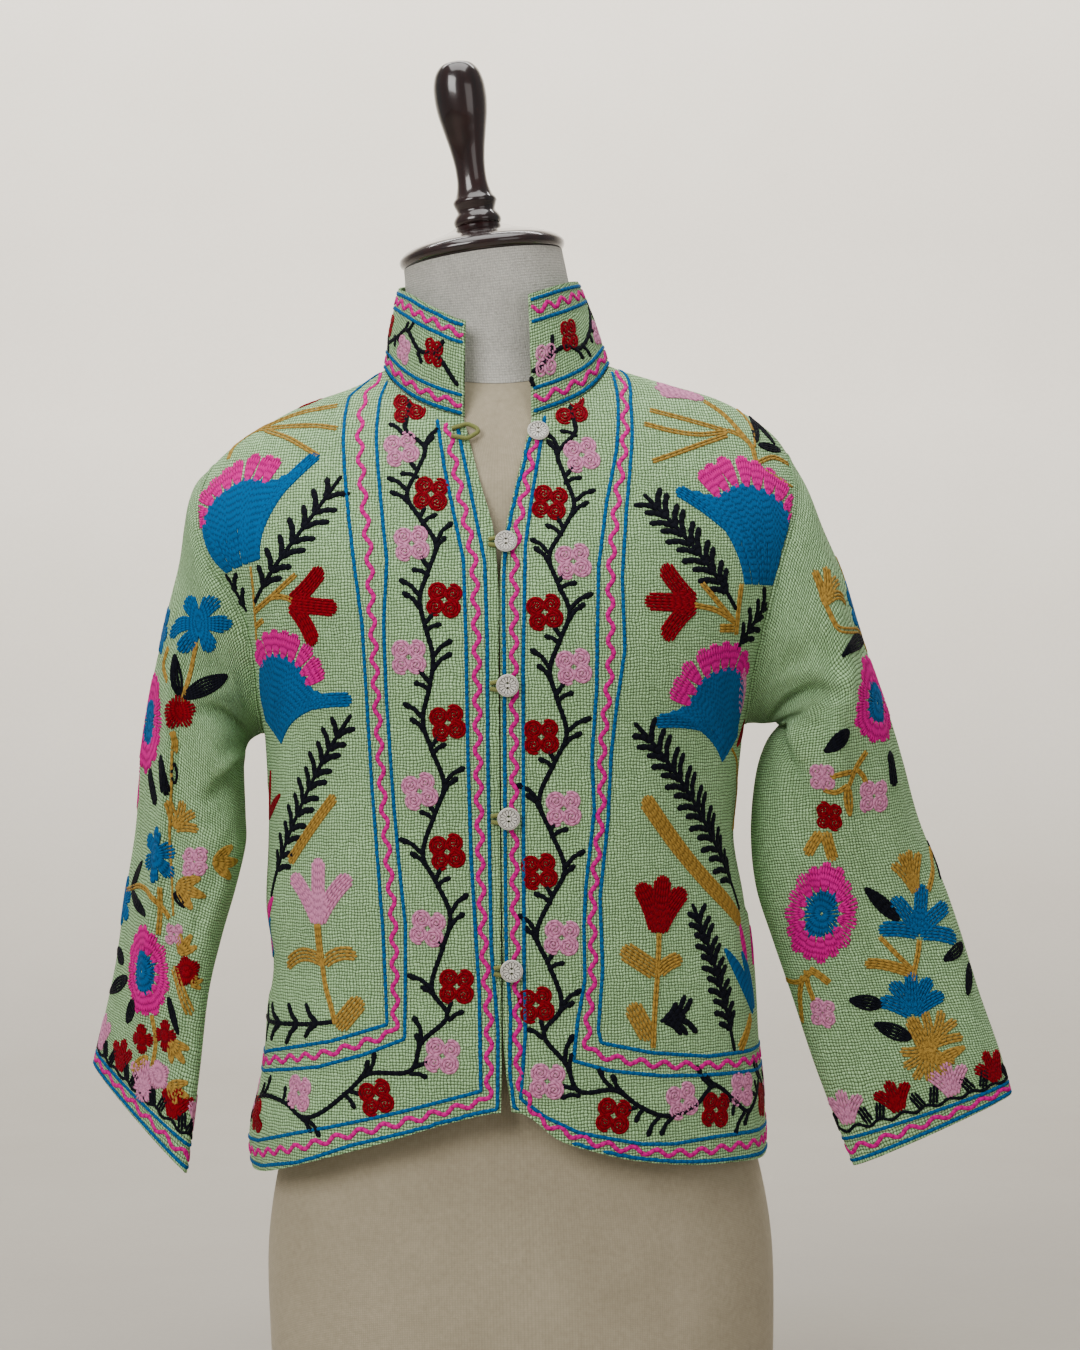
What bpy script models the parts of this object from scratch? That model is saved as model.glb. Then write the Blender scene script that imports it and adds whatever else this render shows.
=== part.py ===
"""Embroidered jacket on a limbless dress form, standing on the form's flat base.

Metres, +Z up. The front of the jacket faces -Y and the wearer's left is +X. The origin lies in
the form's flat base, 5 mm to the wearer's right of the base's centre. Right and left are the
wearer's.
"""

import math
from collections import namedtuple

import bmesh
import bpy
import numpy as np
from mathutils import Matrix, Vector

# Driving dimensions
CLOTH_WALL = 0.0016  # woven ground and its embroidery
COLLAR_WALL = 0.0026  # two layers
SEAM_HALF = 0.00025  # each piece's share of the gap at a seam
FORM_GAP = 0.0022  # between the cloth's inside and the form's shoulders
FORM_SHOULDER = 0.184  # half of the form's width across its arm plates
HEIGHT_BACK_NECK = 0.797
HEIGHT_VENT_TOP = 0.262
BUTTON_RADIUS = 0.008
BUTTON_THICK = 0.0024
HOLE_RADIUS = 0.0009
HOLE_APART = 0.0034
LOOP_RADIUS = 0.0011  # of the sewn cord that a button loop is made of
LOOP_BEND = 0.0031
LOOP_CLEAR = 0.0004
CAP_TILT = -6.9  # degrees, towards the wearer's right
CAP_SEAT = (-0.0105, 0.0, 0.8705)  # centre of the cap's underside
NECK_TOP_RADIUS = 0.0598

# Mesh steps
ARMHOLE_STEPS = 12  # along half an armhole, front or back
SIDE_STEPS = 9  # along a side seam
FRONT_STEPS = 11  # across one front
NECK_STEPS = 12  # round the back of the neck
SHOULDER_STEPS = 5  # along the back's edge of a shoulder seam
SLEEVE_RINGS = 25
COLLAR_ROWS = 3
EDGE_FADE = 4  # how fast a panel's upper and lower edges stop shaping its mesh
SHOULDER_EASE = 1.25  # how the mesh steps widen from the neck to the shoulder tip
FORM_SIDES = 36

# The jacket's level sections: half widths on each side, depths before and behind the side line,
# and how square the curve is (2 is an ellipse, less is pointed at the shoulder line). A half width
# of 0 is one that the armhole's position gives instead.
BodyRow = namedtuple("BodyRow", "height right left front back squareness")
body_rows = [
    BodyRow(0.185, 0.1935, 0.1905, 0.137, 0.144, 2.35),
    BodyRow(0.225, 0.1965, 0.1900, 0.138, 0.143, 2.35),
    BodyRow(0.255, 0.1890, 0.1885, 0.138, 0.141, 2.35),
    BodyRow(0.285, 0.1840, 0.1860, 0.138, 0.139, 2.35),
    BodyRow(0.315, 0.1815, 0.1850, 0.138, 0.137, 2.35),
    BodyRow(0.345, 0.1775, 0.1835, 0.138, 0.135, 2.35),
    BodyRow(0.390, 0.1825, 0.1780, 0.138, 0.133, 2.35),
    BodyRow(0.435, 0.1805, 0.1710, 0.138, 0.132, 2.35),
    BodyRow(0.480, 0.1785, 0.1745, 0.138, 0.133, 2.35),
    BodyRow(0.520, 0.1800, 0.1785, 0.139, 0.135, 2.35),
    BodyRow(0.560, 0.0, 0.0, 0.139, 0.136, 2.35),
    BodyRow(0.600, 0.0, 0.0, 0.136, 0.136, 2.30),
    BodyRow(0.640, 0.0, 0.0, 0.127, 0.133, 2.20),
    BodyRow(0.680, 0.0, 0.0, 0.112, 0.124, 2.05),
    BodyRow(0.705, 0.0, 0.0, 0.101, 0.115, 1.95),
    BodyRow(0.720, 0.2160, 0.2165, 0.094, 0.108, 1.85),
    BodyRow(0.735, 0.1995, 0.2060, 0.087, 0.100, 1.70),
    BodyRow(0.750, 0.1760, 0.1880, 0.079, 0.092, 1.52),
    BodyRow(0.765, 0.1460, 0.1600, 0.070, 0.084, 1.38),
    BodyRow(0.778, 0.1080, 0.1180, 0.063, 0.077, 1.46),
    BodyRow(0.790, 0.0865, 0.0835, 0.060, 0.072, 1.85),
    BodyRow(0.806, 0.0790, 0.0770, 0.058, 0.069, 2.00),
]

# The armholes: how far out each seam lies at a height. They start at the armpits.
ArmholeRow = namedtuple("ArmholeRow", "height right left")
armhole_rows = [
    ArmholeRow(0.519, 0.1800, 0.1785),
    ArmholeRow(0.545, 0.1815, 0.1815),
    ArmholeRow(0.575, 0.1830, 0.1870),
    ArmholeRow(0.600, 0.1870, 0.1930),
    ArmholeRow(0.625, 0.1985, 0.1995),
    ArmholeRow(0.650, 0.2150, 0.2070),
    ArmholeRow(0.675, 0.2230, 0.2150),
    ArmholeRow(0.700, 0.2225, 0.2180),
    ArmholeRow(0.720, 0.2160, 0.2165),
]
ARMHOLE_DEPTH = {"front": 0.064, "back": 0.070}  # before and behind the side line

# The front edges, from the hem to the collar, and the neckline up to the shoulder seam.
EdgeRow = namedtuple("EdgeRow", "share height right left")
front_edge_rows = [
    EdgeRow(0.00, 0.250, -0.0062, 0.0016),
    EdgeRow(0.08, 0.290, -0.0050, -0.0030),
    EdgeRow(0.20, 0.360, -0.0042, -0.0030),
    EdgeRow(0.34, 0.460, -0.0034, -0.0022),
    EdgeRow(0.48, 0.560, -0.0024, -0.0010),
    EdgeRow(0.57, 0.632, -0.0020, 0.0000),
    EdgeRow(0.62, 0.660, -0.0040, 0.0034),
    EdgeRow(0.69, 0.700, -0.0142, 0.0127),
    EdgeRow(0.76, 0.7465, -0.0255, 0.0245),
]
NeckRow = namedtuple("NeckRow", "share height right left")
neck_rows = [
    NeckRow(0.76, 0.7465, 0.0255, 0.0245),
    NeckRow(0.83, 0.7555, 0.0500, 0.0485),
    NeckRow(0.89, 0.7650, 0.0660, 0.0650),
    NeckRow(0.95, 0.7780, 0.0790, 0.0770),
    NeckRow(1.00, 0.7900, 0.0865, 0.0835),
]

# The hem's height round the jacket, by turn from centre front, positive to the wearer's left.
HemRow = namedtuple("HemRow", "turn height")
hem_rows = [
    HemRow(-180, 0.216),
    HemRow(-135, 0.211),
    HemRow(-90, 0.199),
    HemRow(-66, 0.2005),
    HemRow(-44, 0.2130),
    HemRow(-24, 0.2290),
    HemRow(-8, 0.2450),
    HemRow(-1, 0.2505),
    HemRow(1, 0.2505),
    HemRow(7, 0.2320),
    HemRow(16, 0.2200),
    HemRow(34, 0.2085),
    HemRow(56, 0.2045),
    HemRow(90, 0.2030),
    HemRow(135, 0.212),
    HemRow(180, 0.216),
]

# Soft folds of the body: a ridge from a high to a low point, its rise and its half width in
# degrees. A negative rise is a trough.
BodyFold = namedtuple("BodyFold", "turn_high high turn_low low rise spread")
body_folds = [
    BodyFold(-60, 0.515, -70, 0.235, 0.0035, 8),
    BodyFold(-84, 0.480, -80, 0.330, -0.0030, 7),
    BodyFold(-40, 0.470, -46, 0.190, 0.0028, 10),
    BodyFold(58, 0.515, 67, 0.200, 0.0032, 8),
    BodyFold(80, 0.500, 84, 0.380, -0.0030, 6),
    BodyFold(36, 0.450, 40, 0.195, -0.0022, 9),
    BodyFold(-112, 0.515, -118, 0.190, 0.0050, 8),
    BodyFold(-136, 0.510, -134, 0.190, -0.0050, 9),
    BodyFold(-158, 0.460, -154, 0.190, 0.0055, 9),
    BodyFold(-178, 0.560, -176, 0.190, -0.0040, 8),
    BodyFold(164, 0.430, 161, 0.190, 0.0060, 8),
    BodyFold(140, 0.510, 143, 0.190, -0.0045, 9),
    BodyFold(118, 0.510, 122, 0.190, 0.0055, 9),
    BodyFold(-146, 0.690, -135, 0.540, 0.0040, 6),
    BodyFold(147, 0.690, 134, 0.540, 0.0040, 6),
]

# The sleeves, ring by ring from the armhole to the cuff. Outer and inner points are where each
# ring's silhouette lies seen from the front, front and back are its depths before and behind the
# side line, and skew sets the outer point back and the inner point forward.
SleeveRow = namedtuple("SleeveRow", "outer_x outer_z inner_x inner_z front back skew")
left_sleeve_rows = [
    SleeveRow(0.2165, 0.7200, 0.1785, 0.5190, 0.064, 0.070, 0.000),
    SleeveRow(0.2295, 0.6960, 0.1860, 0.5195, 0.066, 0.071, 0.000),
    SleeveRow(0.2410, 0.6650, 0.1930, 0.5190, 0.067, 0.071, 0.000),
    SleeveRow(0.2546, 0.6316, 0.1995, 0.5195, 0.067, 0.069, 0.002),
    SleeveRow(0.2660, 0.5916, 0.2050, 0.5205, 0.066, 0.066, 0.004),
    SleeveRow(0.2785, 0.5540, 0.2060, 0.5195, 0.064, 0.062, 0.005),
    SleeveRow(0.2890, 0.5230, 0.1950, 0.5060, 0.061, 0.058, 0.006),
    SleeveRow(0.2985, 0.4900, 0.1865, 0.4813, 0.056, 0.052, 0.006),
    SleeveRow(0.3090, 0.4490, 0.1820, 0.4394, 0.048, 0.044, 0.006),
    SleeveRow(0.3242, 0.4083, 0.1850, 0.3980, 0.040, 0.036, 0.006),
    SleeveRow(0.3384, 0.3653, 0.1965, 0.3588, 0.034, 0.031, 0.005),
    SleeveRow(0.3526, 0.3163, 0.2110, 0.3143, 0.029, 0.027, 0.004),
    SleeveRow(0.3668, 0.2730, 0.2280, 0.2600, 0.025, 0.024, 0.003),
    SleeveRow(0.3755, 0.2390, 0.2545, 0.1875, 0.020, 0.020, 0.002),
]
right_sleeve_rows = [
    SleeveRow(0.2160, 0.7200, 0.1800, 0.5190, 0.064, 0.070, 0.000),
    SleeveRow(0.2290, 0.7060, 0.1850, 0.5170, 0.066, 0.071, 0.000),
    SleeveRow(0.2360, 0.6820, 0.1880, 0.5155, 0.067, 0.071, 0.001),
    SleeveRow(0.2417, 0.6492, 0.1915, 0.5126, 0.067, 0.070, 0.003),
    SleeveRow(0.2497, 0.6194, 0.1940, 0.5074, 0.066, 0.068, 0.006),
    SleeveRow(0.2578, 0.5880, 0.1956, 0.4984, 0.065, 0.066, 0.010),
    SleeveRow(0.2643, 0.5580, 0.1951, 0.4797, 0.063, 0.063, 0.014),
    SleeveRow(0.2709, 0.5240, 0.1940, 0.4571, 0.060, 0.059, 0.019),
    SleeveRow(0.2775, 0.4860, 0.1936, 0.4369, 0.056, 0.054, 0.024),
    SleeveRow(0.2828, 0.4437, 0.2009, 0.4055, 0.050, 0.048, 0.028),
    SleeveRow(0.2919, 0.3951, 0.2121, 0.3674, 0.043, 0.041, 0.032),
    SleeveRow(0.2995, 0.3487, 0.2218, 0.3270, 0.036, 0.034, 0.035),
    SleeveRow(0.3095, 0.3060, 0.2290, 0.2700, 0.028, 0.027, 0.037),
    SleeveRow(0.3190, 0.2690, 0.2395, 0.1962, 0.020, 0.020, 0.038),
]

# Sleeve folds run from one ring to another; angles are 0 at the inner point, 90 in front, 180 at
# the outer point and 270 behind.
SleeveFold = namedtuple("SleeveFold", "ring_from angle_from ring_to angle_to rise spread")
left_sleeve_folds = [
    SleeveFold(0.6, 150, 7.5, 84, 0.0055, 15),
    SleeveFold(1.6, 62, 4.6, 112, -0.0050, 13),
    SleeveFold(2.6, 22, 5.6, 66, 0.0045, 14),
    SleeveFold(6.2, 20, 8.6, 74, -0.0035, 13),
    SleeveFold(7.4, 150, 11.6, 118, -0.0030, 14),
    SleeveFold(8.2, 52, 12.4, 80, 0.0030, 15),
    SleeveFold(1.4, 214, 7.0, 262, 0.0055, 15),
    SleeveFold(2.2, 300, 5.4, 250, -0.0050, 13),
    SleeveFold(6.0, 322, 9.0, 276, -0.0040, 14),
    SleeveFold(8.4, 228, 12.2, 270, 0.0030, 15),
]
right_sleeve_folds = [
    SleeveFold(0.8, 140, 11.8, 112, 0.0050, 15),
    SleeveFold(1.8, 60, 4.8, 100, -0.0045, 13),
    SleeveFold(3.0, 24, 6.4, 70, 0.0045, 14),
    SleeveFold(5.6, 22, 8.2, 66, -0.0040, 13),
    SleeveFold(7.6, 158, 11.0, 146, -0.0030, 13),
    SleeveFold(8.6, 40, 12.0, 66, 0.0030, 15),
    SleeveFold(1.2, 218, 7.4, 258, 0.0055, 15),
    SleeveFold(2.4, 304, 5.6, 252, -0.0050, 13),
    SleeveFold(6.4, 318, 9.4, 280, -0.0040, 14),
    SleeveFold(8.8, 232, 12.4, 268, 0.0030, 15),
]

# The collar's upper edge, by turn from centre front.
COLLAR_CENTRE = (-0.0068, 0.001)
COLLAR_HALF_WIDTH = 0.0680
COLLAR_FRONT = 0.0770
COLLAR_BACK = 0.0690
COLLAR_CROWN = 0.0012  # how far the band's middle stands out
CollarRow = namedtuple("CollarRow", "turn height")
collar_rows = [
    CollarRow(-180, 0.862),
    CollarRow(-130, 0.858),
    CollarRow(-90, 0.8505),
    CollarRow(-60, 0.8420),
    CollarRow(-36, 0.8290),
    CollarRow(-12, 0.8175),
    CollarRow(12, 0.8300),
    CollarRow(36, 0.8400),
    CollarRow(60, 0.8480),
    CollarRow(90, 0.8535),
    CollarRow(130, 0.859),
    CollarRow(180, 0.862),
]
COLLAR_TOP_END = {"right": -14.0, "left": 27.0}  # turn at which each front end stops, at its top

# The dress form below the shoulders; middle is how far it stands to the wearer's left.
FormRow = namedtuple("FormRow", "height middle half_width front back")
form_rows = [
    FormRow(0.000, 0.0050, 0.184, 0.117, 0.129),
    FormRow(0.070, 0.0050, 0.188, 0.118, 0.132),
    FormRow(0.150, 0.0045, 0.187, 0.117, 0.131),
    FormRow(0.225, 0.0040, 0.172, 0.112, 0.118),
    FormRow(0.300, 0.0030, 0.147, 0.102, 0.099),
    FormRow(0.375, 0.0025, 0.128, 0.095, 0.086),
    FormRow(0.440, 0.0020, 0.131, 0.103, 0.092),
    FormRow(0.510, 0.0015, 0.145, 0.121, 0.102),
    FormRow(0.575, 0.0010, 0.154, 0.130, 0.109),
    FormRow(0.630, 0.0005, 0.163, 0.119, 0.114),
    FormRow(0.670, 0.0000, 0.172, 0.106, 0.114),
]
FORM_LEVELS = 17  # mesh rows from the base to the shoulders
FORM_SQUARENESS = 2.25

# The form's upper rings follow the jacket's inside, at these heights on the surface.
ShoulderRow = namedtuple("ShoulderRow", "front side back")
shoulder_rows = [
    ShoulderRow(0.700, 0.700, 0.700),
    ShoulderRow(0.716, 0.716, 0.716),
    ShoulderRow(0.729, 0.730, 0.730),
    ShoulderRow(0.740, 0.742, 0.742),
    ShoulderRow(0.749, 0.753, 0.753),
    ShoulderRow(0.757, 0.763, 0.764),
    ShoulderRow(0.7625, 0.770, 0.775),
]
# Where the shoulders turn up into the neck, and the seam at the foot of the neck.
NeckRing = namedtuple("NeckRing", "half_width front back z_front z_side z_back")
neck_rings = [
    NeckRing(0.0820, 0.0620, 0.0655, 0.7675, 0.7790, 0.7880),
    NeckRing(0.0690, 0.0600, 0.0620, 0.7720, 0.7890, 0.8010),
]

# Turned wood, height above the cap's underside and radius.
TurnRow = namedtuple("TurnRow", "height radius")
cap_rows = [
    TurnRow(0.0265, 0.0170),
    TurnRow(0.0245, 0.0200),
    TurnRow(0.0215, 0.0270),
    TurnRow(0.0180, 0.0385),
    TurnRow(0.0140, 0.0510),
    TurnRow(0.0095, 0.0600),
    TurnRow(0.0060, 0.0625),
    TurnRow(0.0025, 0.0618),
    TurnRow(0.0000, 0.0590),
]
handle_rows = [
    TurnRow(0.1500, 0.0060),
    TurnRow(0.1480, 0.0115),
    TurnRow(0.1430, 0.0160),
    TurnRow(0.1350, 0.0188),
    TurnRow(0.1240, 0.0197),
    TurnRow(0.1120, 0.0188),
    TurnRow(0.0980, 0.0160),
    TurnRow(0.0820, 0.0128),
    TurnRow(0.0680, 0.0112),
    TurnRow(0.0560, 0.0118),
    TurnRow(0.0485, 0.0140),
    TurnRow(0.0445, 0.0165),
    TurnRow(0.0405, 0.0152),
    TurnRow(0.0370, 0.0142),
    TurnRow(0.0330, 0.0168),
    TurnRow(0.0290, 0.0180),
    TurnRow(0.0269, 0.0172),
]

# Buttons and loops from the neck to the waist, by the button's centre seen from the front.
FasteningRow = namedtuple("FasteningRow", "button_x button_z fastened")
fastening_rows = [
    FasteningRow(0.0285, 0.7345, False),
    FasteningRow(0.0043, 0.6526, True),
    FasteningRow(0.0039, 0.5516, True),
    FasteningRow(0.0030, 0.4578, True),
    FasteningRow(0.0032, 0.3507, True),
]
LOOSE_LOOP_X = -0.0262  # where the open loop leaves the right front's edge
LOOSE_LOOP_Z = 0.7340
LOOSE_LOOP_REACH = 0.0125
LOOSE_LOOP_CLEAR = -0.0003  # the flat faces of the front lie inside its smooth form there

COLOURS = {
    "sage": (0.26, 0.36, 0.17, 1.0),
    "linen": (0.60, 0.56, 0.45, 1.0),
    "grey": (0.55, 0.53, 0.47, 1.0),
    "wood": (0.045, 0.012, 0.010, 1.0),
    "enamel": (0.72, 0.70, 0.64, 1.0),
    "olive": (0.20, 0.22, 0.05, 1.0),
}


def column(rows, name):
    return np.array([getattr(row, name) for row in rows], float)


def smooth(where, places, values):
    """Cubic curve through values at places, read at where, and flat beyond the ends."""
    where = np.asarray(where, float)
    slopes = np.gradient(values, places, axis=0)
    index = np.clip(np.searchsorted(places, where) - 1, 0, len(places) - 2)
    step = places[index + 1] - places[index]
    t = np.clip((where - places[index]) / step, 0, 1)
    low, high = values[index], values[index + 1]
    rise = slopes[index] * step, slopes[index + 1] * step
    return (
        low * (1 + 2 * t) * (1 - t) ** 2
        + high * t**2 * (3 - 2 * t)
        + rise[0] * t * (1 - t) ** 2
        - rise[1] * t**2 * (1 - t)
    )


def read(rows, key, name, where):
    return smooth(where, column(rows, key), column(rows, name))


def fade(share):
    """0 at both ends of a fold and 1 along its middle."""
    return np.sin(np.pi * np.clip(share, 0, 1)) ** 0.7


def signed_power(value, power):
    return np.sign(value) * np.abs(value) ** power


def armhole_depth(share, deepest):
    """Distance of the armhole from the side line, from the armpit (0) to the shoulder tip (1)."""
    angle = np.arccos(np.clip(1 - 2 * share, -1, 1))
    return deepest * np.where(angle < np.pi / 2, np.sin(angle), np.sin(angle) ** 1.3)


def half_width(height, side, face):
    """Half width of the jacket's section, solved above the armpit so that it meets the armhole."""
    armpit = armhole_rows[0].height
    tip = armhole_rows[-1].height
    outside = [row for row in body_rows if getattr(row, side)]
    plain = read(outside, "height", side, height)
    deep = read(body_rows, "height", face, height)
    square = read(body_rows, "height", "squareness", height)
    share = np.clip((height - armpit) / (tip - armpit), 0, 1)
    cut = np.clip(armhole_depth(share, ARMHOLE_DEPTH[face]) / deep, 0, 0.95)
    seam = read(armhole_rows, "height", side, height)
    solved = seam / (1 - cut**square) ** (1 / square)
    return np.where((height > armpit) & (height < tip), solved, plain)


def fold_rise(turn, height):
    total = np.zeros(np.broadcast(turn, height).shape)
    for fold in body_folds:
        share = (fold.high - height) / (fold.high - fold.low)
        centre = fold.turn_high + (fold.turn_low - fold.turn_high) * share
        away = (turn - centre + 180) % 360 - 180
        strength = np.where(share > 1, 0, fade(np.minimum(share, 0.6)))
        total = total + fold.rise * strength * np.exp(-((away / fold.spread) ** 2))
    return total


def section(turn, height):
    """Point on the smooth section at a turn and a height."""
    angle = np.radians(turn)
    square = read(body_rows, "height", "squareness", height)
    to_right, before = np.sin(angle) < 0, np.cos(angle) > 0
    wide = {
        (side, face): half_width(height, side, face)
        for side in ("right", "left")
        for face in ("front", "back")
    }
    front_wide = np.where(to_right, wide["right", "front"], wide["left", "front"])
    back_wide = np.where(to_right, wide["right", "back"], wide["left", "back"])
    wide = np.where(before, front_wide, back_wide)
    front = read(body_rows, "height", "front", height)
    deep = np.where(before, front, read(body_rows, "height", "back", height))
    x = wide * signed_power(np.sin(angle), 2 / square)
    y = -deep * signed_power(np.cos(angle), 2 / square)
    return np.stack([x, y, np.broadcast_to(height, x.shape)], -1)


def section_normal(turn, height):
    across = section(turn + 2.0, height) - section(turn - 2.0, height)
    up = section(turn, height + 0.003) - section(turn, height - 0.003)
    normal = np.cross(across, up)
    return normal / np.linalg.norm(normal, axis=-1, keepdims=True)


def on_jacket(turn, height):
    """Point on the jacket's outer face, folds included."""
    turn, height = np.broadcast_arrays(np.asarray(turn, float), np.asarray(height, float))
    rise = fold_rise(turn, height)[..., None]
    return section(turn, height) + rise * section_normal(turn, height)


def jacket_normal(turn, height):
    turn, height = np.broadcast_arrays(np.asarray(turn, float), np.asarray(height, float))
    across = on_jacket(turn + 1.5, height) - on_jacket(turn - 1.5, height)
    up = on_jacket(turn, height + 0.003) - on_jacket(turn, height - 0.003)
    normal = np.cross(across, up)
    return normal / np.linalg.norm(normal, axis=-1, keepdims=True)


def turn_at(x, height, side):
    """Turn at which the front of the section lies at a distance x from the middle."""
    square = read(body_rows, "height", "squareness", height)
    share = np.clip(np.abs(x) / half_width(height, side, "front"), 0, 1)
    return np.sign(x) * np.degrees(np.arcsin(share ** (square / 2)))


def armhole_turn(share, side, face):
    """Turn and height of the armhole seam on the front or back."""
    armpit, tip = armhole_rows[0].height, armhole_rows[-1].height
    height = armpit + (tip - armpit) * share
    square = read(body_rows, "height", "squareness", height)
    cut = armhole_depth(share, ARMHOLE_DEPTH[face]) / read(body_rows, "height", face, height)
    from_side = 90 - np.degrees(np.arccos(cut ** (square / 2)))
    turn = 90 - from_side if face == "front" else 90 + from_side
    return (turn if side == "left" else -turn), height


def side_edge(side, face):
    """Turns and heights up the side seam and the armhole, one row for each mesh row."""
    sign = 1 if side == "left" else -1
    low = read(hem_rows, "turn", "height", sign * 90)
    heights = np.linspace(low, armhole_rows[0].height, SIDE_STEPS + 1)
    vent = np.clip((HEIGHT_VENT_TOP - heights) / (HEIGHT_VENT_TOP - low), 0, 1)
    apart = 1.6 * vent**0.8
    turns = sign * (90 - apart if face == "front" else 90 + apart)
    shares = (1 - np.cos(np.linspace(0, np.pi, ARMHOLE_STEPS + 1)[1:])) / 2
    hole_turns, hole_heights = armhole_turn(shares, side, face)
    return np.concatenate([turns, hole_turns]), np.concatenate([heights, hole_heights])


def coons(left, right, bottom, top):
    """Grid between four edges, each an array of (turn, height) rows."""
    rows, columns = len(left), len(bottom)
    u = np.linspace(0, 1, columns)[None, :, None]
    v = np.linspace(0, 1, rows)[:, None, None]
    sides = (1 - u) * left[:, None] + u * right[:, None]
    sag = bottom[None] - (1 - u) * bottom[0] - u * bottom[-1]
    crown = top[None] - (1 - u) * top[0] - u * top[-1]
    return sides + (1 - v) ** EDGE_FADE * sag + v**EDGE_FADE * crown


def neck_corner(count):
    """Mesh row at which a front's edge turns into its neckline."""
    return int(np.argmin(np.abs(np.linspace(0, 1, count) - front_edge_rows[-1].share)))


def front_inner_edge(side, count):
    """Turns and heights up the front edge and round the neckline to the shoulder seam."""
    corner = neck_corner(count)
    straight_end = front_edge_rows[-1].share
    low = np.linspace(0, straight_end, corner + 1)
    high = np.linspace(straight_end, 1, count - corner)[1:]
    heights = np.concatenate(
        [
            read(front_edge_rows, "share", "height", low),
            read(neck_rows, "share", "height", high),
        ]
    )
    sign = 1 if side == "left" else -1
    reach = np.concatenate(
        [
            read(front_edge_rows, "share", side, low),
            sign * read(neck_rows, "share", side, high),
        ]
    )
    return np.stack([turn_at(reach, heights, side), heights], -1)


def pull_back(points, axis, end, distance):
    """Moves one edge of a grid inwards along its surface."""
    points = np.moveaxis(points, axis, 0)
    edge, inside = (0, 1) if end == 0 else (-1, -2)
    way = points[inside] - points[edge]
    way = way / np.maximum(np.linalg.norm(way, axis=-1, keepdims=True), 1e-9)
    points[edge] = points[edge] + way * distance


def make_material(name, colour, roughness, metallic=0.0):
    material = bpy.data.materials.new(name)
    material.use_nodes = True
    shader = material.node_tree.nodes["Principled BSDF"]
    shader.inputs["Base Color"].default_value = COLOURS[colour]
    shader.inputs["Roughness"].default_value = roughness
    shader.inputs["Metallic"].default_value = metallic
    return material


def add_object(name, mesh, collection, material):
    obj = bpy.data.objects.new(name, mesh)
    collection.objects.link(obj)
    mesh.materials.append(material)
    return obj


def grid_faces(rows, columns, wrap, start, flip):
    """Quads of a grid whose points are numbered row by row."""
    last = columns if wrap else columns - 1
    row, col = np.meshgrid(np.arange(rows - 1), np.arange(last), indexing="ij")
    a = start + row * columns + col
    b = start + row * columns + (col + 1) % columns
    faces = np.stack([a, b, b + columns, a + columns], -1).reshape(-1, 4)
    return faces[:, ::-1] if flip else faces


def rim_faces(outer, inner):
    """Quads between two matching chains of point numbers."""
    return np.stack([outer[:-1], inner[:-1], inner[1:], outer[1:]], -1)


def cloth(name, points, normals, wall, collection, material, wrap=False):
    """Closed wall of cloth from a grid of outer points: its inside is moved in by the wall."""
    rows, columns = points.shape[:2]
    inside = points - wall * normals
    count = rows * columns
    number = np.arange(count).reshape(rows, columns)
    faces = [
        grid_faces(rows, columns, wrap, 0, False),
        grid_faces(rows, columns, wrap, count, True),
    ]
    bottom, top = number[0], number[-1]
    if wrap:
        bottom, top = np.append(bottom, bottom[0]), np.append(top, top[0])
    faces.append(rim_faces(bottom, bottom + count))
    faces.append(rim_faces(top[::-1], top[::-1] + count))
    if not wrap:
        faces.append(rim_faces(number[::-1, 0], number[::-1, 0] + count))
        faces.append(rim_faces(number[:, -1], number[:, -1] + count))
    mesh = bpy.data.meshes.new(name)
    places = np.concatenate([points.reshape(-1, 3), inside.reshape(-1, 3)])
    mesh.from_pydata(places.tolist(), [], np.concatenate(faces).tolist())
    tidy_mesh(mesh)
    return add_object(name, mesh, collection, material)


def tidy_mesh(mesh):
    """Welds coincident points, turns faces outwards and shades the round ones smooth."""
    work = bmesh.new()
    work.from_mesh(mesh)
    bmesh.ops.remove_doubles(work, verts=work.verts, dist=0.00002)
    bmesh.ops.recalc_face_normals(work, faces=work.faces)
    work.to_mesh(mesh)
    work.free()
    mesh.shade_smooth()
    mesh.set_sharp_from_angle(angle=math.radians(50))


def solid_loft(name, rings, collection, material):
    """Closed solid through level rings, with a fan over each end."""
    rows, columns = rings.shape[:2]
    places = np.concatenate([rings.reshape(-1, 3), rings[:1].mean(1), rings[-1:].mean(1)])
    ring = np.arange(columns)
    after = (ring + 1) % columns
    low, high = rows * columns, rows * columns + 1
    top = (rows - 1) * columns
    faces = grid_faces(rows, columns, True, 0, False).tolist()
    faces += np.stack([after, ring, np.full(columns, low)], -1).tolist()
    faces += np.stack([top + ring, top + after, np.full(columns, high)], -1).tolist()
    mesh = bpy.data.meshes.new(name)
    mesh.from_pydata(places.tolist(), [], faces)
    tidy_mesh(mesh)
    return add_object(name, mesh, collection, material)


def turned(name, rows, segments, collection, material):
    """Screw of a profile that runs down its outer side, closed on the axis at both ends."""
    profile = [(0.0, 0.0, rows[0].height)]
    profile += [(row.radius, 0.0, row.height) for row in rows]
    profile.append((0.0, 0.0, rows[-1].height))
    edges = [(i, i + 1) for i in range(len(profile) - 1)]
    mesh = bpy.data.meshes.new(name)
    mesh.from_pydata(profile, edges, [])
    obj = add_object(name, mesh, collection, material)
    screw = obj.modifiers.new("Turn", "SCREW")
    screw.steps = screw.render_steps = segments
    screw.use_merge_vertices = True
    screw.merge_threshold = 0.00001
    screw.use_smooth_shade = True
    return obj


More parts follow.
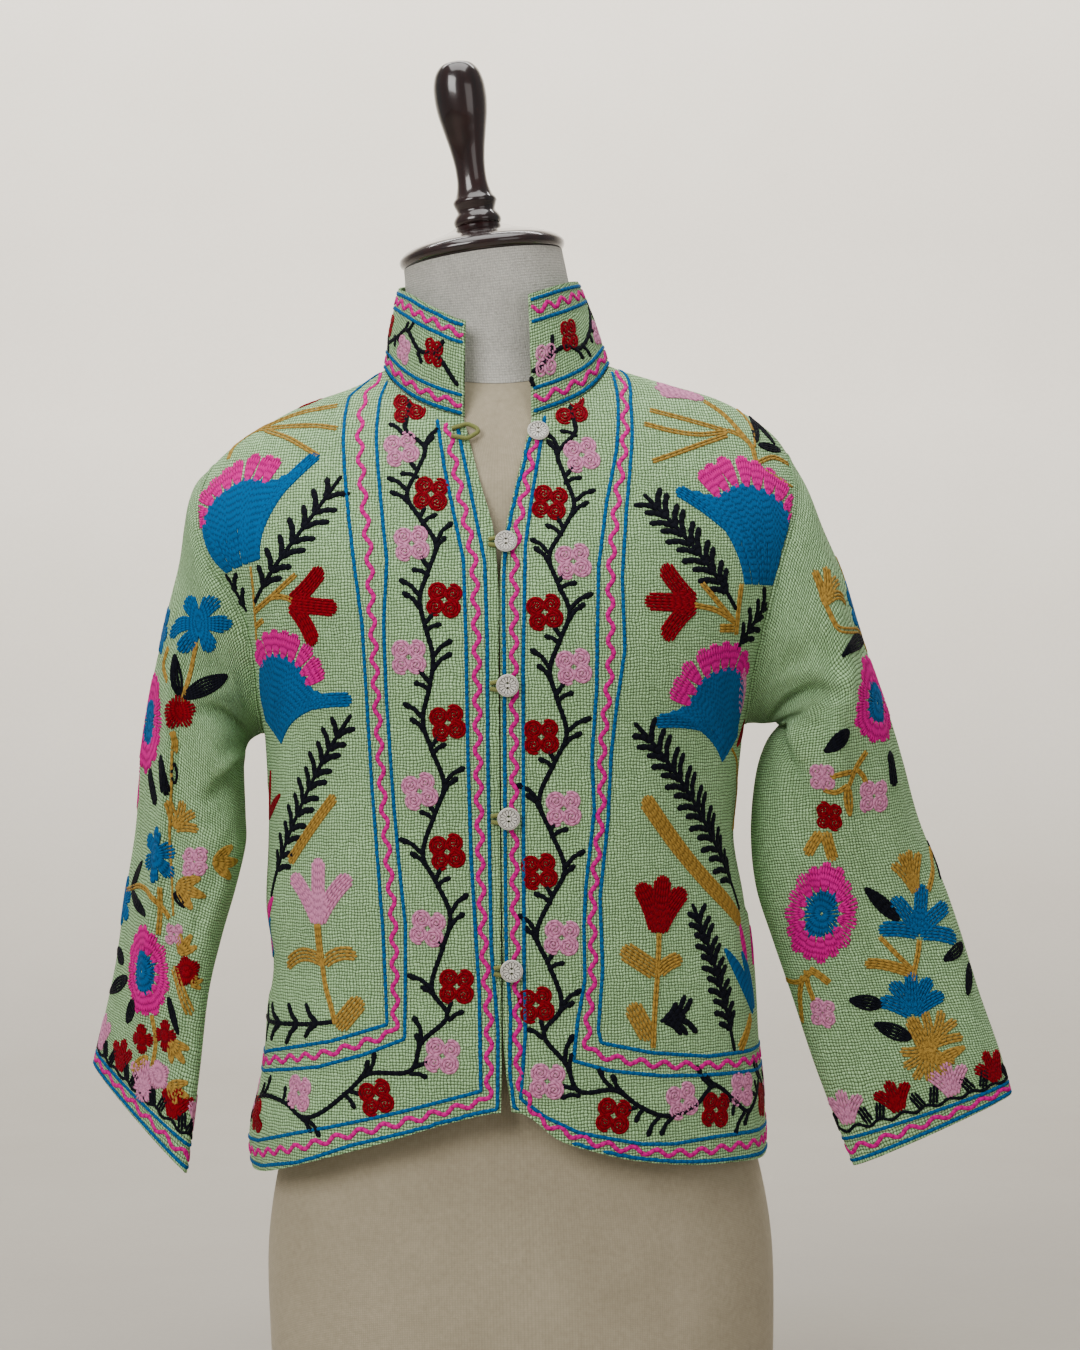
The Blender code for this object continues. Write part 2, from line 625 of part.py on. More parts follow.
def build_front(side, parts, material, seam_normals):
    right_turn, right_height = side_edge(side, "front")
    outer = np.stack([right_turn, right_height], -1)
    inner = front_inner_edge(side, len(outer))
    columns = FRONT_STEPS + 1
    spread = np.linspace(0, 1, columns)
    bottom_turn = inner[0, 0] + (outer[0, 0] - inner[0, 0]) * spread
    bottom_height = read(hem_rows, "turn", "height", bottom_turn)
    bottom = np.stack([bottom_turn, bottom_height], -1)
    inner[0] = bottom[0]
    outer[0] = bottom[-1]
    top_height = inner[-1, 1] + (outer[-1, 1] - inner[-1, 1]) * spread**SHOULDER_EASE
    top = np.stack([np.full(columns, outer[-1, 0]), top_height], -1)
    grid = coons(inner, outer, bottom, top)
    if side == "right":
        grid = grid[:, ::-1]
    points = on_jacket(grid[..., 0], grid[..., 1])
    normals = jacket_normal(grid[..., 0], grid[..., 1])
    seam_column = -1 if side == "left" else 0
    normals[SIDE_STEPS:, seam_column] = seam_normals[side, "front"]
    pull_back(points, 1, seam_column, SEAM_HALF)
    pull_back(points, 0, -1, SEAM_HALF)
    inner_column, beside = (0, 1) if side == "left" else (-1, -2)
    neck = slice(neck_corner(len(outer)), len(outer))
    way = points[neck, beside] - points[neck, inner_column]
    way = way / np.linalg.norm(way, axis=-1, keepdims=True)
    points[neck, inner_column] += way * SEAM_HALF
    return cloth("front_" + side, points, normals, CLOTH_WALL, parts, material)


def build_back(parts, material, seam_normals):
    left_turn, left_height = side_edge("left", "back")
    right_turn, right_height = side_edge("right", "back")
    first = np.stack([left_turn, left_height], -1)
    last = np.stack([right_turn + 360, right_height], -1)
    neck = back_neckline()
    columns = len(neck) + 2 * SHOULDER_STEPS
    spread = np.linspace(0, 1, columns)
    bottom_turn = first[0, 0] + (last[0, 0] - first[0, 0]) * spread
    wrapped = (bottom_turn + 180) % 360 - 180
    bottom = np.stack([bottom_turn, read(hem_rows, "turn", "height", wrapped)], -1)
    first[0], last[0] = bottom[0], bottom[-1]
    tip, side_neck = first[-1, 1], neck_rows[-1].height
    share = np.linspace(0, 1, SHOULDER_STEPS + 1)[:-1]
    slope = tip + (side_neck - tip) * (1 - (1 - share) ** SHOULDER_EASE)
    left_seam = np.stack([np.full(SHOULDER_STEPS, first[-1, 0]), slope], -1)
    right_seam = np.stack([np.full(SHOULDER_STEPS, last[-1, 0]), slope], -1)
    top = np.concatenate([left_seam, neck, right_seam[::-1]])
    grid = coons(first, last, bottom, top)
    wrapped = (grid[..., 0] + 180) % 360 - 180
    points = on_jacket(wrapped, grid[..., 1])
    normals = jacket_normal(wrapped, grid[..., 1])
    normals[SIDE_STEPS:, 0] = seam_normals["left", "back"]
    normals[SIDE_STEPS:, -1] = seam_normals["right", "back"]
    pull_back(points, 1, 0, SEAM_HALF)
    pull_back(points, 1, -1, SEAM_HALF)
    pull_back(points, 0, -1, SEAM_HALF)
    return cloth("back", points, normals, CLOTH_WALL, parts, material)


def sleeve_points(side, rings, angles):
    """Outer points of a sleeve on its rings (0 at the armhole) at angles in degrees."""
    rows = left_sleeve_rows if side == "left" else right_sleeve_rows
    folds = left_sleeve_folds if side == "left" else right_sleeve_folds
    places = np.arange(len(rows), dtype=float)

    def at(name):
        return smooth(rings, places, column(rows, name))

    angle = np.radians(angles)
    share = (1 - np.cos(angle)) / 2
    before = np.sin(angle) > 0
    deep = np.where(before, at("front"), at("back"))
    upper = np.where(share > 0.5, np.abs(np.sin(angle)) ** 1.3, np.abs(np.sin(angle)))
    lower = np.abs(np.sin(angle)) ** 0.85
    settle = np.clip(rings / 4, 0, 1)
    depth = deep * (upper * (1 - settle) + lower * settle)
    x = at("inner_x") + (at("outer_x") - at("inner_x")) * share
    z = at("inner_z") + (at("outer_z") - at("inner_z")) * share
    first = rows[0]
    seam_z = first.inner_z + (first.outer_z - first.inner_z) * share
    straight = first.inner_x + (first.outer_x - first.inner_x) * share
    bulge = read(armhole_rows, "height", side, seam_z) - straight
    x = x + bulge * np.clip(1 - rings / 3.5, 0, 1) ** 1.5
    y = np.where(before, -depth, depth) + at("skew") * (2 * share - 1)
    sign = 1 if side == "left" else -1
    points = np.stack([sign * x, y, z], -1)
    rise = np.zeros(points.shape[:-1])
    for fold in folds:
        along = (rings - fold.ring_from) / (fold.ring_to - fold.ring_from)
        centre = fold.angle_from + (fold.angle_to - fold.angle_from) * along
        away = (angles - centre + 180) % 360 - 180
        near = np.exp(-((away / fold.spread) ** 2))
        rise = rise + fold.rise * fade(along) * near
    middle = np.stack(
        [
            sign * (at("inner_x") + at("outer_x")) / 2,
            np.zeros_like(x),
            (at("inner_z") + at("outer_z")) / 2,
        ],
        -1,
    )
    out = points - middle
    out = out / np.linalg.norm(out, axis=-1, keepdims=True)
    return points + rise[..., None] * out


def tube_normals(points, outward_from):
    """Normals of a grid whose columns close on themselves."""
    around = np.roll(points, -1, 1) - np.roll(points, 1, 1)
    along = np.gradient(points, axis=0)
    normal = np.cross(around, along)
    normal = normal / np.linalg.norm(normal, axis=-1, keepdims=True)
    facing = np.sum(normal * (points - outward_from), -1).sum()
    return normal if facing > 0 else -normal


def sleeve_grid(side):
    last = len(left_sleeve_rows) - 1
    rings = np.linspace(0, last, SLEEVE_RINGS)[:, None]
    angles = np.linspace(0, 360, 2 * ARMHOLE_STEPS + 1)[:-1][None]
    rings, angles = np.broadcast_arrays(rings, angles)
    points = sleeve_points(side, rings, angles)
    return points, tube_normals(points, points.mean(1, keepdims=True))


def seam_directions():
    """Common wall direction along each armhole, for the sleeve and for the panel beside it."""
    shared = {}
    steps = ARMHOLE_STEPS
    for side in ("right", "left"):
        normals = sleeve_grid(side)[1][0]
        shares = (1 - np.cos(np.linspace(0, np.pi, steps + 1))) / 2
        faces = {
            "front": normals[np.arange(steps + 1)],
            "back": normals[-np.arange(steps + 1) % (2 * steps)],
        }
        for face, sleeve_normal in faces.items():
            turn, height = armhole_turn(shares, side, face)
            mixed = sleeve_normal + jacket_normal(turn, height)
            shared[side, face] = mixed / np.linalg.norm(mixed, axis=-1, keepdims=True)
        for end in (0, -1):
            ends = shared[side, "front"][end] + shared[side, "back"][end]
            ends = ends / np.linalg.norm(ends)
            shared[side, "front"][end] = ends
            shared[side, "back"][end] = ends
    return shared


def build_sleeve(side, parts, material, seam_normals):
    points, normals = sleeve_grid(side)
    steps = ARMHOLE_STEPS
    normals[0, : steps + 1] = seam_normals[side, "front"]
    normals[0, steps:] = seam_normals[side, "back"][::-1][:-1]
    pull_back(points, 0, 0, SEAM_HALF)
    return cloth("sleeve_" + side, points, normals, CLOTH_WALL, parts, material, wrap=True)


def back_neckline():
    """Turns and heights round the back of the neck, from the left shoulder seam to the right."""
    turns = np.linspace(90, 270, NECK_STEPS + 1)
    side_neck = neck_rows[-1].height
    lift = np.clip(np.sin(np.radians(turns - 90)), 0, 1) ** 0.8
    return np.stack([turns, side_neck + (HEIGHT_BACK_NECK - side_neck) * lift], -1)


def neckline():
    """Turns and heights of the collar's seam, from its right front over the back to its left."""
    rows = SIDE_STEPS + ARMHOLE_STEPS + 1
    right = front_inner_edge("right", rows)[neck_corner(rows) :]
    left = front_inner_edge("left", rows)[neck_corner(rows) :]
    behind = back_neckline()[::-1][1:-1]
    line = np.concatenate([right, behind, left[::-1]])
    return (line[:, 0] + 180) % 360 - 180, line[:, 1]


def collar_top(turns):
    """Upper edge of the collar above each turn of its seam, which runs right, back, left."""
    along = np.where(turns < turns[0] + 0.01, turns, turns - 360)
    share = (along[0] - along) / (along[0] - along[-1])
    start, end = COLLAR_TOP_END["right"], COLLAR_TOP_END["left"] - 360
    turn = (start + (end - start) * share + 180) % 360 - 180
    angle = np.radians(turn)
    deep = np.where(np.cos(angle) > 0, COLLAR_FRONT, COLLAR_BACK)
    x = COLLAR_CENTRE[0] + COLLAR_HALF_WIDTH * np.sin(angle)
    y = COLLAR_CENTRE[1] - deep * np.cos(angle)
    return np.stack([x, y, read(collar_rows, "turn", "height", turn)], -1)


def build_collar(parts, material):
    turns, heights = neckline()
    base = on_jacket(turns, heights)
    plan = np.degrees(np.arctan2(base[:, 0], -base[:, 1]))
    top = collar_top(plan)
    up = np.linspace(0, 1, COLLAR_ROWS + 1)[:, None, None]
    points = base[None] * (1 - up) + top[None] * up
    middle = np.array([COLLAR_CENTRE[0], COLLAR_CENTRE[1], 0.0])
    outward = points - middle
    outward[..., 2] = 0
    outward = outward / np.linalg.norm(outward, axis=-1, keepdims=True)
    points = points + COLLAR_CROWN * np.sin(np.pi * up) * outward
    across = np.gradient(points, axis=1)
    along = np.gradient(points, axis=0)
    normals = np.cross(across, along)
    normals = normals / np.linalg.norm(normals, axis=-1, keepdims=True)
    if np.sum(normals * outward) < 0:
        normals = -normals
    pull_back(points, 0, 0, SEAM_HALF)
    return cloth("collar", points, normals, COLLAR_WALL, parts, material)


def form_rings():
    """Rings of the dress form's torso, from its flat base to its neck seam."""
    turns = np.linspace(0, 360, FORM_SIDES + 1)[:-1]
    angle = np.radians(turns)
    wrapped = (turns + 180) % 360 - 180
    before = np.cos(angle) > 0
    rings = []
    for level in np.linspace(form_rows[0].height, form_rows[-1].height, FORM_LEVELS):
        wide = read(form_rows, "height", "half_width", level)
        front = read(form_rows, "height", "front", level)
        back = read(form_rows, "height", "back", level)
        x = wide * signed_power(np.sin(angle), 2 / FORM_SQUARENESS)
        x = x + read(form_rows, "height", "middle", level)
        y = -np.where(before, front, back) * signed_power(np.cos(angle), 2 / FORM_SQUARENESS)
        rings.append(np.stack([x, y, np.full(FORM_SIDES, level)], -1))
    inset = CLOTH_WALL + FORM_GAP
    for row in shoulder_rows:
        level = tilted(angle, row.front, row.side, row.back)
        ring = section(wrapped, level) - inset * section_normal(wrapped, level)
        ring[:, 0] = np.clip(ring[:, 0], -FORM_SHOULDER, FORM_SHOULDER)
        rings.append(ring)
    for row in neck_rings:
        x = row.half_width * np.sin(angle)
        y = -np.where(before, row.front, row.back) * np.cos(angle)
        z = tilted(angle, row.z_front, row.z_side, row.z_back)
        rings.append(np.stack([x, y, z], -1))
    return np.stack(rings)


def tilted(angle, front, side, back):
    """Height round a ring that rises smoothly from its front over its sides to its back."""
    end = np.where(np.cos(angle) > 0, front, back)
    return side + (end - side) * np.cos(angle) ** 2


def cap_frame():
    return Matrix.Translation(Vector(CAP_SEAT)) @ Matrix.Rotation(math.radians(CAP_TILT), 4, "Y")


def build_form(parts, materials):
    rings = form_rings()
    solid_loft("form_torso", rings, parts, materials["linen"])
    neck_gap = 0.0003
    base = rings[-1] + [0, 0, neck_gap]
    angle = np.radians(np.linspace(0, 360, FORM_SIDES + 1)[:-1])
    circle = np.stack([np.sin(angle), -np.cos(angle), np.zeros(FORM_SIDES)], -1) * NECK_TOP_RADIUS
    circle[:, 2] = -neck_gap
    frame = np.array(cap_frame())
    top = circle @ frame[:3, :3].T + frame[:3, 3]
    levels = [base]
    for share in (0.30, 0.62, 1.0):
        waist = 1 - 0.020 * math.sin(math.pi * share)
        ring = base * (1 - share) + top * share
        centre = ring.mean(0)
        levels.append(centre + (ring - centre) * [waist, waist, 1])
    solid_loft("form_neck", np.stack(levels), parts, materials["grey"])
    for name, rows, segments in (("neck_cap", cap_rows, 40), ("neck_handle", handle_rows, 24)):
        turned(name, rows, segments, parts, materials["wood"]).matrix_world = cap_frame()


def jacket_frame(x, z, side, out):
    """Frame on the jacket's front: X across, Y up the cloth, Z outwards, moved out by a distance."""
    turn = turn_at(np.array(x), np.array(z), side)
    point = Vector(on_jacket(turn, z).tolist())
    outward = Vector(jacket_normal(turn, z).tolist())
    across = Vector((1, 0, 0)) - outward * outward.x
    across.normalize()
    frame = Matrix((across, outward.cross(across), outward)).transposed().to_4x4()
    frame.translation = point + outward * out
    return frame


def build_button(number, row, parts, cutters, material):
    """Round button with a shallow dished face and two sewing holes."""
    dish, rim = 0.0004, 0.0010
    profile = [
        TurnRow(BUTTON_THICK - dish, 0.0040),
        TurnRow(BUTTON_THICK, BUTTON_RADIUS - rim),
        TurnRow(BUTTON_THICK - rim * 0.6, BUTTON_RADIUS),
        TurnRow(rim * 0.6, BUTTON_RADIUS),
        TurnRow(0.0, BUTTON_RADIUS - rim),
    ]
    name = "button_%d" % number
    button = turned(name, profile, 20, parts, material)
    lift = LOOP_CLEAR
    if row.fastened:
        lift += 2 * LOOP_RADIUS + LOOP_CLEAR
    button.matrix_world = jacket_frame(row.button_x, row.button_z, "left", lift)
    for place in (-HOLE_APART / 2, HOLE_APART / 2):
        work = bmesh.new()
        bmesh.ops.create_cone(
            work, cap_ends=True, segments=8, radius1=HOLE_RADIUS, radius2=HOLE_RADIUS, depth=0.01
        )
        mesh = bpy.data.meshes.new("hole_cutter")
        work.to_mesh(mesh)
        work.free()
        cutter = bpy.data.objects.new("hole_cutter", mesh)
        cutters.objects.link(cutter)
        cutter.hide_render = True
        cutter.display_type = "WIRE"
        cutter.matrix_world = button.matrix_world @ Matrix.Translation((0, place, 0.001))
        cut = button.modifiers.new("Hole", "BOOLEAN")
        cut.object = cutter
    return button


def build_loop(number, path, parts, material):
    """Sewn cord along a path, with closed ends."""
    name = "loop_%d" % number
    curve = bpy.data.curves.new(name, "CURVE")
    curve.dimensions = "3D"
    curve.bevel_depth = LOOP_RADIUS
    curve.bevel_resolution = 1
    curve.use_fill_caps = True
    spline = curve.splines.new("POLY")
    spline.points.add(len(path) - 1)
    for point, place in zip(spline.points, path):
        point.co = (*place, 1.0)
    curve.materials.append(material)
    obj = bpy.data.objects.new(name, curve)
    parts.objects.link(obj)
    weld = obj.modifiers.new("Caps", "WELD")
    weld.merge_threshold = 0.00001
    return obj


def loop_path(row):
    """From the right front, over the front edges, round the button's thread and back."""
    frame = jacket_frame(row.button_x, row.button_z, "left", LOOP_CLEAR + LOOP_RADIUS)
    end = -0.0125
    bend = np.radians(np.linspace(-80, 80, 9))
    flat = [(end, -0.6 * LOOP_BEND), (end * 0.55, -0.92 * LOOP_BEND)]
    flat += [(LOOP_BEND * math.cos(a), LOOP_BEND * math.sin(a)) for a in bend]
    flat += [(end * 0.55, 0.92 * LOOP_BEND), (end, 0.6 * LOOP_BEND)]
    return [seated(frame @ Vector((x, y, 0.0))) for x, y in flat]


def seated(place, clear=LOOP_CLEAR):
    """Moves a point of a cord onto the jacket's front, its own radius and a gap above the cloth."""
    side = "left" if place.x > 0 else "right"
    x, z = np.array(place.x), np.array(place.z)
    turn = turn_at(x, z, side)
    out = clear + LOOP_RADIUS
    return Vector((on_jacket(turn, z) + out * jacket_normal(turn, z)).tolist())


def loose_loop_path():
    """Open triangle of cord that stands out from the right front's edge."""
    reach, half = LOOSE_LOOP_REACH, 0.0058
    flat = [
        (-0.0075, 0.55 * half),
        (-0.0030, 0.75 * half),
        (0.35 * reach, half),
        (0.62 * reach, 0.72 * half),
        (0.90 * reach, 0.16 * half),
        (0.93 * reach, -0.16 * half),
        (0.66 * reach, -0.62 * half),
        (0.35 * reach, -half),
        (-0.0030, -0.75 * half),
        (-0.0075, -0.55 * half),
    ]
    start = jacket_frame(LOOSE_LOOP_X, LOOSE_LOOP_Z, "right", LOOP_CLEAR + LOOP_RADIUS)
    return [seated(start @ Vector((x, y, 0.0)), LOOSE_LOOP_CLEAR) for x, y in flat]


def main():
    for obj in list(bpy.data.objects):
        bpy.data.objects.remove(obj, do_unlink=True)
    parts = bpy.data.collections.new("Embroidered jacket on dress form")
    cutters = bpy.data.collections.new("Cutters")
    for collection in (parts, cutters):
        bpy.context.scene.collection.children.link(collection)
    materials = {
        "cloth": make_material("Sage cotton", "sage", 0.9),
        "linen": make_material("Form linen", "linen", 0.85),
        "grey": make_material("Neck cloth", "grey", 0.9),
        "wood": make_material("Dark wood", "wood", 0.25),
        "enamel": make_material("Enamel", "enamel", 0.4),
        "cord": make_material("Loop cord", "olive", 0.85),
    }
    build_form(parts, materials)
    seams = seam_directions()
    for side in ("right", "left"):
        build_front(side, parts, materials["cloth"], seams)
        build_sleeve(side, parts, materials["cloth"], seams)
    build_back(parts, materials["cloth"], seams)
    build_collar(parts, materials["cloth"])
    for number, row in enumerate(fastening_rows, 1):
        build_button(number, row, parts, cutters, materials["enamel"])
        path = loop_path(row) if row.fastened else loose_loop_path()
        build_loop(number, path, parts, materials["cord"])


main()
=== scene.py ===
# Embroidered jacket on a limbless dress form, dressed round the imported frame.
# Metres, +Z up. The front faces -Y and the wearer's left is +X; right and left are the wearer's.

import math

import bpy
import numpy as np
from mathutils import Matrix, Vector


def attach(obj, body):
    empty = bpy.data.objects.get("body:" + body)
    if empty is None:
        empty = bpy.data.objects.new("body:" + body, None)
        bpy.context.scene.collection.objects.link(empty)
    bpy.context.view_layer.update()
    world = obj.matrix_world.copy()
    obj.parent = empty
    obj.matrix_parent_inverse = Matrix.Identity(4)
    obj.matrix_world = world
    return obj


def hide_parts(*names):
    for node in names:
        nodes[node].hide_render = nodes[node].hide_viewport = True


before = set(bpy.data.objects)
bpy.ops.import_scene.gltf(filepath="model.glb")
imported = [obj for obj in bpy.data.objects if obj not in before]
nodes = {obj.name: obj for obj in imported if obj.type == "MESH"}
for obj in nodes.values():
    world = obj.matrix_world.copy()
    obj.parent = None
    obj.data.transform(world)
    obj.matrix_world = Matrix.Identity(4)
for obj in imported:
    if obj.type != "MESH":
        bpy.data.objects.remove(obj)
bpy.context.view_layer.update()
print("frame loaded:", len(nodes), "nodes")

# The jacket's level sections: height, half widths right and left, depths before and behind the
# side line, squareness of the curve. A half width of 0 is solved from the armhole.
jacket = {
    "rows": np.array([
        [0.185, 0.1935, 0.1905, 0.137, 0.144, 2.35], [0.225, 0.1965, 0.1900, 0.138, 0.143, 2.35],
        [0.255, 0.1890, 0.1885, 0.138, 0.141, 2.35], [0.285, 0.1840, 0.1860, 0.138, 0.139, 2.35],
        [0.315, 0.1815, 0.1850, 0.138, 0.137, 2.35], [0.345, 0.1775, 0.1835, 0.138, 0.135, 2.35],
        [0.390, 0.1825, 0.1780, 0.138, 0.133, 2.35], [0.435, 0.1805, 0.1710, 0.138, 0.132, 2.35],
        [0.480, 0.1785, 0.1745, 0.138, 0.133, 2.35], [0.520, 0.1800, 0.1785, 0.139, 0.135, 2.35],
        [0.560, 0.0, 0.0, 0.139, 0.136, 2.35], [0.600, 0.0, 0.0, 0.136, 0.136, 2.30],
        [0.640, 0.0, 0.0, 0.127, 0.133, 2.20], [0.680, 0.0, 0.0, 0.112, 0.124, 2.05],
        [0.705, 0.0, 0.0, 0.101, 0.115, 1.95], [0.720, 0.2160, 0.2165, 0.094, 0.108, 1.85],
        [0.735, 0.1995, 0.2060, 0.087, 0.100, 1.70], [0.750, 0.1760, 0.1880, 0.079, 0.092, 1.52],
        [0.765, 0.1460, 0.1600, 0.070, 0.084, 1.38], [0.778, 0.1080, 0.1180, 0.063, 0.077, 1.46],
        [0.790, 0.0865, 0.0835, 0.060, 0.072, 1.85], [0.806, 0.0790, 0.0770, 0.058, 0.069, 2.00],
    ]),
    # height, how far out each armhole seam lies, right and left
    "armhole": np.array([
        [0.519, 0.1800, 0.1785], [0.545, 0.1815, 0.1815], [0.575, 0.1830, 0.1870],
        [0.600, 0.1870, 0.1930], [0.625, 0.1985, 0.1995], [0.650, 0.2150, 0.2070],
        [0.675, 0.2230, 0.2150], [0.700, 0.2225, 0.2180], [0.720, 0.2160, 0.2165],
    ]),
    "armholeDepth": {"front": 0.064, "back": 0.070},
    # share of the way up, height, x of the right and left front's edge
    "edge": np.array([
        [0.00, 0.250, -0.0062, 0.0016], [0.08, 0.290, -0.0050, -0.0030],
        [0.20, 0.360, -0.0042, -0.0030], [0.34, 0.460, -0.0034, -0.0022],
        [0.48, 0.560, -0.0024, -0.0010], [0.57, 0.632, -0.0020, 0.0000],
        [0.62, 0.660, -0.0040, 0.0034], [0.69, 0.700, -0.0142, 0.0127],
        [0.76, 0.7465, -0.0255, 0.0245],
    ]),
    "neck": np.array([
        [0.76, 0.7465, 0.0255, 0.0245], [0.83, 0.7555, 0.0500, 0.0485],
        [0.89, 0.7650, 0.0660, 0.0650], [0.95, 0.7780, 0.0790, 0.0770],
        [1.00, 0.7900, 0.0865, 0.0835],
    ]),
    # turn from centre front, height of the hem
    "hem": np.array([
        [-180, 0.216], [-135, 0.211], [-90, 0.199], [-66, 0.2005], [-44, 0.2130], [-24, 0.2290],
        [-8, 0.2450], [-1, 0.2505], [1, 0.2505], [7, 0.2320], [16, 0.2200], [34, 0.2085],
        [56, 0.2045], [90, 0.2030], [135, 0.212], [180, 0.216],
    ]),
    # upper turn and height, lower turn and height, rise, half width in degrees
    "folds": [
        (-60, 0.515, -70, 0.235, 0.0035, 8), (-84, 0.480, -80, 0.330, -0.0030, 7),
        (-40, 0.470, -46, 0.190, 0.0028, 10), (58, 0.515, 67, 0.200, 0.0032, 8),
        (80, 0.500, 84, 0.380, -0.0030, 6), (36, 0.450, 40, 0.195, -0.0022, 9),
        (-112, 0.515, -118, 0.190, 0.0050, 8), (-136, 0.510, -134, 0.190, -0.0050, 9),
        (-158, 0.460, -154, 0.190, 0.0055, 9), (-178, 0.560, -176, 0.190, -0.0040, 8),
        (164, 0.430, 161, 0.190, 0.0060, 8), (140, 0.510, 143, 0.190, -0.0045, 9),
        (118, 0.510, 122, 0.190, 0.0055, 9), (-146, 0.690, -135, 0.540, 0.0040, 6),
        (147, 0.690, 134, 0.540, 0.0040, 6),
    ],
    "backNeck": 0.797,
    "ventTop": 0.262,
    "seamHalf": 0.00025,
    "inset": 0.0005,  # the ground's face below the solid's, so that the thread ends level with it
    "wall": 0.0011,
}

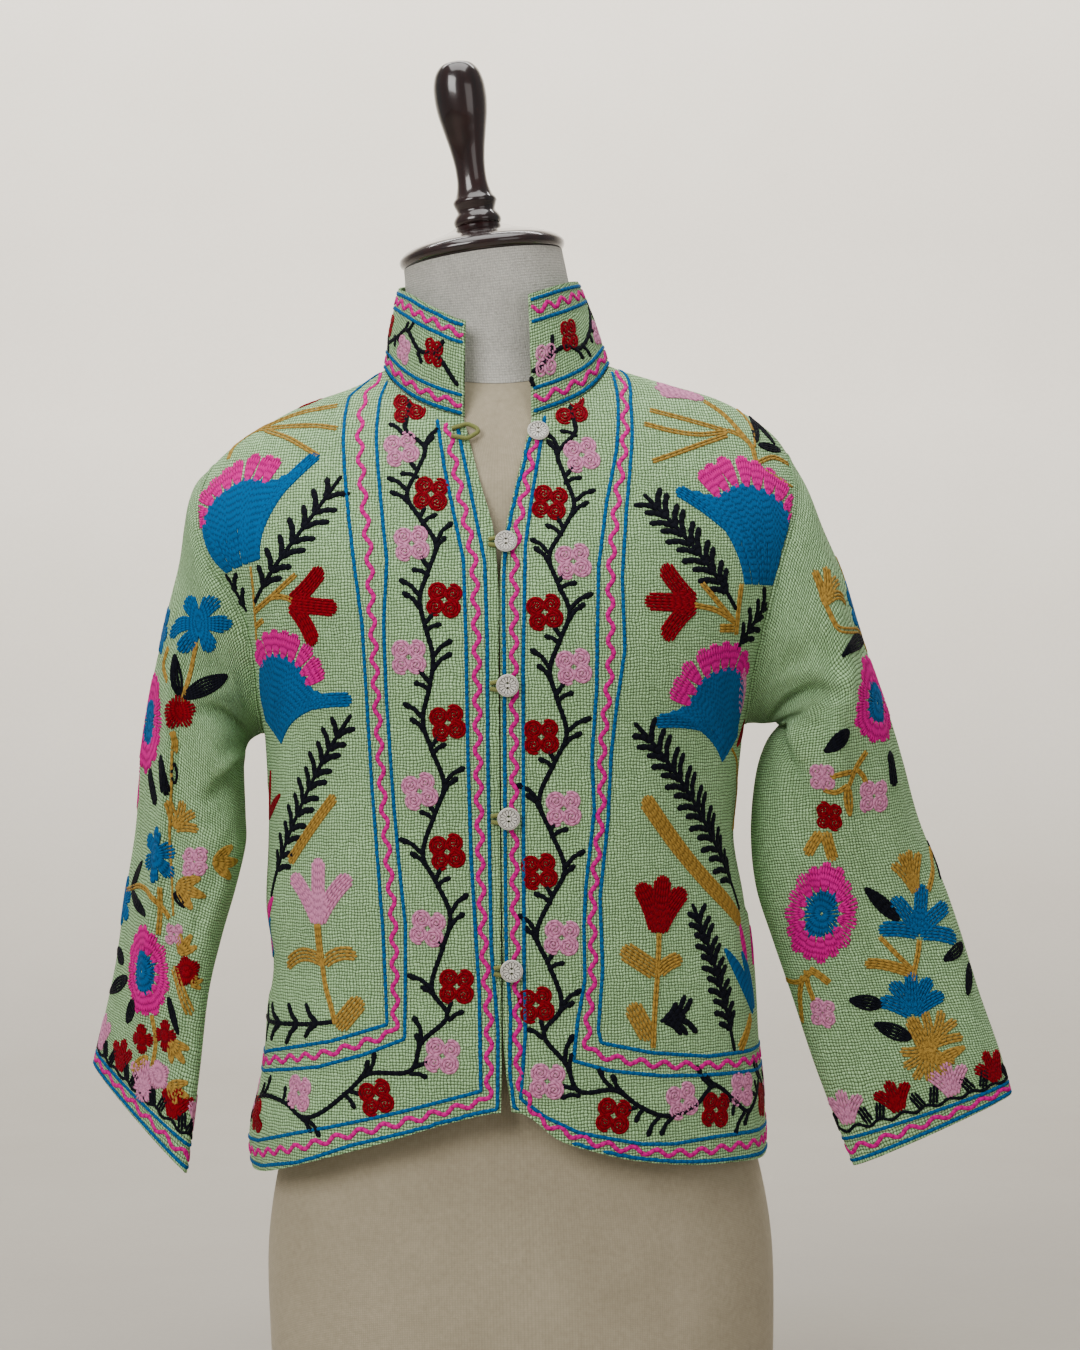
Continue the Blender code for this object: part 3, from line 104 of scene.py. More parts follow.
# Sleeves, ring by ring from the armhole to the cuff: outer x and z, inner x and z, depths before
# and behind the side line, and skew, which sets the outer point back and the inner one forward.
sleeves = {
    "left": {
        "rows": np.array([
            [0.2165, 0.7200, 0.1785, 0.5190, 0.064, 0.070, 0.000],
            [0.2295, 0.6960, 0.1860, 0.5195, 0.066, 0.071, 0.000],
            [0.2410, 0.6650, 0.1930, 0.5190, 0.067, 0.071, 0.000],
            [0.2546, 0.6316, 0.1995, 0.5195, 0.067, 0.069, 0.002],
            [0.2660, 0.5916, 0.2050, 0.5205, 0.066, 0.066, 0.004],
            [0.2785, 0.5540, 0.2060, 0.5195, 0.064, 0.062, 0.005],
            [0.2890, 0.5230, 0.1950, 0.5060, 0.061, 0.058, 0.006],
            [0.2985, 0.4900, 0.1865, 0.4813, 0.056, 0.052, 0.006],
            [0.3090, 0.4490, 0.1820, 0.4394, 0.048, 0.044, 0.006],
            [0.3242, 0.4083, 0.1850, 0.3980, 0.040, 0.036, 0.006],
            [0.3384, 0.3653, 0.1965, 0.3588, 0.034, 0.031, 0.005],
            [0.3526, 0.3163, 0.2110, 0.3143, 0.029, 0.027, 0.004],
            [0.3668, 0.2730, 0.2280, 0.2600, 0.025, 0.024, 0.003],
            [0.3755, 0.2390, 0.2545, 0.1875, 0.020, 0.020, 0.002],
        ]),
        # ring and angle at each end of a fold, rise, half width in degrees; angles are 0 at the
        # inner point, 90 in front, 180 at the outer point, 270 behind
        "folds": [
            (0.6, 150, 7.5, 84, 0.0055, 15), (1.6, 62, 4.6, 112, -0.0050, 13),
            (2.6, 22, 5.6, 66, 0.0045, 14), (6.2, 20, 8.6, 74, -0.0035, 13),
            (7.4, 150, 11.6, 118, -0.0030, 14), (8.2, 52, 12.4, 80, 0.0030, 15),
            (1.4, 214, 7.0, 262, 0.0055, 15), (2.2, 300, 5.4, 250, -0.0050, 13),
            (6.0, 322, 9.0, 276, -0.0040, 14), (8.4, 228, 12.2, 270, 0.0030, 15),
            (2.0, 18, 5.2, 98, -0.0090, 9), (3.4, 10, 6.8, 62, 0.0092, 8), (4.7, 8, 8.2, 78, -0.0070, 8),
            (0.7, 78, 8.8, 97, 0.0085, 8), (6.6, 34, 11.2, 108, 0.0056, 8), (8.8, 104, 13.2, 62, -0.0036, 9),
            (9.6, 150, 13.4, 128, 0.0026, 9), (1.2, 46, 3.9, 84, 0.0034, 6), (5.4, 150, 9.4, 168, -0.0028, 9),
            (2.2, 334, 6.2, 252, -0.0046, 8), (4.1, 344, 8.0, 272, 0.0040, 8),
            (7.0, 302, 12.3, 240, -0.0034, 9),
            (9.4, 262, 13.3, 292, 0.0030, 9),
        ],
    },
    "right": {
        "rows": np.array([
            [0.2160, 0.7200, 0.1800, 0.5190, 0.064, 0.070, 0.000],
            [0.2290, 0.7060, 0.1850, 0.5170, 0.066, 0.071, 0.000],
            [0.2360, 0.6820, 0.1880, 0.5155, 0.067, 0.071, 0.001],
            [0.2417, 0.6492, 0.1915, 0.5126, 0.067, 0.070, 0.003],
            [0.2497, 0.6194, 0.1940, 0.5074, 0.066, 0.068, 0.006],
            [0.2578, 0.5880, 0.1956, 0.4984, 0.065, 0.066, 0.010],
            [0.2643, 0.5580, 0.1951, 0.4797, 0.063, 0.063, 0.014],
            [0.2709, 0.5240, 0.1940, 0.4571, 0.060, 0.059, 0.019],
            [0.2775, 0.4860, 0.1936, 0.4369, 0.056, 0.054, 0.024],
            [0.2828, 0.4437, 0.2009, 0.4055, 0.050, 0.048, 0.028],
            [0.2919, 0.3951, 0.2121, 0.3674, 0.043, 0.041, 0.032],
            [0.2995, 0.3487, 0.2218, 0.3270, 0.036, 0.034, 0.035],
            [0.3095, 0.3060, 0.2290, 0.2700, 0.028, 0.027, 0.037],
            [0.3190, 0.2690, 0.2395, 0.1962, 0.020, 0.020, 0.038],
        ]),
        "folds": [
            (0.8, 140, 11.8, 112, 0.0050, 15), (1.8, 60, 4.8, 100, -0.0045, 13),
            (3.0, 24, 6.4, 70, 0.0045, 14), (5.6, 22, 8.2, 66, -0.0040, 13),
            (7.6, 158, 11.0, 146, -0.0030, 13), (8.6, 40, 12.0, 66, 0.0030, 15),
            (1.2, 218, 7.4, 258, 0.0055, 15), (2.4, 304, 5.6, 252, -0.0050, 13),
            (6.4, 318, 9.4, 280, -0.0040, 14), (8.8, 232, 12.4, 268, 0.0030, 15),
            (2.6, 120, 12.8, 98, 0.0085, 7), (2.2, 16, 5.4, 88, -0.0095, 9), (3.6, 8, 6.4, 56, 0.0095, 8),
            (4.8, 6, 7.6, 74, -0.0072, 8), (1.3, 44, 4.2, 78, 0.0036, 6), (7.4, 30, 11.6, 74, -0.0032, 9),
            (8.2, 74, 12.9, 52, 0.0032, 9), (5.2, 160, 10.2, 148, 0.0030, 9),
            (2.4, 330, 6.4, 254, -0.0046, 8), (4.4, 346, 8.4, 276, 0.0040, 8),
            (7.3, 304, 12.0, 244, -0.0034, 9),
            (9.2, 256, 13.2, 286, 0.0030, 9),
        ],
    },
}

collar = {
    "centre": (-0.0068, 0.001),
    "halfWidth": 0.0680,
    "front": 0.0770,
    "back": 0.0690,
    "crown": 0.0012,
    "ends": (-14.0, 27.0),  # turn of the right and left end at the top
    # turn, height of the upper edge
    "top": np.array([
        [-180, 0.862], [-130, 0.858], [-90, 0.8505], [-60, 0.8420], [-36, 0.8290], [-12, 0.8175],
        [12, 0.8300], [36, 0.8400], [60, 0.8480], [90, 0.8535], [130, 0.859], [180, 0.862],
    ]),
    "wall": 0.0021,
    "tall": 66.0,  # millimetres on its chart
}


# Cubic curve through the values at their places, flat beyond its ends.
def smooth(where, places, values):
    where = np.asarray(where, float)
    slopes = np.gradient(values, places, axis=0)
    index = np.clip(np.searchsorted(places, where) - 1, 0, len(places) - 2)
    step = places[index + 1] - places[index]
    t = np.clip((where - places[index]) / step, 0, 1)
    low, high = values[index], values[index + 1]
    start, end = slopes[index] * step, slopes[index + 1] * step
    return (low * (1 + 2 * t) * (1 - t) ** 2 + high * t**2 * (3 - 2 * t)
            + start * t * (1 - t) ** 2 - end * t**2 * (1 - t))


def runOf(line):  # length along a line from its start to each of its points
    return np.append(0, np.cumsum(np.linalg.norm(np.diff(line, axis=0), axis=-1)))


def readLine(where, places, line):  # points of a line at places along it
    return np.stack([np.interp(where, places, column) for column in line.T], -1)


def fade(share):  # 0 at both ends of a fold, 1 along its middle
    return np.sin(np.pi * np.clip(share, 0, 1)) ** 0.7


def signedPower(value, power):
    return np.sign(value) * np.abs(value) ** power


def unit(vectors):
    return vectors / np.maximum(np.linalg.norm(vectors, axis=-1, keepdims=True), 1e-12)


# How far the armhole lies from the side line, from the armpit (0) to the shoulder tip (1): a half
# circle below, a flatter curve above.
def armholeAway(share, deepest):
    angle = np.arccos(np.clip(1 - 2 * share, -1, 1))
    return deepest * np.where(angle < np.pi / 2, np.sin(angle), np.sin(angle) ** 1.3)


# Half width of a section: read from its row, or above the armpit solved so that the curve
# |x/w|^n + |y/d|^n = 1 passes through the armhole seam.
def halfWidth(height, side, face):
    rows, holes = jacket["rows"], jacket["armhole"]
    sideColumn = 1 if side == "right" else 2
    armpit, tip = holes[0, 0], holes[-1, 0]
    known = rows[rows[:, sideColumn] > 0]
    plain = smooth(height, known[:, 0], known[:, sideColumn])
    deep = smooth(height, rows[:, 0], rows[:, 3 if face == "front" else 4])
    square = smooth(height, rows[:, 0], rows[:, 5])
    share = np.clip((height - armpit) / (tip - armpit), 0, 1)
    cut = np.clip(armholeAway(share, jacket["armholeDepth"][face]) / deep, 0, 0.95)
    seam = smooth(height, holes[:, 0], holes[:, sideColumn])
    solved = seam / (1 - cut**square) ** (1 / square)
    return np.where((height > armpit) & (height < tip), solved, plain)


# Sum of soft ridges: each is a bell across the turn and fades at its ends.
def foldRise(turn, height, folds):
    total = np.zeros(np.broadcast(turn, height).shape)
    for turnHigh, high, turnLow, low, rise, spread in folds:
        share = (high - height) / (high - low)
        away = (turn - turnHigh - (turnLow - turnHigh) * share + 180) % 360 - 180
        strength = np.where(share > 1, 0, fade(np.minimum(share, 0.6)))
        total = total + rise * strength * np.exp(-((away / spread) ** 2))
    return total


# Point on a level section: x = w sin^(2/n), y = -d cos^(2/n) of the turn from centre front.
def section(turn, height):
    turn, height = np.broadcast_arrays(np.asarray(turn, float), np.asarray(height, float))
    angle = np.radians(turn)
    rows = jacket["rows"]
    square = smooth(height, rows[:, 0], rows[:, 5])
    toRight, before = np.sin(angle) < 0, np.cos(angle) > 0
    frontWide = np.where(toRight, halfWidth(height, "right", "front"), halfWidth(height, "left", "front"))
    backWide = np.where(toRight, halfWidth(height, "right", "back"), halfWidth(height, "left", "back"))
    deep = np.where(before, smooth(height, rows[:, 0], rows[:, 3]), smooth(height, rows[:, 0], rows[:, 4]))
    x = np.where(before, frontWide, backWide) * signedPower(np.sin(angle), 2 / square)
    return np.stack([x, -deep * signedPower(np.cos(angle), 2 / square), height], -1)


def sectionNormal(turn, height):
    across = section(turn + 2.0, height) - section(turn - 2.0, height)
    up = section(turn, height + 0.003) - section(turn, height - 0.003)
    return unit(np.cross(across, up))


# Point on the jacket: the section, moved along its normal by the folds.
def onJacket(turn, height):
    turn, height = np.broadcast_arrays(np.asarray(turn, float), np.asarray(height, float))
    rise = foldRise(turn, height, jacket["folds"])[..., None]
    return section(turn, height) + rise * sectionNormal(turn, height)


# Turn at which the front of the section lies x from the middle.
def turnAt(x, height, side):
    rows = jacket["rows"]
    square = smooth(height, rows[:, 0], rows[:, 5])
    share = np.clip(np.abs(x) / halfWidth(height, side, "front"), 0, 1)
    return np.sign(x) * np.degrees(np.arcsin(share ** (square / 2)))


def armholeTurn(share, side, face):
    rows, holes = jacket["rows"], jacket["armhole"]
    height = holes[0, 0] + (holes[-1, 0] - holes[0, 0]) * share
    square = smooth(height, rows[:, 0], rows[:, 5])
    deep = smooth(height, rows[:, 0], rows[:, 3 if face == "front" else 4])
    cut = armholeAway(share, jacket["armholeDepth"][face]) / deep
    fromSide = 90 - np.degrees(np.arccos(cut ** (square / 2)))
    turn = 90 - fromSide if face == "front" else 90 + fromSide
    return (turn if side == "left" else -turn), height


# Turns and heights up the side seam, which opens into a vent below, and then up the armhole.
def sideEdge(side, face, seamSteps, holeSteps):
    sign = 1 if side == "left" else -1
    low = smooth(sign * 90, jacket["hem"][:, 0], jacket["hem"][:, 1])
    heights = np.linspace(low, jacket["armhole"][0, 0], seamSteps + 1)
    vent = np.clip((jacket["ventTop"] - heights) / (jacket["ventTop"] - low), 0, 1)
    apart = 1.6 * vent**0.8
    turns = sign * (90 - apart if face == "front" else 90 + apart)
    shares = (1 - np.cos(np.linspace(0, np.pi, holeSteps + 1)[1:])) / 2
    holeTurns, holeHeights = armholeTurn(shares, side, face)
    return np.stack([np.append(turns, holeTurns), np.append(heights, holeHeights)], -1)


# Grid between four edges: straight rows between the sides, bent near the ends to meet the other two.
def spanEdges(first, last, bottom, top, fadePower=4):
    u = np.linspace(0, 1, len(bottom))[None, :, None]
    v = np.linspace(0, 1, len(first))[:, None, None]
    sides = (1 - u) * first[:, None] + u * last[:, None]
    sag = bottom[None] - (1 - u) * bottom[0] - u * bottom[-1]
    crown = top[None] - (1 - u) * top[0] - u * top[-1]
    return sides + (1 - v) ** fadePower * sag + v**fadePower * crown


# Turns and heights up the front edge, round its corner and along the neckline.
def innerEdge(side, count):
    edge, neck = jacket["edge"], jacket["neck"]
    share = np.linspace(0, 1, count)
    share[np.argmin(np.abs(share - edge[-1, 0]))] = edge[-1, 0]
    column, sign = (2, -1) if side == "right" else (3, 1)
    low = share <= edge[-1, 0]
    heights = np.where(low, smooth(share, edge[:, 0], edge[:, 1]), smooth(share, neck[:, 0], neck[:, 1]))
    reach = np.where(low, smooth(share, edge[:, 0], edge[:, column]),
                     sign * smooth(share, neck[:, 0], neck[:, column]))
    return np.stack([turnAt(reach, heights, side), heights], -1)


def hemHeight(turn):
    wrapped = (turn + 180) % 360 - 180
    return smooth(wrapped, jacket["hem"][:, 0], jacket["hem"][:, 1])


# Grid of (turn, height) over one front, columns from the front edge to the side.
def frontGrid(side, seamSteps, holeSteps, columns):
    outer = sideEdge(side, "front", seamSteps, holeSteps)
    inner = innerEdge(side, len(outer))
    spread = np.linspace(0, 1, columns)
    bottomTurn = inner[0, 0] + (outer[0, 0] - inner[0, 0]) * spread
    bottom = np.stack([bottomTurn, hemHeight(bottomTurn)], -1)
    inner[0], outer[0] = bottom[0], bottom[-1]
    topHeight = inner[-1, 1] + (outer[-1, 1] - inner[-1, 1]) * spread**1.25
    top = np.stack([np.full(columns, outer[-1, 0]), topHeight], -1)
    return spanEdges(inner, outer, bottom, top)


# Turns and heights round the back of the neck, left to right.
def backNeckline(steps):
    turns = np.linspace(90, 270, steps + 1)
    sideNeck = jacket["neck"][-1, 1]
    lift = np.clip(np.sin(np.radians(turns - 90)), 0, 1) ** 0.8
    return np.stack([turns, sideNeck + (jacket["backNeck"] - sideNeck) * lift], -1)


# Grid of (turn, height) over the back, columns from the left side to the right.
def backGrid(seamSteps, holeSteps, shoulderSteps, neckSteps):
    first = sideEdge("left", "back", seamSteps, holeSteps)
    last = sideEdge("right", "back", seamSteps, holeSteps)
    last[:, 0] += 360
    neck = backNeckline(neckSteps)
    columns = len(neck) + 2 * shoulderSteps
    bottomTurn = np.linspace(first[0, 0], last[0, 0], columns)
    bottom = np.stack([bottomTurn, hemHeight(bottomTurn)], -1)
    first[0], last[0] = bottom[0], bottom[-1]
    share = np.linspace(0, 1, shoulderSteps + 1)[:-1]
    slope = first[-1, 1] + (neck[0, 1] - first[-1, 1]) * (1 - (1 - share) ** 1.25)
    leftSeam = np.stack([np.full(shoulderSteps, first[-1, 0]), slope], -1)
    rightSeam = np.stack([np.full(shoulderSteps, last[-1, 0]), slope], -1)
    return spanEdges(first, last, bottom, np.concatenate([leftSeam, neck, rightSeam[::-1]]))


# Point of a sleeve at a ring and an angle: across, the share (1 - cos) / 2 runs from the inner to
# the outer point; in depth, a power of the sine; then the folds, away from the ring's middle.
def sleevePoint(side, rings, angles, folds=None):
    rings, angles = np.broadcast_arrays(np.asarray(rings, float), np.asarray(angles, float))
    rows = sleeves[side]["rows"]
    outerX, outerZ, innerX, innerZ, front, back, skew = (
        smooth(rings, np.arange(len(rows), dtype=float), rows[:, k]) for k in range(7))
    angle = np.radians(angles)
    share = (1 - np.cos(angle)) / 2
    before = np.sin(angle) > 0
    sine = np.abs(np.sin(angle))
    settle = np.clip(rings / 4, 0, 1)
    depth = np.where(before, front, back) * (
        np.where(share > 0.5, sine**1.3, sine) * (1 - settle) + sine**0.85 * settle)
    x = innerX + (outerX - innerX) * share
    z = innerZ + (outerZ - innerZ) * share
    first = rows[0]
    seamZ = first[3] + (first[1] - first[3]) * share
    straight = first[2] + (first[0] - first[2]) * share
    holes = jacket["armhole"]
    bulge = smooth(seamZ, holes[:, 0], holes[:, 1 if side == "right" else 2]) - straight
    x = x + bulge * np.clip(1 - rings / 3.5, 0, 1) ** 1.5
    y = np.where(before, -depth, depth) + skew * (2 * share - 1)
    sign = 1 if side == "left" else -1
    rise = np.zeros(x.shape)
    for ringFrom, angleFrom, ringTo, angleTo, height, spread in folds or sleeves[side]["folds"]:
        along = (rings - ringFrom) / (ringTo - ringFrom)
        away = (angles - angleFrom - (angleTo - angleFrom) * along + 180) % 360 - 180
        rise = rise + height * fade(along) * np.exp(-((away / spread) ** 2))
    points = np.stack([sign * x, y, z], -1)
    middle = np.stack([sign * (innerX + outerX) / 2, np.zeros_like(x), (innerZ + outerZ) / 2], -1)
    return points + rise[..., None] * unit(points - middle)


# Turns and heights of the collar's seam: right front, back, left front.
def neckline(count, steps):
    cut = jacket["edge"][-1, 0]
    share = np.linspace(cut, 1, count)
    neck = jacket["neck"]
    heights = smooth(share, neck[:, 0], neck[:, 1])
    right = np.stack([turnAt(-smooth(share, neck[:, 0], neck[:, 2]), heights, "right"), heights], -1)
    left = np.stack([turnAt(smooth(share, neck[:, 0], neck[:, 3]), heights, "left"), heights], -1)
    behind = backNeckline(steps)[::-1][1:-1]
    line = np.concatenate([right, behind, left[::-1]])
    return (line[:, 0] + 180) % 360 - 180, line[:, 1]


# Grid of the collar's outer points: straight from its seam to its upper edge, plus a slight crown.
def collarGrid(count, steps, rows):
    turns, heights = neckline(count, steps)
    base = onJacket(turns, heights)
    plan = np.degrees(np.arctan2(base[:, 0], -base[:, 1]))
    along = np.where(plan < plan[0] + 0.01, plan, plan - 360)
    share = (along[0] - along) / (along[0] - along[-1])
    turn = (collar["ends"][0] + (collar["ends"][1] - 360 - collar["ends"][0]) * share + 180) % 360 - 180
    angle = np.radians(turn)
    deep = np.where(np.cos(angle) > 0, collar["front"], collar["back"])
    top = np.stack([
        collar["centre"][0] + collar["halfWidth"] * np.sin(angle),
        collar["centre"][1] - deep * np.cos(angle),
        smooth(turn, collar["top"][:, 0], collar["top"][:, 1])], -1)
    up = np.linspace(0, 1, rows)[:, None, None]
    points = base[None] * (1 - up) + top[None] * up
    outward = points - np.array([collar["centre"][0], collar["centre"][1], 0.0])
    outward[..., 2] = 0
    return points + collar["crown"] * np.sin(np.pi * up) * unit(outward)


# Values of a table between its rows and columns.
def between(table, row, column):
    row = np.clip(row, 0, table.shape[0] - 1.000001)
    column = np.clip(column, 0, table.shape[1] - 1.000001)
    i, j = row.astype(int), column.astype(int)
    s, t = row - i, column - j
    if table.ndim == 3:
        s, t = s[..., None], t[..., None]
    return (table[i, j] * (1 - s) * (1 - t) + table[i + 1, j] * s * (1 - t)
            + table[i, j + 1] * (1 - s) * t + table[i + 1, j + 1] * s * t)


# A chart lays a piece of cloth out flat in millimetres: across is the length round the body or
# the arm, up is the height or the length from the cuff. Its table holds the points in space.
def makeChart(grid, alongRows, firstUp, stepAcross=2.0):
    reach = chartGrid["reach"]
    across = np.arange(-reach, reach + 0.1, stepAcross)
    points = np.stack([readLine(across, lengths, row) for row, lengths in zip(grid, alongRows)])
    normals = unit(np.cross(np.gradient(points, axis=1), np.gradient(points, axis=0)))
    return {"points": points, "normals": normals, "first": (firstUp, -reach),
            "step": (chartGrid["rowStep"], stepAcross)}


def onChart(chart, across, up):  # points and normals at chart coordinates
    row = (up - chart["first"][0]) / chart["step"][0]
    column = (across - chart["first"][1]) / chart["step"][1]
    return between(chart["points"], row, column), unit(between(chart["normals"], row, column))


# How finely the charts are laid out: millimetres, degrees and columns of their grids.
chartGrid = {
    "rowStep": 3.0,
    "reach": 330.0,
    "heights": (180.0, 812.0),
    "turns": np.linspace(-100, 100, 401),
    "middle": 200,  # the body's column of turn 0
    "rings": 521,
    "angles": np.linspace(-180, 360, 721),
    "frontLine": 360,  # a sleeve's column of 90 degrees
    "innerLine": (240, 720),  # its columns of 0 and 360 degrees
    "collar": (24, 60, 21),
}


# Lengths along the rows of a grid in millimetres, counted from one of its columns.
def lengthsFrom(grid, column):
    steps = np.linalg.norm(np.diff(grid, axis=1), axis=-1) * 1000
    lengths = np.concatenate([np.zeros((len(grid), 1)), np.cumsum(steps, axis=1)], axis=1)
    return lengths - lengths[:, column:column + 1]


# Chart of the fronts (turn 0 in its middle) or of the back (turn 180, across to the wearer's right).
def bodyChart(face):
    heights = np.arange(*chartGrid["heights"], chartGrid["rowStep"])
    turns = chartGrid["turns"] + (0 if face == "front" else 180)
    grid = onJacket((turns[None] + 180) % 360 - 180, heights[:, None] / 1000)
    lengths = lengthsFrom(grid, chartGrid["middle"])
    chart = makeChart(grid, lengths, heights[0])
    chart["lengths"], chart["turns"] = lengths, (turns[0], turns[1] - turns[0])
    return chart


def bodyAcross(chart, turn, height):  # chart coordinates of a turn and a height in metres
    row = (height * 1000 - chart["first"][0]) / chart["step"][0]
    column = (turn - chart["turns"][0]) / chart["turns"][1]
    return between(chart["lengths"], row, column), height * 1000


# Chart of a sleeve: across from its front line towards the outside, up from the cuff.
def sleeveChart(side):
    rings = np.linspace(0, len(sleeves[side]["rows"]) - 1, chartGrid["rings"])
    line = sleevePoint(side, rings, 90.0)
    run = runOf(line) * 1000
    fromCuff = run[-1] - run
    up = np.arange(0.0, fromCuff[0], chartGrid["rowStep"])
    ringAt = np.interp(up, fromCuff[::-1], rings[::-1])
    grid = sleevePoint(side, ringAt[:, None], chartGrid["angles"][None])
    lengths = lengthsFrom(grid, chartGrid["frontLine"])
    chart = makeChart(grid, lengths, 0.0)
    chart["lengths"], chart["rings"], chart["fromCuff"] = lengths, rings, fromCuff
    if side == "right":
        chart["normals"] = -chart["normals"]
    return chart


# Chart of the collar: across from its right end round to its left end, up from its seam.
def collarChart():
    grid = collarGrid(*chartGrid["collar"])
    run = runOf(grid[len(grid) // 2]) * 1000
    across = np.linspace(0, run[-1], int(run[-1] / 2))
    points = np.stack([readLine(across, run, row) for row in grid])
    normals = unit(np.cross(np.gradient(points, axis=1), np.gradient(points, axis=0)))
    outward = points - np.array([collar["centre"][0], collar["centre"][1], 0.8])
    if np.sum(normals * outward) < 0:
        normals = -normals
    return {"points": points, "normals": normals, "first": (0.0, 0.0),
            "step": (collar["tall"] / (len(grid) - 1), across[1])}


def showPiece(name, mesh):  # puts a mesh into the scene as a piece that rides on the part
    piece = bpy.data.objects.new(name, mesh)
    bpy.context.scene.collection.objects.link(piece)
    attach(piece, "root")
    return piece


def standIn(piece, node):  # hides the CAD solid that a piece replaces
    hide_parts(node)
    return piece


def newMesh(name, points, faces):
    mesh = bpy.data.meshes.new(name)
    mesh.from_pydata(points.reshape(-1, 3).tolist(), [], faces)
    return mesh


def cornersOf(mesh):  # the point at each corner of its faces
    corners = np.empty(len(mesh.loops), np.int32)
    mesh.loops.foreach_get("vertex_index", corners)
    return corners


def roundTurns(sides):  # angles of even steps round a circle
    return np.linspace(0, 2 * np.pi, sides + 1)[:-1]


def endFaces(rows, columns):  # the two faces that close a stack of rings
    return [list(range(columns))[::-1], [(rows - 1) * columns + k for k in range(columns)]]


def giveUv(mesh, uv, name="Cloth"):
    layer = mesh.uv_layers.new(name=name)
    layer.data.foreach_set("uv", np.asarray(uv, np.float32).ravel())


# Quads of a grid whose points are numbered row by row.
def gridQuads(rows, columns, wrap=False, start=0):
    row, col = np.meshgrid(np.arange(rows - 1), np.arange(columns if wrap else columns - 1), indexing="ij")
    a, b = start + row * columns + col, start + row * columns + (col + 1) % columns
    return np.stack([a, b, b + columns, a + columns], -1).reshape(-1, 4)


def gridNormals(points, wrap=False):  # across the rows and columns at each point
    if wrap:
        around = np.roll(points, -1, 1) - np.roll(points, 1, 1)
    else:
        around = np.gradient(points, axis=1)
    return unit(np.cross(around, np.gradient(points, axis=0)))


# Closed sheet of cloth: the outer grid, the same grid moved in by the wall, and the edges between
# them. uv has one more column than the points where the sheet wraps round.
def clothSheet(name, points, normals, wall, uv, wrap=False):
    rows, columns = points.shape[:2]
    count = rows * columns
    outer = gridQuads(rows, columns, wrap)
    uvColumns = uv.shape[1]
    corner = gridQuads(rows, uvColumns)
    number = np.arange(count).reshape(rows, columns)
    spot = np.arange(rows * uvColumns).reshape(rows, uvColumns)
    faces, corners = [outer, outer[:, ::-1] + count], [corner, corner[:, ::-1]]

    def rim(chain, place):
        faces.append(np.stack([chain[:-1], chain[:-1] + count, chain[1:] + count, chain[1:]], -1))
        corners.append(np.stack([place[:-1], place[:-1], place[1:], place[1:]], -1))

    low, high = number[0], number[-1]
    if wrap:
        low, high = np.append(low, low[0]), np.append(high, high[0])
    rim(low, spot[0])
    rim(high[::-1], spot[-1, ::-1])
    if not wrap:
        rim(number[::-1, 0], spot[::-1, 0])
        rim(number[:, -1], spot[:, -1])
    faces, corners = np.concatenate(faces), np.concatenate(corners)
    mesh = newMesh(name, np.concatenate([points, points - wall * normals]), faces.tolist())
    giveUv(mesh, uv.reshape(-1, 2)[corners.reshape(-1)])
    mesh.shade_smooth()
    mesh.set_sharp_from_angle(angle=math.radians(60))
    return showPiece(name, mesh)


# Moves one edge of a grid in along its surface and lets the cloth beside it sink into the seam.
def sewEdge(points, normals, axis, end, back=None, depth=0.0003, width=0.0035):
    grid, out = np.moveaxis(points, axis, 0), np.moveaxis(normals, axis, 0)
    if end != 0:
        grid, out = grid[::-1], out[::-1]
    way = unit(grid[1] - grid[0])
    away = np.concatenate([np.zeros((1,) + grid.shape[1:-1]),
                           np.cumsum(np.linalg.norm(np.diff(grid, axis=0), axis=-1), axis=0)])
    grid -= depth * np.exp(-(away / width) ** 2)[..., None] * out
    grid[0] += way * (jacket["seamHalf"] if back is None else back)


def outlineOf(uv):  # closed outline of a sheet on its chart
    return np.concatenate([uv[0], uv[1:, -1], uv[-1, -2::-1], uv[-2:0:-1, 0]])


# Steps of the cloth's grids: along the side seam and the armhole, across a front, over a shoulder
# and round the neck, and a sleeve's rings and sides.
clothGrid = {
    "seam": 56, "hole": 56, "front": 64, "shoulder": 26, "neck": 60, "rings": 131, "sides": 96,
    "frontLine": 24,  # a sleeve's column of 90 degrees
}
charts = {
    "front": bodyChart("front"), "back": bodyChart("back"),
    "left": sleeveChart("left"), "right": sleeveChart("right"), "collar": collarChart(),
}
print("charts laid out")


# A front or the back: its grid laid on the jacket, with its edges (axis, end) sewn in.
def bodyPiece(name, face, grid, turns, edges):
    points = onJacket(turns, grid[..., 1])
    normals = gridNormals(points)
    uv = np.stack(bodyAcross(charts[face], grid[..., 0], grid[..., 1]), -1)
    points -= jacket["inset"] * normals
    for axis, end in edges:
        sewEdge(points, normals, axis, end)
    piece = clothSheet("cloth_" + name, points, normals, jacket["wall"], uv)
    return standIn(piece, name), outlineOf(uv)


def buildFront(side):
    grid = frontGrid(side, clothGrid["seam"], clothGrid["hole"], clothGrid["front"])
    if side == "right":
        grid = grid[:, ::-1]
    edges = [(1, -1 if side == "left" else 0), (0, -1)]
    return bodyPiece("front_" + side, "front", grid, grid[..., 0], edges)


def buildBack():
    grid = backGrid(clothGrid["seam"], clothGrid["hole"], clothGrid["shoulder"], clothGrid["neck"])
    turns = (grid[..., 0] + 180) % 360 - 180
    return bodyPiece("back", "back", grid, turns, [(1, 0), (1, -1), (0, -1)])


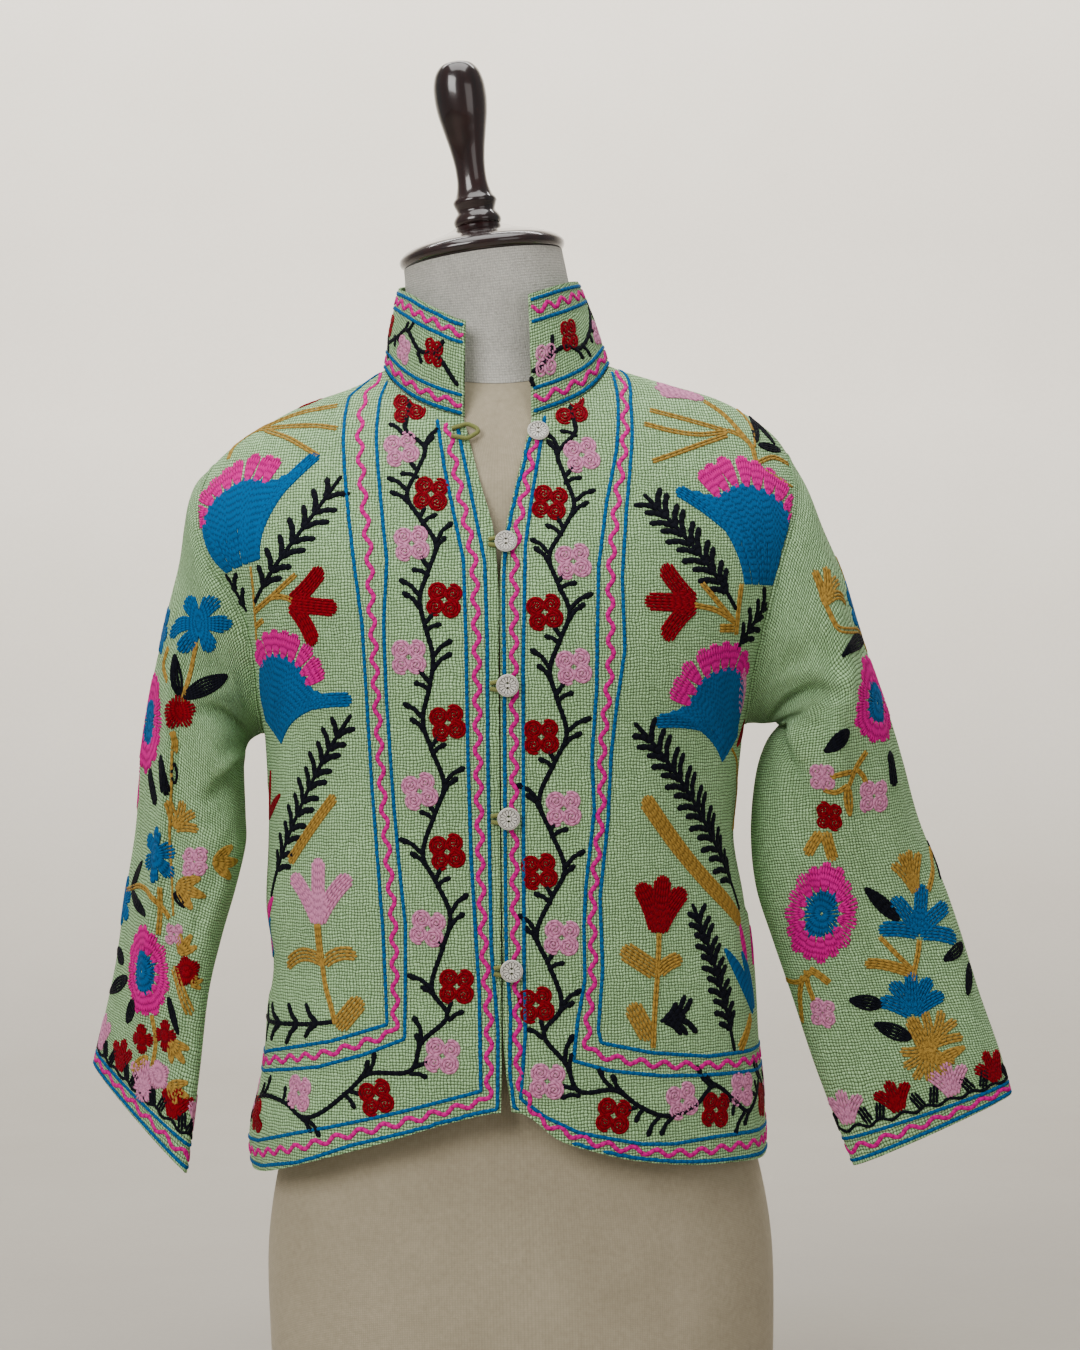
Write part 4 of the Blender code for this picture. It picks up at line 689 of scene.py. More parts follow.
def buildSleeve(side):
    chart = charts[side]
    last = len(sleeves[side]["rows"]) - 1
    rings = np.linspace(0, last, clothGrid["rings"])[:, None]
    angles = np.linspace(0, 360, clothGrid["sides"] + 1)[None]
    points = sleevePoint(side, rings, angles)[:, :-1]
    normals = gridNormals(points, wrap=True)
    if side == "left":
        normals = -normals
    full = np.concatenate([points, points[:, :1]], axis=1)
    across = lengthsFrom(full, clothGrid["frontLine"])
    up = np.interp(rings[:, 0], chart["rings"], chart["fromCuff"])[:, None]
    uv = np.stack(np.broadcast_arrays(across, up), -1)
    points = points - jacket["inset"] * normals
    sewEdge(points, normals, 0, 0)
    if side == "left":
        points, normals, uv = points[:, ::-1], normals[:, ::-1], uv[:, ::-1]
        points, normals = np.roll(points, 1, 1), np.roll(normals, 1, 1)
    piece = clothSheet("cloth_sleeve_" + side, points, normals, jacket["wall"], uv, wrap=True)
    high, far = chart["fromCuff"][0], chartGrid["reach"] - 10
    outline = np.array([[-far, 0.0], [far, 0], [far, high - 1], [-far, high - 1]])
    return standIn(piece, "sleeve_" + side), outline


def buildCollar():
    chart = charts["collar"]
    points = chart["points"].copy()
    normals = chart["normals"]
    rows, columns = points.shape[:2]
    run = runOf(points[rows // 2]) * 1000
    rise = np.linalg.norm(points[-1] - points[0], axis=-1) * 1000
    uv = np.stack([np.broadcast_to(run, (rows, columns)), np.linspace(0, 1, rows)[:, None] * rise], -1)
    points = points - jacket["inset"] * normals
    sewEdge(points, normals, 0, 0)
    if np.sum(gridNormals(points) * normals) < 0:  # the grid runs the other way round
        points, normals, uv = points[:, ::-1], normals[:, ::-1], uv[:, ::-1]
    piece = clothSheet("cloth_collar", points, normals, collar["wall"], uv)
    return standIn(piece, "collar"), None


# Welt over an armhole's seam: a flat closed cord along the sleeve's first ring.
armhole = {
    "half": 0.0026,
    "high": 0.0006,
    "sides": 10,
    "steps": 144,
    "next": 0.12,  # the ring beside it, which gives the cloth's slope there
}


def buildWelt(side):
    angles = np.linspace(0, 360, armhole["steps"] + 1)[None]
    rings = sleevePoint(side, np.array([[0.0], [armhole["next"]]]), angles)[:, :-1]
    normals = gridNormals(rings, wrap=True)[0] * (-1 if side == "left" else 1)
    line = rings[0] - jacket["inset"] * normals
    ahead = unit(np.roll(line, -1, 0) - np.roll(line, 1, 0))
    across = unit(np.cross(ahead, normals))
    turn = np.linspace(0, 2 * np.pi, armhole["sides"] + 1)
    ring = (armhole["half"] * np.cos(turn[:-1, None]) * across[:, None]
            + armhole["high"] * np.sin(turn[:-1, None]) * normals[:, None])
    points = line[:, None] + ring
    count, sides = points.shape[:2]
    number = np.arange(count * sides).reshape(count, sides)
    after = np.roll(number, -1, 0)
    faces = np.stack([number, np.roll(number, -1, 1), np.roll(after, -1, 1), after], -1).reshape(-1, 4)
    run = runOf(np.concatenate([line, line[:1]])) * 1000
    spot = np.stack(np.broadcast_arrays(run[:, None], 1000 * armhole["half"] * turn[None]), -1)
    corner = gridQuads(count + 1, sides + 1).reshape(count, sides, 4)
    mesh = newMesh("welt_" + side, points, faces.tolist())
    giveUv(mesh, spot.reshape(-1, 2)[corner.reshape(-1)])
    mesh.shade_smooth()
    return showPiece("welt_" + side, mesh)


# Stitches, in millimetres of cloth.
thread = {
    "height": 0.95,
    "sink": 0.35,  # how deep a cord's flat side lies in the ground
    "step": 2.6,  # half a chain link
    "tight": 1.95,  # the same where a line turns by more than curl, in radians to a millimetre
    "curl": 0.12,
    "pitch": 2.05,  # rows of a filled shape
    "stalkPitch": 2.1,
    "rowWidth": 2.8,
    "lineWidth": 3.4,
    "vineWidth": 4.4,
    "barbWidth": 5.8,
    "twigWidth": 3.8,
    # across a cord: offset in half widths, height
    "profile": np.array([[-1.0, -1.0], [-0.55, 0.88], [0.55, 0.88], [1.0, -1.0]]),
    # colours as seen on a screen, 0 to 255
    "colours": {
        "blue": (0, 92, 150), "pink": (214, 0, 140), "red": (132, 0, 22), "pale": (216, 138, 178),
        "ochre": (170, 134, 60), "black": (14, 16, 26),
    },
}


def fromScreen(red, green, blue):  # linear light of a screen colour
    c = np.array([red, green, blue], float) / 255
    return np.where(c <= 0.04045, c / 12.92, ((c + 0.055) / 1.055) ** 2.4)


# Points along a line at even steps, with closer ones at its ends where the cord is rounded.
def evenly(line, width):
    line = np.asarray(line, float)
    length = runOf(line)
    total = length[-1]
    lead = min(0.45 * width, total * 0.3)
    ways = np.unwrap(np.arctan2(*np.diff(line, axis=0).T))
    curly = np.abs(np.diff(ways)).sum() > thread["curl"] * total
    step = thread["tight"] if curly else thread["step"]
    count = max(2, int(round((total - 2 * lead) / step)) + 1)
    s = np.concatenate([[0, 0.3 * lead], np.linspace(lead, total - lead, count), [total - 0.3 * lead, total]])
    return readLine(s, length, line), s


# Smooth line through a few points: cubic in each coordinate along the length between them.
def throughPoints(points, step=2.0):
    points = np.asarray(points, float)
    if len(points) < 3:
        return points
    length = runOf(points)
    s = np.linspace(0, length[-1], max(3, int(length[-1] / step)))
    return np.stack([smooth(s, length, points[:, k]) for k in (0, 1)], -1)


# Which points lie inside a closed outline: an odd number of its edges cross the ray to the right.
def insideOf(outline, points):
    a, b = outline, np.roll(outline, -1, axis=0)
    x, y = points[:, 0:1], points[:, 1:2]
    crosses = (a[:, 1] > y) != (b[:, 1] > y)
    slope = (b[:, 0] - a[:, 0]) / np.where(b[:, 1] == a[:, 1], 1e-9, b[:, 1] - a[:, 1])
    return (np.sum(crosses & (x < a[:, 0] + slope * (y - a[:, 1])), axis=1) % 2).astype(bool)


# Cords of thread along lines on a chart. A ring's points are the chart's point, plus the profile's
# offset across the line and its height along the cloth's normal; every second ring is narrower,
# as the links of a chain stitch are.
def threadPiece(name, chart, lines, outline, lift=0.0):
    places, runs, scales, widths, shades, alongs = [], [], [], [], [], []
    run = 0
    for points, width, colour in lines:
        even, s = evenly(points, width)
        keep = np.ones(len(even), bool)
        if outline is not None:
            beside = np.gradient(even, axis=0)
            beside = unit(np.stack([beside[:, 1], -beside[:, 0]], -1)) * width * 0.45
            keep = insideOf(outline, even - beside) & insideOf(outline, even + beside)
        starts = np.flatnonzero(np.diff(np.concatenate([[0], keep.astype(int), [0]])))
        for first, last in zip(starts[::2], starts[1::2]):
            if last - first < 4:
                continue
            part, t = even[first:last], s[first:last]
            toEnd = np.minimum(t - t[0], t[-1] - t)
            rounded = np.sqrt(np.clip(1 - (1 - np.clip(toEnd / (0.5 * width), 0, 1)) ** 2, 0.04, 1))
            links = np.where((np.arange(len(t)) + run) % 2 == 0, 1.0, 0.84)
            places.append(part)
            scales.append(rounded * links)
            alongs.append(t)
            runs.append(np.full(len(t), run))
            widths.append(np.full(len(t), width))
            shades.append(np.broadcast_to(fromScreen(*thread["colours"][colour]), (len(t), 3)))
            run += 1
    places, runs, scales = np.concatenate(places), np.concatenate(runs), np.concatenate(scales)
    widths, shades, alongs = np.concatenate(widths), np.concatenate(shades), np.concatenate(alongs)
    base, normal = onChart(chart, places[:, 0], places[:, 1])
    same = runs[1:] == runs[:-1]
    ahead = np.zeros_like(base)
    ahead[:-1][same] += (base[1:] - base[:-1])[same]
    ahead[1:][same] += (base[1:] - base[:-1])[same]
    side = unit(np.cross(unit(ahead), normal))
    base = base - (jacket["inset"] - lift) * normal
    profile = thread["profile"]
    half = (widths * scales / 2000)[:, None, None]
    high = np.where(profile[:, 1] < 0, thread["sink"] * profile[:, 1], thread["height"] * profile[:, 1])
    high = (high[None] * np.where(profile[:, 1] < 0, 1, scales[:, None] ** 0.7))[..., None] / 1000
    rings = base[:, None] + side[:, None] * profile[None, :, :1] * half + normal[:, None] * high
    count = len(profile)
    at = np.flatnonzero(same)[:, None] * count
    ring = np.arange(count)[None]
    after = (ring + 1) % count
    quads = np.stack([at + ring, at + after, at + count + after, at + count + ring], -1).reshape(-1, 4)
    starts = np.flatnonzero(np.append(True, ~same)) * count
    ends = np.flatnonzero(np.append(~same, True)) * count
    caps = np.concatenate([starts[:, None] + np.arange(count)[::-1], ends[:, None] + np.arange(count)])
    uv = np.stack([
        np.broadcast_to(np.arange(count) / (count - 1), (len(places), count)),
        np.broadcast_to((alongs / (2 * thread["step"]))[:, None], (len(places), count))], -1)
    mesh = newMesh(name, rings, quads.tolist() + caps.tolist())
    giveUv(mesh, uv.reshape(-1, 2)[cornersOf(mesh)], "Stitch")
    rgba = np.ones((len(places), count, 4), np.float32)
    rgba[..., :3] = shades[:, None]
    attribute = mesh.color_attributes.new("Thread", "FLOAT_COLOR", "POINT")
    attribute.data.foreach_set("color", rgba.ravel())
    mesh.shade_smooth()
    return showPiece(name, mesh)


# Rows of a long shape, x across and y along: each row keeps its share of the half width, which
# follows a form between the ends. At a round end the rows stop on a half circle.
def blade(length, width, form="leaf", bend=0.0, start=0.0):
    count = max(2, int(round(width / thread["pitch"])))
    shares = np.linspace(-1, 1, count) * (1 - 0.5 * thread["pitch"] / width)
    half = min(0.5 * width, 0.45 * length)
    rows = []
    for share in shares:
        cut = half * (1 - math.sqrt(1 - share * share)) / length
        first, last = {"leaf": (0.0, 1.0), "petal": (0.0, 1 - cut), "blunt": (cut, 1 - cut)}[form]
        t = np.linspace(first, last, 13)
        if form == "leaf":
            across = np.sin(np.pi * np.clip(t, 0, 1) ** 0.85) ** 0.8
        elif form == "petal":  # narrow below
            across = np.clip(t / 0.7, 0, 1) ** 0.6
        else:
            across = np.ones(13)
        x = share * width / 2 * across + bend * 4 * t * (1 - t)
        rows.append(np.stack([x, start + t * length], -1))
    return rows


# Rows turned counter-clockwise as seen with y up, then stretched and moved.
def turnRows(rows, degrees, move=(0, 0), stretch=(1, 1)):
    a = math.radians(degrees)
    matrix = np.array([[math.cos(a), math.sin(a)], [-math.sin(a), math.cos(a)]])
    return [(np.asarray(row) @ matrix) * stretch + move for row in rows]


# A spiral whose reach grows by one pitch a turn.
def spiral(radius, centre=(0, 0), start=0.0):
    turns = radius / thread["pitch"]
    angle = np.linspace(0.35, 2 * np.pi * turns, max(8, int(turns * 15)))
    reach = thread["pitch"] * angle / (2 * np.pi)
    x, y = centre
    return np.stack([x + reach * np.cos(angle + start), y + reach * np.sin(angle + start)], -1)


def dyed(rows, colour, width=None):  # rows as lines of thread
    return [(row, width or thread["rowWidth"], colour) for row in rows]


# Four small wheels of spiral stitch, set in a square.
def rosette(colour, radius=14.5, turn=0.0):
    lines = []
    for k in range(4):
        a = math.radians(45 + 90 * k + turn)
        away = 0.54 * radius
        centre = (away * math.cos(a), away * math.sin(a))
        lines += dyed([spiral((0.47 + 0.03 * (k % 2)) * radius, centre, a)], colour)
    return lines


# Petals at even turns round a small spiral.
def starFlower(colour, radius, petals=6, width=0.5):
    if radius < 18:  # small: few fat petals
        petals, width = min(petals, 5), max(width, 0.78)
    lines = []
    for k in range(petals):
        rows = blade(radius * 0.97, radius * width, "petal")
        lines += dyed(turnRows(rows, 360 * k / petals), colour)
    return lines + dyed([spiral(radius * 0.25)], colour)


# Ring of petals round a centre of another colour.
def daisy(wide, tall, petals=15, small=8):
    radius = wide / 2
    stretch = (1, tall / wide)
    lines = []
    for k in range(petals):
        size = 1.0 - 0.07 * (k % 2)
        rows = blade(radius * 0.56 * size, 2 * math.pi * radius * 0.80 / petals, "petal", start=radius * 0.43)
        lines += dyed(turnRows(rows, 360 * k / petals, stretch=stretch), "pink")
    for k in range(small):
        rows = blade(radius * (0.50 if k % 2 else 0.42), radius * 0.34, "petal", start=radius * 0.04)
        lines += dyed(turnRows(rows, 360 * k / small + 12, stretch=stretch), "blue")
    return lines


# Lobes that fan out of one foot.
def tulip(colour, length, lobes=3, spread=48.0, width=0.34):
    if colour == "ochre":  # an open branch of thin fingers
        lobes, width = lobes + 1, min(width, 6.0 / length)
    lines = []
    for k in range(lobes):
        angle = spread * (2 * k / (lobes - 1) - 1)
        size = 1.0 - 0.06 * abs(k - (lobes - 1) / 2)
        rows = blade(length * size, length * width, "blunt", bend=0.05 * length * np.sign(angle))
        lines += dyed(turnRows(rows, angle), colour)
    return lines + dyed(blade(length * 0.48, length * width * 1.5, "blunt", start=0.02 * length), colour)


# A stem with paired blunt barbs that shorten towards its tip.
def fern(length, reach, pairs, bend=0.0):
    t = np.linspace(0, 1, 24)
    stem = np.stack([bend * 4 * t * (1 - t), t * length], -1)
    lines = [(stem, thread["vineWidth"], "black")]
    for k in range(pairs):
        share = 0.14 + 0.80 * k / pairs
        root = np.array([bend * 4 * share * (1 - share), share * length])
        tangent = math.degrees(math.atan2(bend * 4 * (1 - 2 * share), length))
        for side in (-1, 1):
            size = reach * (1.14 + 0.25 * math.sin(math.pi * share)) * (1.0 - 0.10 * ((k + (side > 0)) % 2))
            rows = [np.array([[0, 0], [side * 0.10 * size, 0.5 * size], [0, size]])]
            leaned = tangent + side * (42 + 5 * (k % 2))
            lines += dyed(turnRows(rows, leaned, root), "black", thread["barbWidth"])
    return lines


# Flower seen from its side: rows fan up from a narrow foot to a round head that runs out into a
# horn, and scallops of the second colour stand along the head.
def palmette(wide, tall, flip=1, horn=1.0):
    marks = np.array([0.0, 0.12, 0.22, 0.36, 0.55, 0.70, 0.85, 1.0])
    head = np.array([[0.62, 0.74], [0.40, 0.67], [0.30, 0.67], [0.13, 0.76], [-0.03, 0.75], [-0.15, 0.70],
                     [-0.25, 0.61], [-0.30, 0.46]]) * [wide, tall]
    bow = np.array([[0.17, 0.35], [0.16, 0.35], [0.13, 0.37], [0.06, 0.37], [-0.05, 0.35], [-0.15, 0.31],
                    [-0.24, 0.25], [-0.31, 0.18]]) * [wide, tall]
    head[0] = head[2] + (head[0] - head[2]) * horn
    head[1] = head[2] + (head[1] - head[2]) * horn
    foot = np.array([[0.16, 0.0], [-0.16, 0.0]]) * [wide, tall]

    def at(k, table):
        return np.stack([smooth(k, marks, table[:, j]) for j in (0, 1)], -1)

    k = np.linspace(0, 1, 200)
    rim = runOf(at(k, head))
    most, least = int(rim[-1] / thread["pitch"]), int(0.32 * wide / thread["pitch"])
    lines = []
    golden = 0.618034  # spreads the rows' lower ends evenly in any order
    for row in range(most):
        share = np.interp((row + 0.5) / most * rim[-1], rim, k)
        order = (row * golden) % 1.0
        begin = np.clip((order * most - least) / (most - least), 0, 1) * 0.5
        t = np.linspace(begin, 1 + 0.01 * (row % 4 - 1.5), 16)[:, None]
        low = foot[0] + (foot[1] - foot[0]) * share
        curve = low * (1 - t) ** 2 + 2 * at(share, bow) * t * (1 - t) + at(share, head) * t**2
        lines.append((curve * [flip, 1], thread["rowWidth"] + 0.5, "blue"))
    rows = blade(0.56 * wide * (0.5 + 0.5 * horn), 9.5, "blunt", bend=-1.5)
    rows = turnRows(rows, -52, [0.23 * wide, 0.42 * tall])
    lines += dyed([row * [flip, 1] for row in rows], "blue")
    scallops = 9
    for n in range(scallops):
        share = np.interp(rim[-1] * (0.30 * horn + (1 - 0.30 * horn) * (n + 0.5) / scallops), rim, k)
        here, ahead = at(share, head), at(min(share + 0.01, 1), head) - at(max(share - 0.01, 0), head)
        outward = math.degrees(math.atan2(-ahead[1], -ahead[0]))
        size = 0.275 * tall * (1.0 - 0.35 * (n / (scallops - 1)) ** 3 - 0.12 * (1 - n / (scallops - 1)) ** 4)
        rows = blade(size, 0.108 * wide, "petal", start=-3.5)
        lines += dyed([row * [flip, 1] for row in turnRows(rows, outward, here)], "pink")
    return lines


def stalk(points, rows=1, colour="ochre", width=2.7):  # rows of chain stitch side by side
    line = throughPoints(points)
    across = np.gradient(line, axis=0)
    across = unit(np.stack([across[:, 1], -across[:, 0]], -1))
    offsets = (np.arange(rows) - (rows - 1) / 2) * thread["stalkPitch"]
    return [(line + across * offset, width, colour) for offset in offsets]


# Three narrow leaves from one foot.
def trefoil(colour, length, spread=34.0):
    lines = []
    for angle, size in ((-spread, 0.85), (0, 1.0), (spread, 0.85)):
        lines += dyed(turnRows(blade(length * size, length * 0.30, "leaf"), angle), colour)
    return lines


def leaf(colour, length, width, form="leaf", bend=0.0):
    return dyed(blade(length, width, form, bend), colour)


motifKinds = {
    "leaf": leaf, "tulip": tulip, "fern": fern, "palmette": palmette, "trefoil": trefoil,
    "rosette": rosette, "star": starFlower, "daisy": daisy,
}


# Lines drawn round a foot, turned so that +y runs from it to a tip, and laid on the cloth there:
# the chart's own stretch at the middle of the motif is taken out.
def laid(chart, lines, foot, tip=None, mirrored=False):
    foot = np.asarray(foot, float)
    tip = foot + [0, 1] if tip is None else np.asarray(tip, float)
    middle = (foot + tip) / 2 if np.linalg.norm(tip - foot) > 2 else foot
    spots = middle + np.array([[0, 0], [2, 0], [0, 2]])
    points = onChart(chart, spots[:, 0], spots[:, 1])[0] * 1000
    across, up = (points[1] - points[0]) / 2, (points[2] - points[0]) / 2
    level = across / np.linalg.norm(across)
    lean = up @ level
    stretch = np.array([[np.linalg.norm(across), lean], [0, np.linalg.norm(up - lean * level)]])
    way = stretch @ (tip - foot)
    turn = np.array([[way[1], way[0]], [-way[0], way[1]]]) / np.linalg.norm(way)
    back = np.linalg.inv(stretch) @ turn @ np.diag([-1 if mirrored else 1, 1])
    return [(foot + points @ back.T, width, colour) for points, width, colour in lines]


# A line, a wavy line and a line side by side, between two routes.
def border(first, second, wave=(18.0, 2.3)):
    lines = []
    first, second = throughRoute(first), throughRoute(second)
    share = np.linspace(0, 1, 160)
    pair = []
    for route in (first, second):
        length = runOf(route)
        lines.append((route, thread["lineWidth"], "blue"))
        pair.append(readLine(share * length[-1], length, route))
    middle = (pair[0] + pair[1]) / 2
    return lines + [(waved(middle, *wave), thread["lineWidth"] + 0.8, "pink")]


def throughRoute(route):  # corners stay sharp: only straight pieces are divided
    route = np.asarray(route, float)
    length = runOf(route)
    s = np.union1d(np.linspace(0, length[-1], max(2, int(length[-1] / 3))), length)
    return readLine(s, length, route)


# A line swung to both sides by a sine along its length, whose phase drifts a little.
def waved(line, wavelength, rise):
    length = runOf(line)
    s = np.linspace(0, length[-1], max(4, int(length[-1] / 1.8)))
    points = readLine(s, length, line)
    across = np.gradient(points, axis=0)
    across = unit(np.stack([across[:, 1], -across[:, 0]], -1))
    swing = rise * np.sin(2 * np.pi * s / wavelength + 0.5 * np.sin(s / 37.0))
    return points + across * swing[:, None]


# Climbing stem. Below each flower the stem has a node, where the flower's own twig leaves it on one
# side and a blunt twig on the other; smaller twigs stand between the nodes. All lean backwards
# along the stem, to its start.
def vine(flowers, radius=14.0, reach=23.0, seed=1, ends=None):
    draw = np.random.default_rng(seed)
    spots = np.array([(x, y) for _, x, y in flowers], float)
    padded = np.concatenate([2 * spots[:1] - spots[1:2], spots, 2 * spots[-1:] - spots[-2:-1]])
    axis = (padded[:-2] + 2 * padded[1:-1] + padded[2:]) / 4
    back = unit(padded[:-2] - padded[2:])
    gap, aside, behind = 3.6, 0.12, 1.22
    beside = spots - unit(spots - axis) * (radius + gap)
    joints = axis - aside * (spots - axis) - behind * radius * back
    route = np.stack([beside, joints], 1).reshape(-1, 2)
    route = route if ends is None else np.concatenate([ends[:1], route[:-1], ends[1:]])
    line = throughPoints(route)
    lines = [(line, thread["vineWidth"], "black")]

    def twig(root, way, degrees, size):
        heading = math.degrees(math.atan2(-way[0], way[1])) + degrees
        bow = 0.10 * size * np.sign(degrees)
        stem = np.array([[0, 0], [bow, 0.5 * size], [0, size]])
        stem, tip = turnRows([stem, np.array([[0.6 * bow, 0.62 * size], [0, size]])], heading, root)
        if np.min(np.linalg.norm(spots - stem[-1], axis=-1)) > radius:
            lines.extend([(stem, thread["twigWidth"] + 0.4, "black"),
                          (tip, thread["twigWidth"] + 1.9, "black")])

    for n, (spot, joint, way) in enumerate(zip(spots, joints, back)):
        toFlower = spot - joint
        reached = np.linalg.norm(toFlower)
        end = joint + toFlower * (1 - 0.72 * radius / reached)
        lines.append((np.array([joint, end]), thread["vineWidth"], "black"))
        side = np.sign(way[0] * (spot - axis[n])[1] - way[1] * (spot - axis[n])[0]) or 1.0
        for along, lean, size in ((3.0, -50, 0.84), (-8.0, -44, 0.78)):
            near = beside[n] + along * way
            root = line[np.argmin(np.linalg.norm(line - near, axis=-1))]
            twig(root, way, side * (lean + draw.uniform(-6, 6)), reach * size * draw.uniform(0.9, 1.1))
        twig(joint - 5.5 * way, way, side * draw.uniform(56, 66), reach * draw.uniform(0.58, 0.68))
    for colour, x, y in flowers:
        turned = draw.uniform(-14, 14)
        lines += [(points + [x, y], width, dye) for points, width, dye in rosette(colour, radius, turned)]
    return lines


# A socket that can be used in sums: an expression adds its Math nodes.
class Wire:
    def __init__(self, tree, socket):
        self.tree, self.socket = tree, socket

    def maths(self, operation, other=None):
        values = [self] if other is None else [self, other]
        return addNode(self.tree, "ShaderNodeMath", {"operation": operation},
                       **{"_%d" % k: v for k, v in enumerate(values)})

    def __add__(self, other):
        return self.maths("ADD", other)

    def __sub__(self, other):
        return self.maths("SUBTRACT", other)

    def __mul__(self, other):
        return self.maths("MULTIPLY", other)

    def __pow__(self, other):
        return self.maths("POWER", other)

    def __rsub__(self, other):
        return addNode(self.tree, "ShaderNodeMath", {"operation": "SUBTRACT"}, _0=other, _1=self)

    __radd__ = __add__
    __rmul__ = __mul__


# Any node: its settings first, then a value or a wire for each socket. A key is a socket's name
# with _ for a space, or _0, _1 for its place.
def addNode(tree, kind, settings=None, output=0, **inputs):
    node = tree.nodes.new(kind)
    for key, value in (settings or {}).items():
        setattr(node, key, value)
    for key, value in inputs.items():
        place = int(key[1:]) if key[0] == "_" and key[1:].isdigit() else key.replace("_", " ")
        if isinstance(value, Wire):
            tree.links.new(value.socket, node.inputs[place])
        else:
            node.inputs[place].default_value = value
    return Wire(tree, node.outputs[output])


# The few nodes that every finish here uses, on one material's tree.
class Finish:
    def __init__(self, name):
        self.material = bpy.data.materials.new(name)
        self.material.use_nodes = True
        self.tree = self.material.node_tree
        self.tree.nodes.clear()

    def node(self, kind, settings=None, output=0, **inputs):
        return addNode(self.tree, kind, settings, output, **inputs)

    def place(self):
        return self.node("ShaderNodeTexCoord", output=3)

    def uv(self, name):
        return self.node("ShaderNodeUVMap", {"uv_map": name})

    def parts(self, vector):
        return [self.node("ShaderNodeSeparateXYZ", output=k, Vector=vector) for k in range(3)]

    def vector(self, x, y, z=0.0):
        return self.node("ShaderNodeCombineXYZ", X=x, Y=y, Z=z)

    def noise(self, vector, scale, detail=2.0, roughness=0.5):
        return self.node("ShaderNodeTexNoise", Vector=vector, Scale=scale, Detail=detail, Roughness=roughness)

    def mix(self, factor, first, second, blend="MIX"):
        settings = {"data_type": "RGBA", "blend_type": blend, "clamp_factor": True}
        return self.node("ShaderNodeMix", settings, 2, _0=factor, _6=first, _7=second)

    def tinted(self, colour, red, green, blue):  # a colour times three shares
        shares = self.node("ShaderNodeCombineColor", Red=red, Green=green, Blue=blue)
        return self.mix(1.0, colour, shares, "MULTIPLY")

    def range(self, value, low, high, toLow, toHigh):
        return self.node("ShaderNodeMapRange", _0=value, _1=low, _2=high, _3=toLow, _4=toHigh)

    def finish(self, colour, roughness, bump=None, strength=0.3, distance=0.001, fixed=None):
        shader = self.node("ShaderNodeBsdfPrincipled")
        sockets = shader.socket.node.inputs
        for name, value in (("Base Color", colour), ("Roughness", roughness)):
            if isinstance(value, Wire):
                self.tree.links.new(value.socket, sockets[name])
            else:
                sockets[name].default_value = value
        for name, value in (fixed or {}).items():
            sockets[name].default_value = value
        if bump is not None:
            normal = self.node("ShaderNodeBump", Strength=strength, Distance=distance, Height=bump)
            self.tree.links.new(normal.socket, sockets["Normal"])
        self.out(shader)
        return self.material

    def out(self, shader):
        node = self.tree.nodes.new("ShaderNodeOutputMaterial")
        self.tree.links.new(shader.socket, node.inputs["Surface"])


def colourOf(red, green, blue):  # a screen colour as a socket takes it
    return (*fromScreen(red, green, blue).tolist(), 1.0)


# Coarse plain weave: in each cell one thread lies on top. A cell's relief is a bump whose height
# falls off as the cosine across the thread and more slowly along it; cells alternate in direction.
ground = {
    "pitch": 2.3,  # millimetres of a cell
    "slub": 0.42,
    "light": (200, 246, 186),
    "mid": (173, 217, 159),
    # painted shade between the threads, where the weave lies low
    "gap": (78, 102, 62),
}


def groundCloth(name="Sage ground"):
    f = Finish(name)
    uv = f.uv("Cloth")
    wander = f.noise(uv, 0.09, 2.0)
    drift = f.noise(uv, 0.55, 2.0)
    x, y, _ = f.parts(uv)
    u = x * (1 / ground["pitch"]) + (wander - 0.5) * 1.6 + (drift - 0.5) * ground["slub"]
    sway = (f.noise(f.vector(y, x), 0.085) - 0.5) * 1.6
    v = y * (1 / (ground["pitch"] * 0.98)) + sway + (drift - 0.5) * 0.35
    cellX, cellY = u.maths("FLOOR"), v.maths("FLOOR")
    a, b = u - cellX - 0.5, v - cellY - 0.5
    parity = (cellX + cellY).maths("PINGPONG", 1.0)
    waveX = (a * math.pi).maths("COSINE")
    waveY = (b * math.pi).maths("COSINE")
    upThread = (waveX ** 0.75) * (waveY ** 0.45)
    overThread = (waveY ** 0.75) * (waveX ** 0.45)
    relief = upThread * parity + overThread * (1.0 - parity)
    cell = f.node("ShaderNodeTexWhiteNoise", {"noise_dimensions": "2D"}, Vector=f.vector(cellX, cellY))
    column = f.node("ShaderNodeTexWhiteNoise", {"noise_dimensions": "1D"}, W=cellX)
    row = f.node("ShaderNodeTexWhiteNoise", {"noise_dimensions": "1D"}, W=cellY + 71.3)
    tone = cell * 0.5 + column * (parity * 0.35) + row * ((1.0 - parity) * 0.35) + (wander - 0.5) * 0.25
    fibre = f.noise(f.vector(x * 3.2, y * 3.2), 1.9, 3.0, 0.7)
    height = relief + fibre * 0.16 + cell * 0.18 + (drift - 0.5) * 0.5
    body = f.mix(f.range(tone, 0.15, 0.95, 0.0, 1.0), colourOf(*ground["mid"]), colourOf(*ground["light"]))
    # painted shade: the colour turns to the gap colour where the relief is low, between the threads
    depth = f.range(relief, 0.18, 0.72, 0.0, 1.0)
    colour = f.mix(depth, colourOf(*ground["gap"]), body)
    patch = f.range(f.noise(uv, 0.012, 3.0), 0.3, 0.7, 0.93, 1.05)
    colour = f.tinted(colour, patch, patch, patch)
    return f.finish(colour, f.range(fibre, 0.2, 0.8, 0.82, 0.95), height, 0.95, 0.0011,
                    {"Sheen Weight": 0.05, "Sheen Roughness": 0.5, "Specular IOR Level": 0.15})
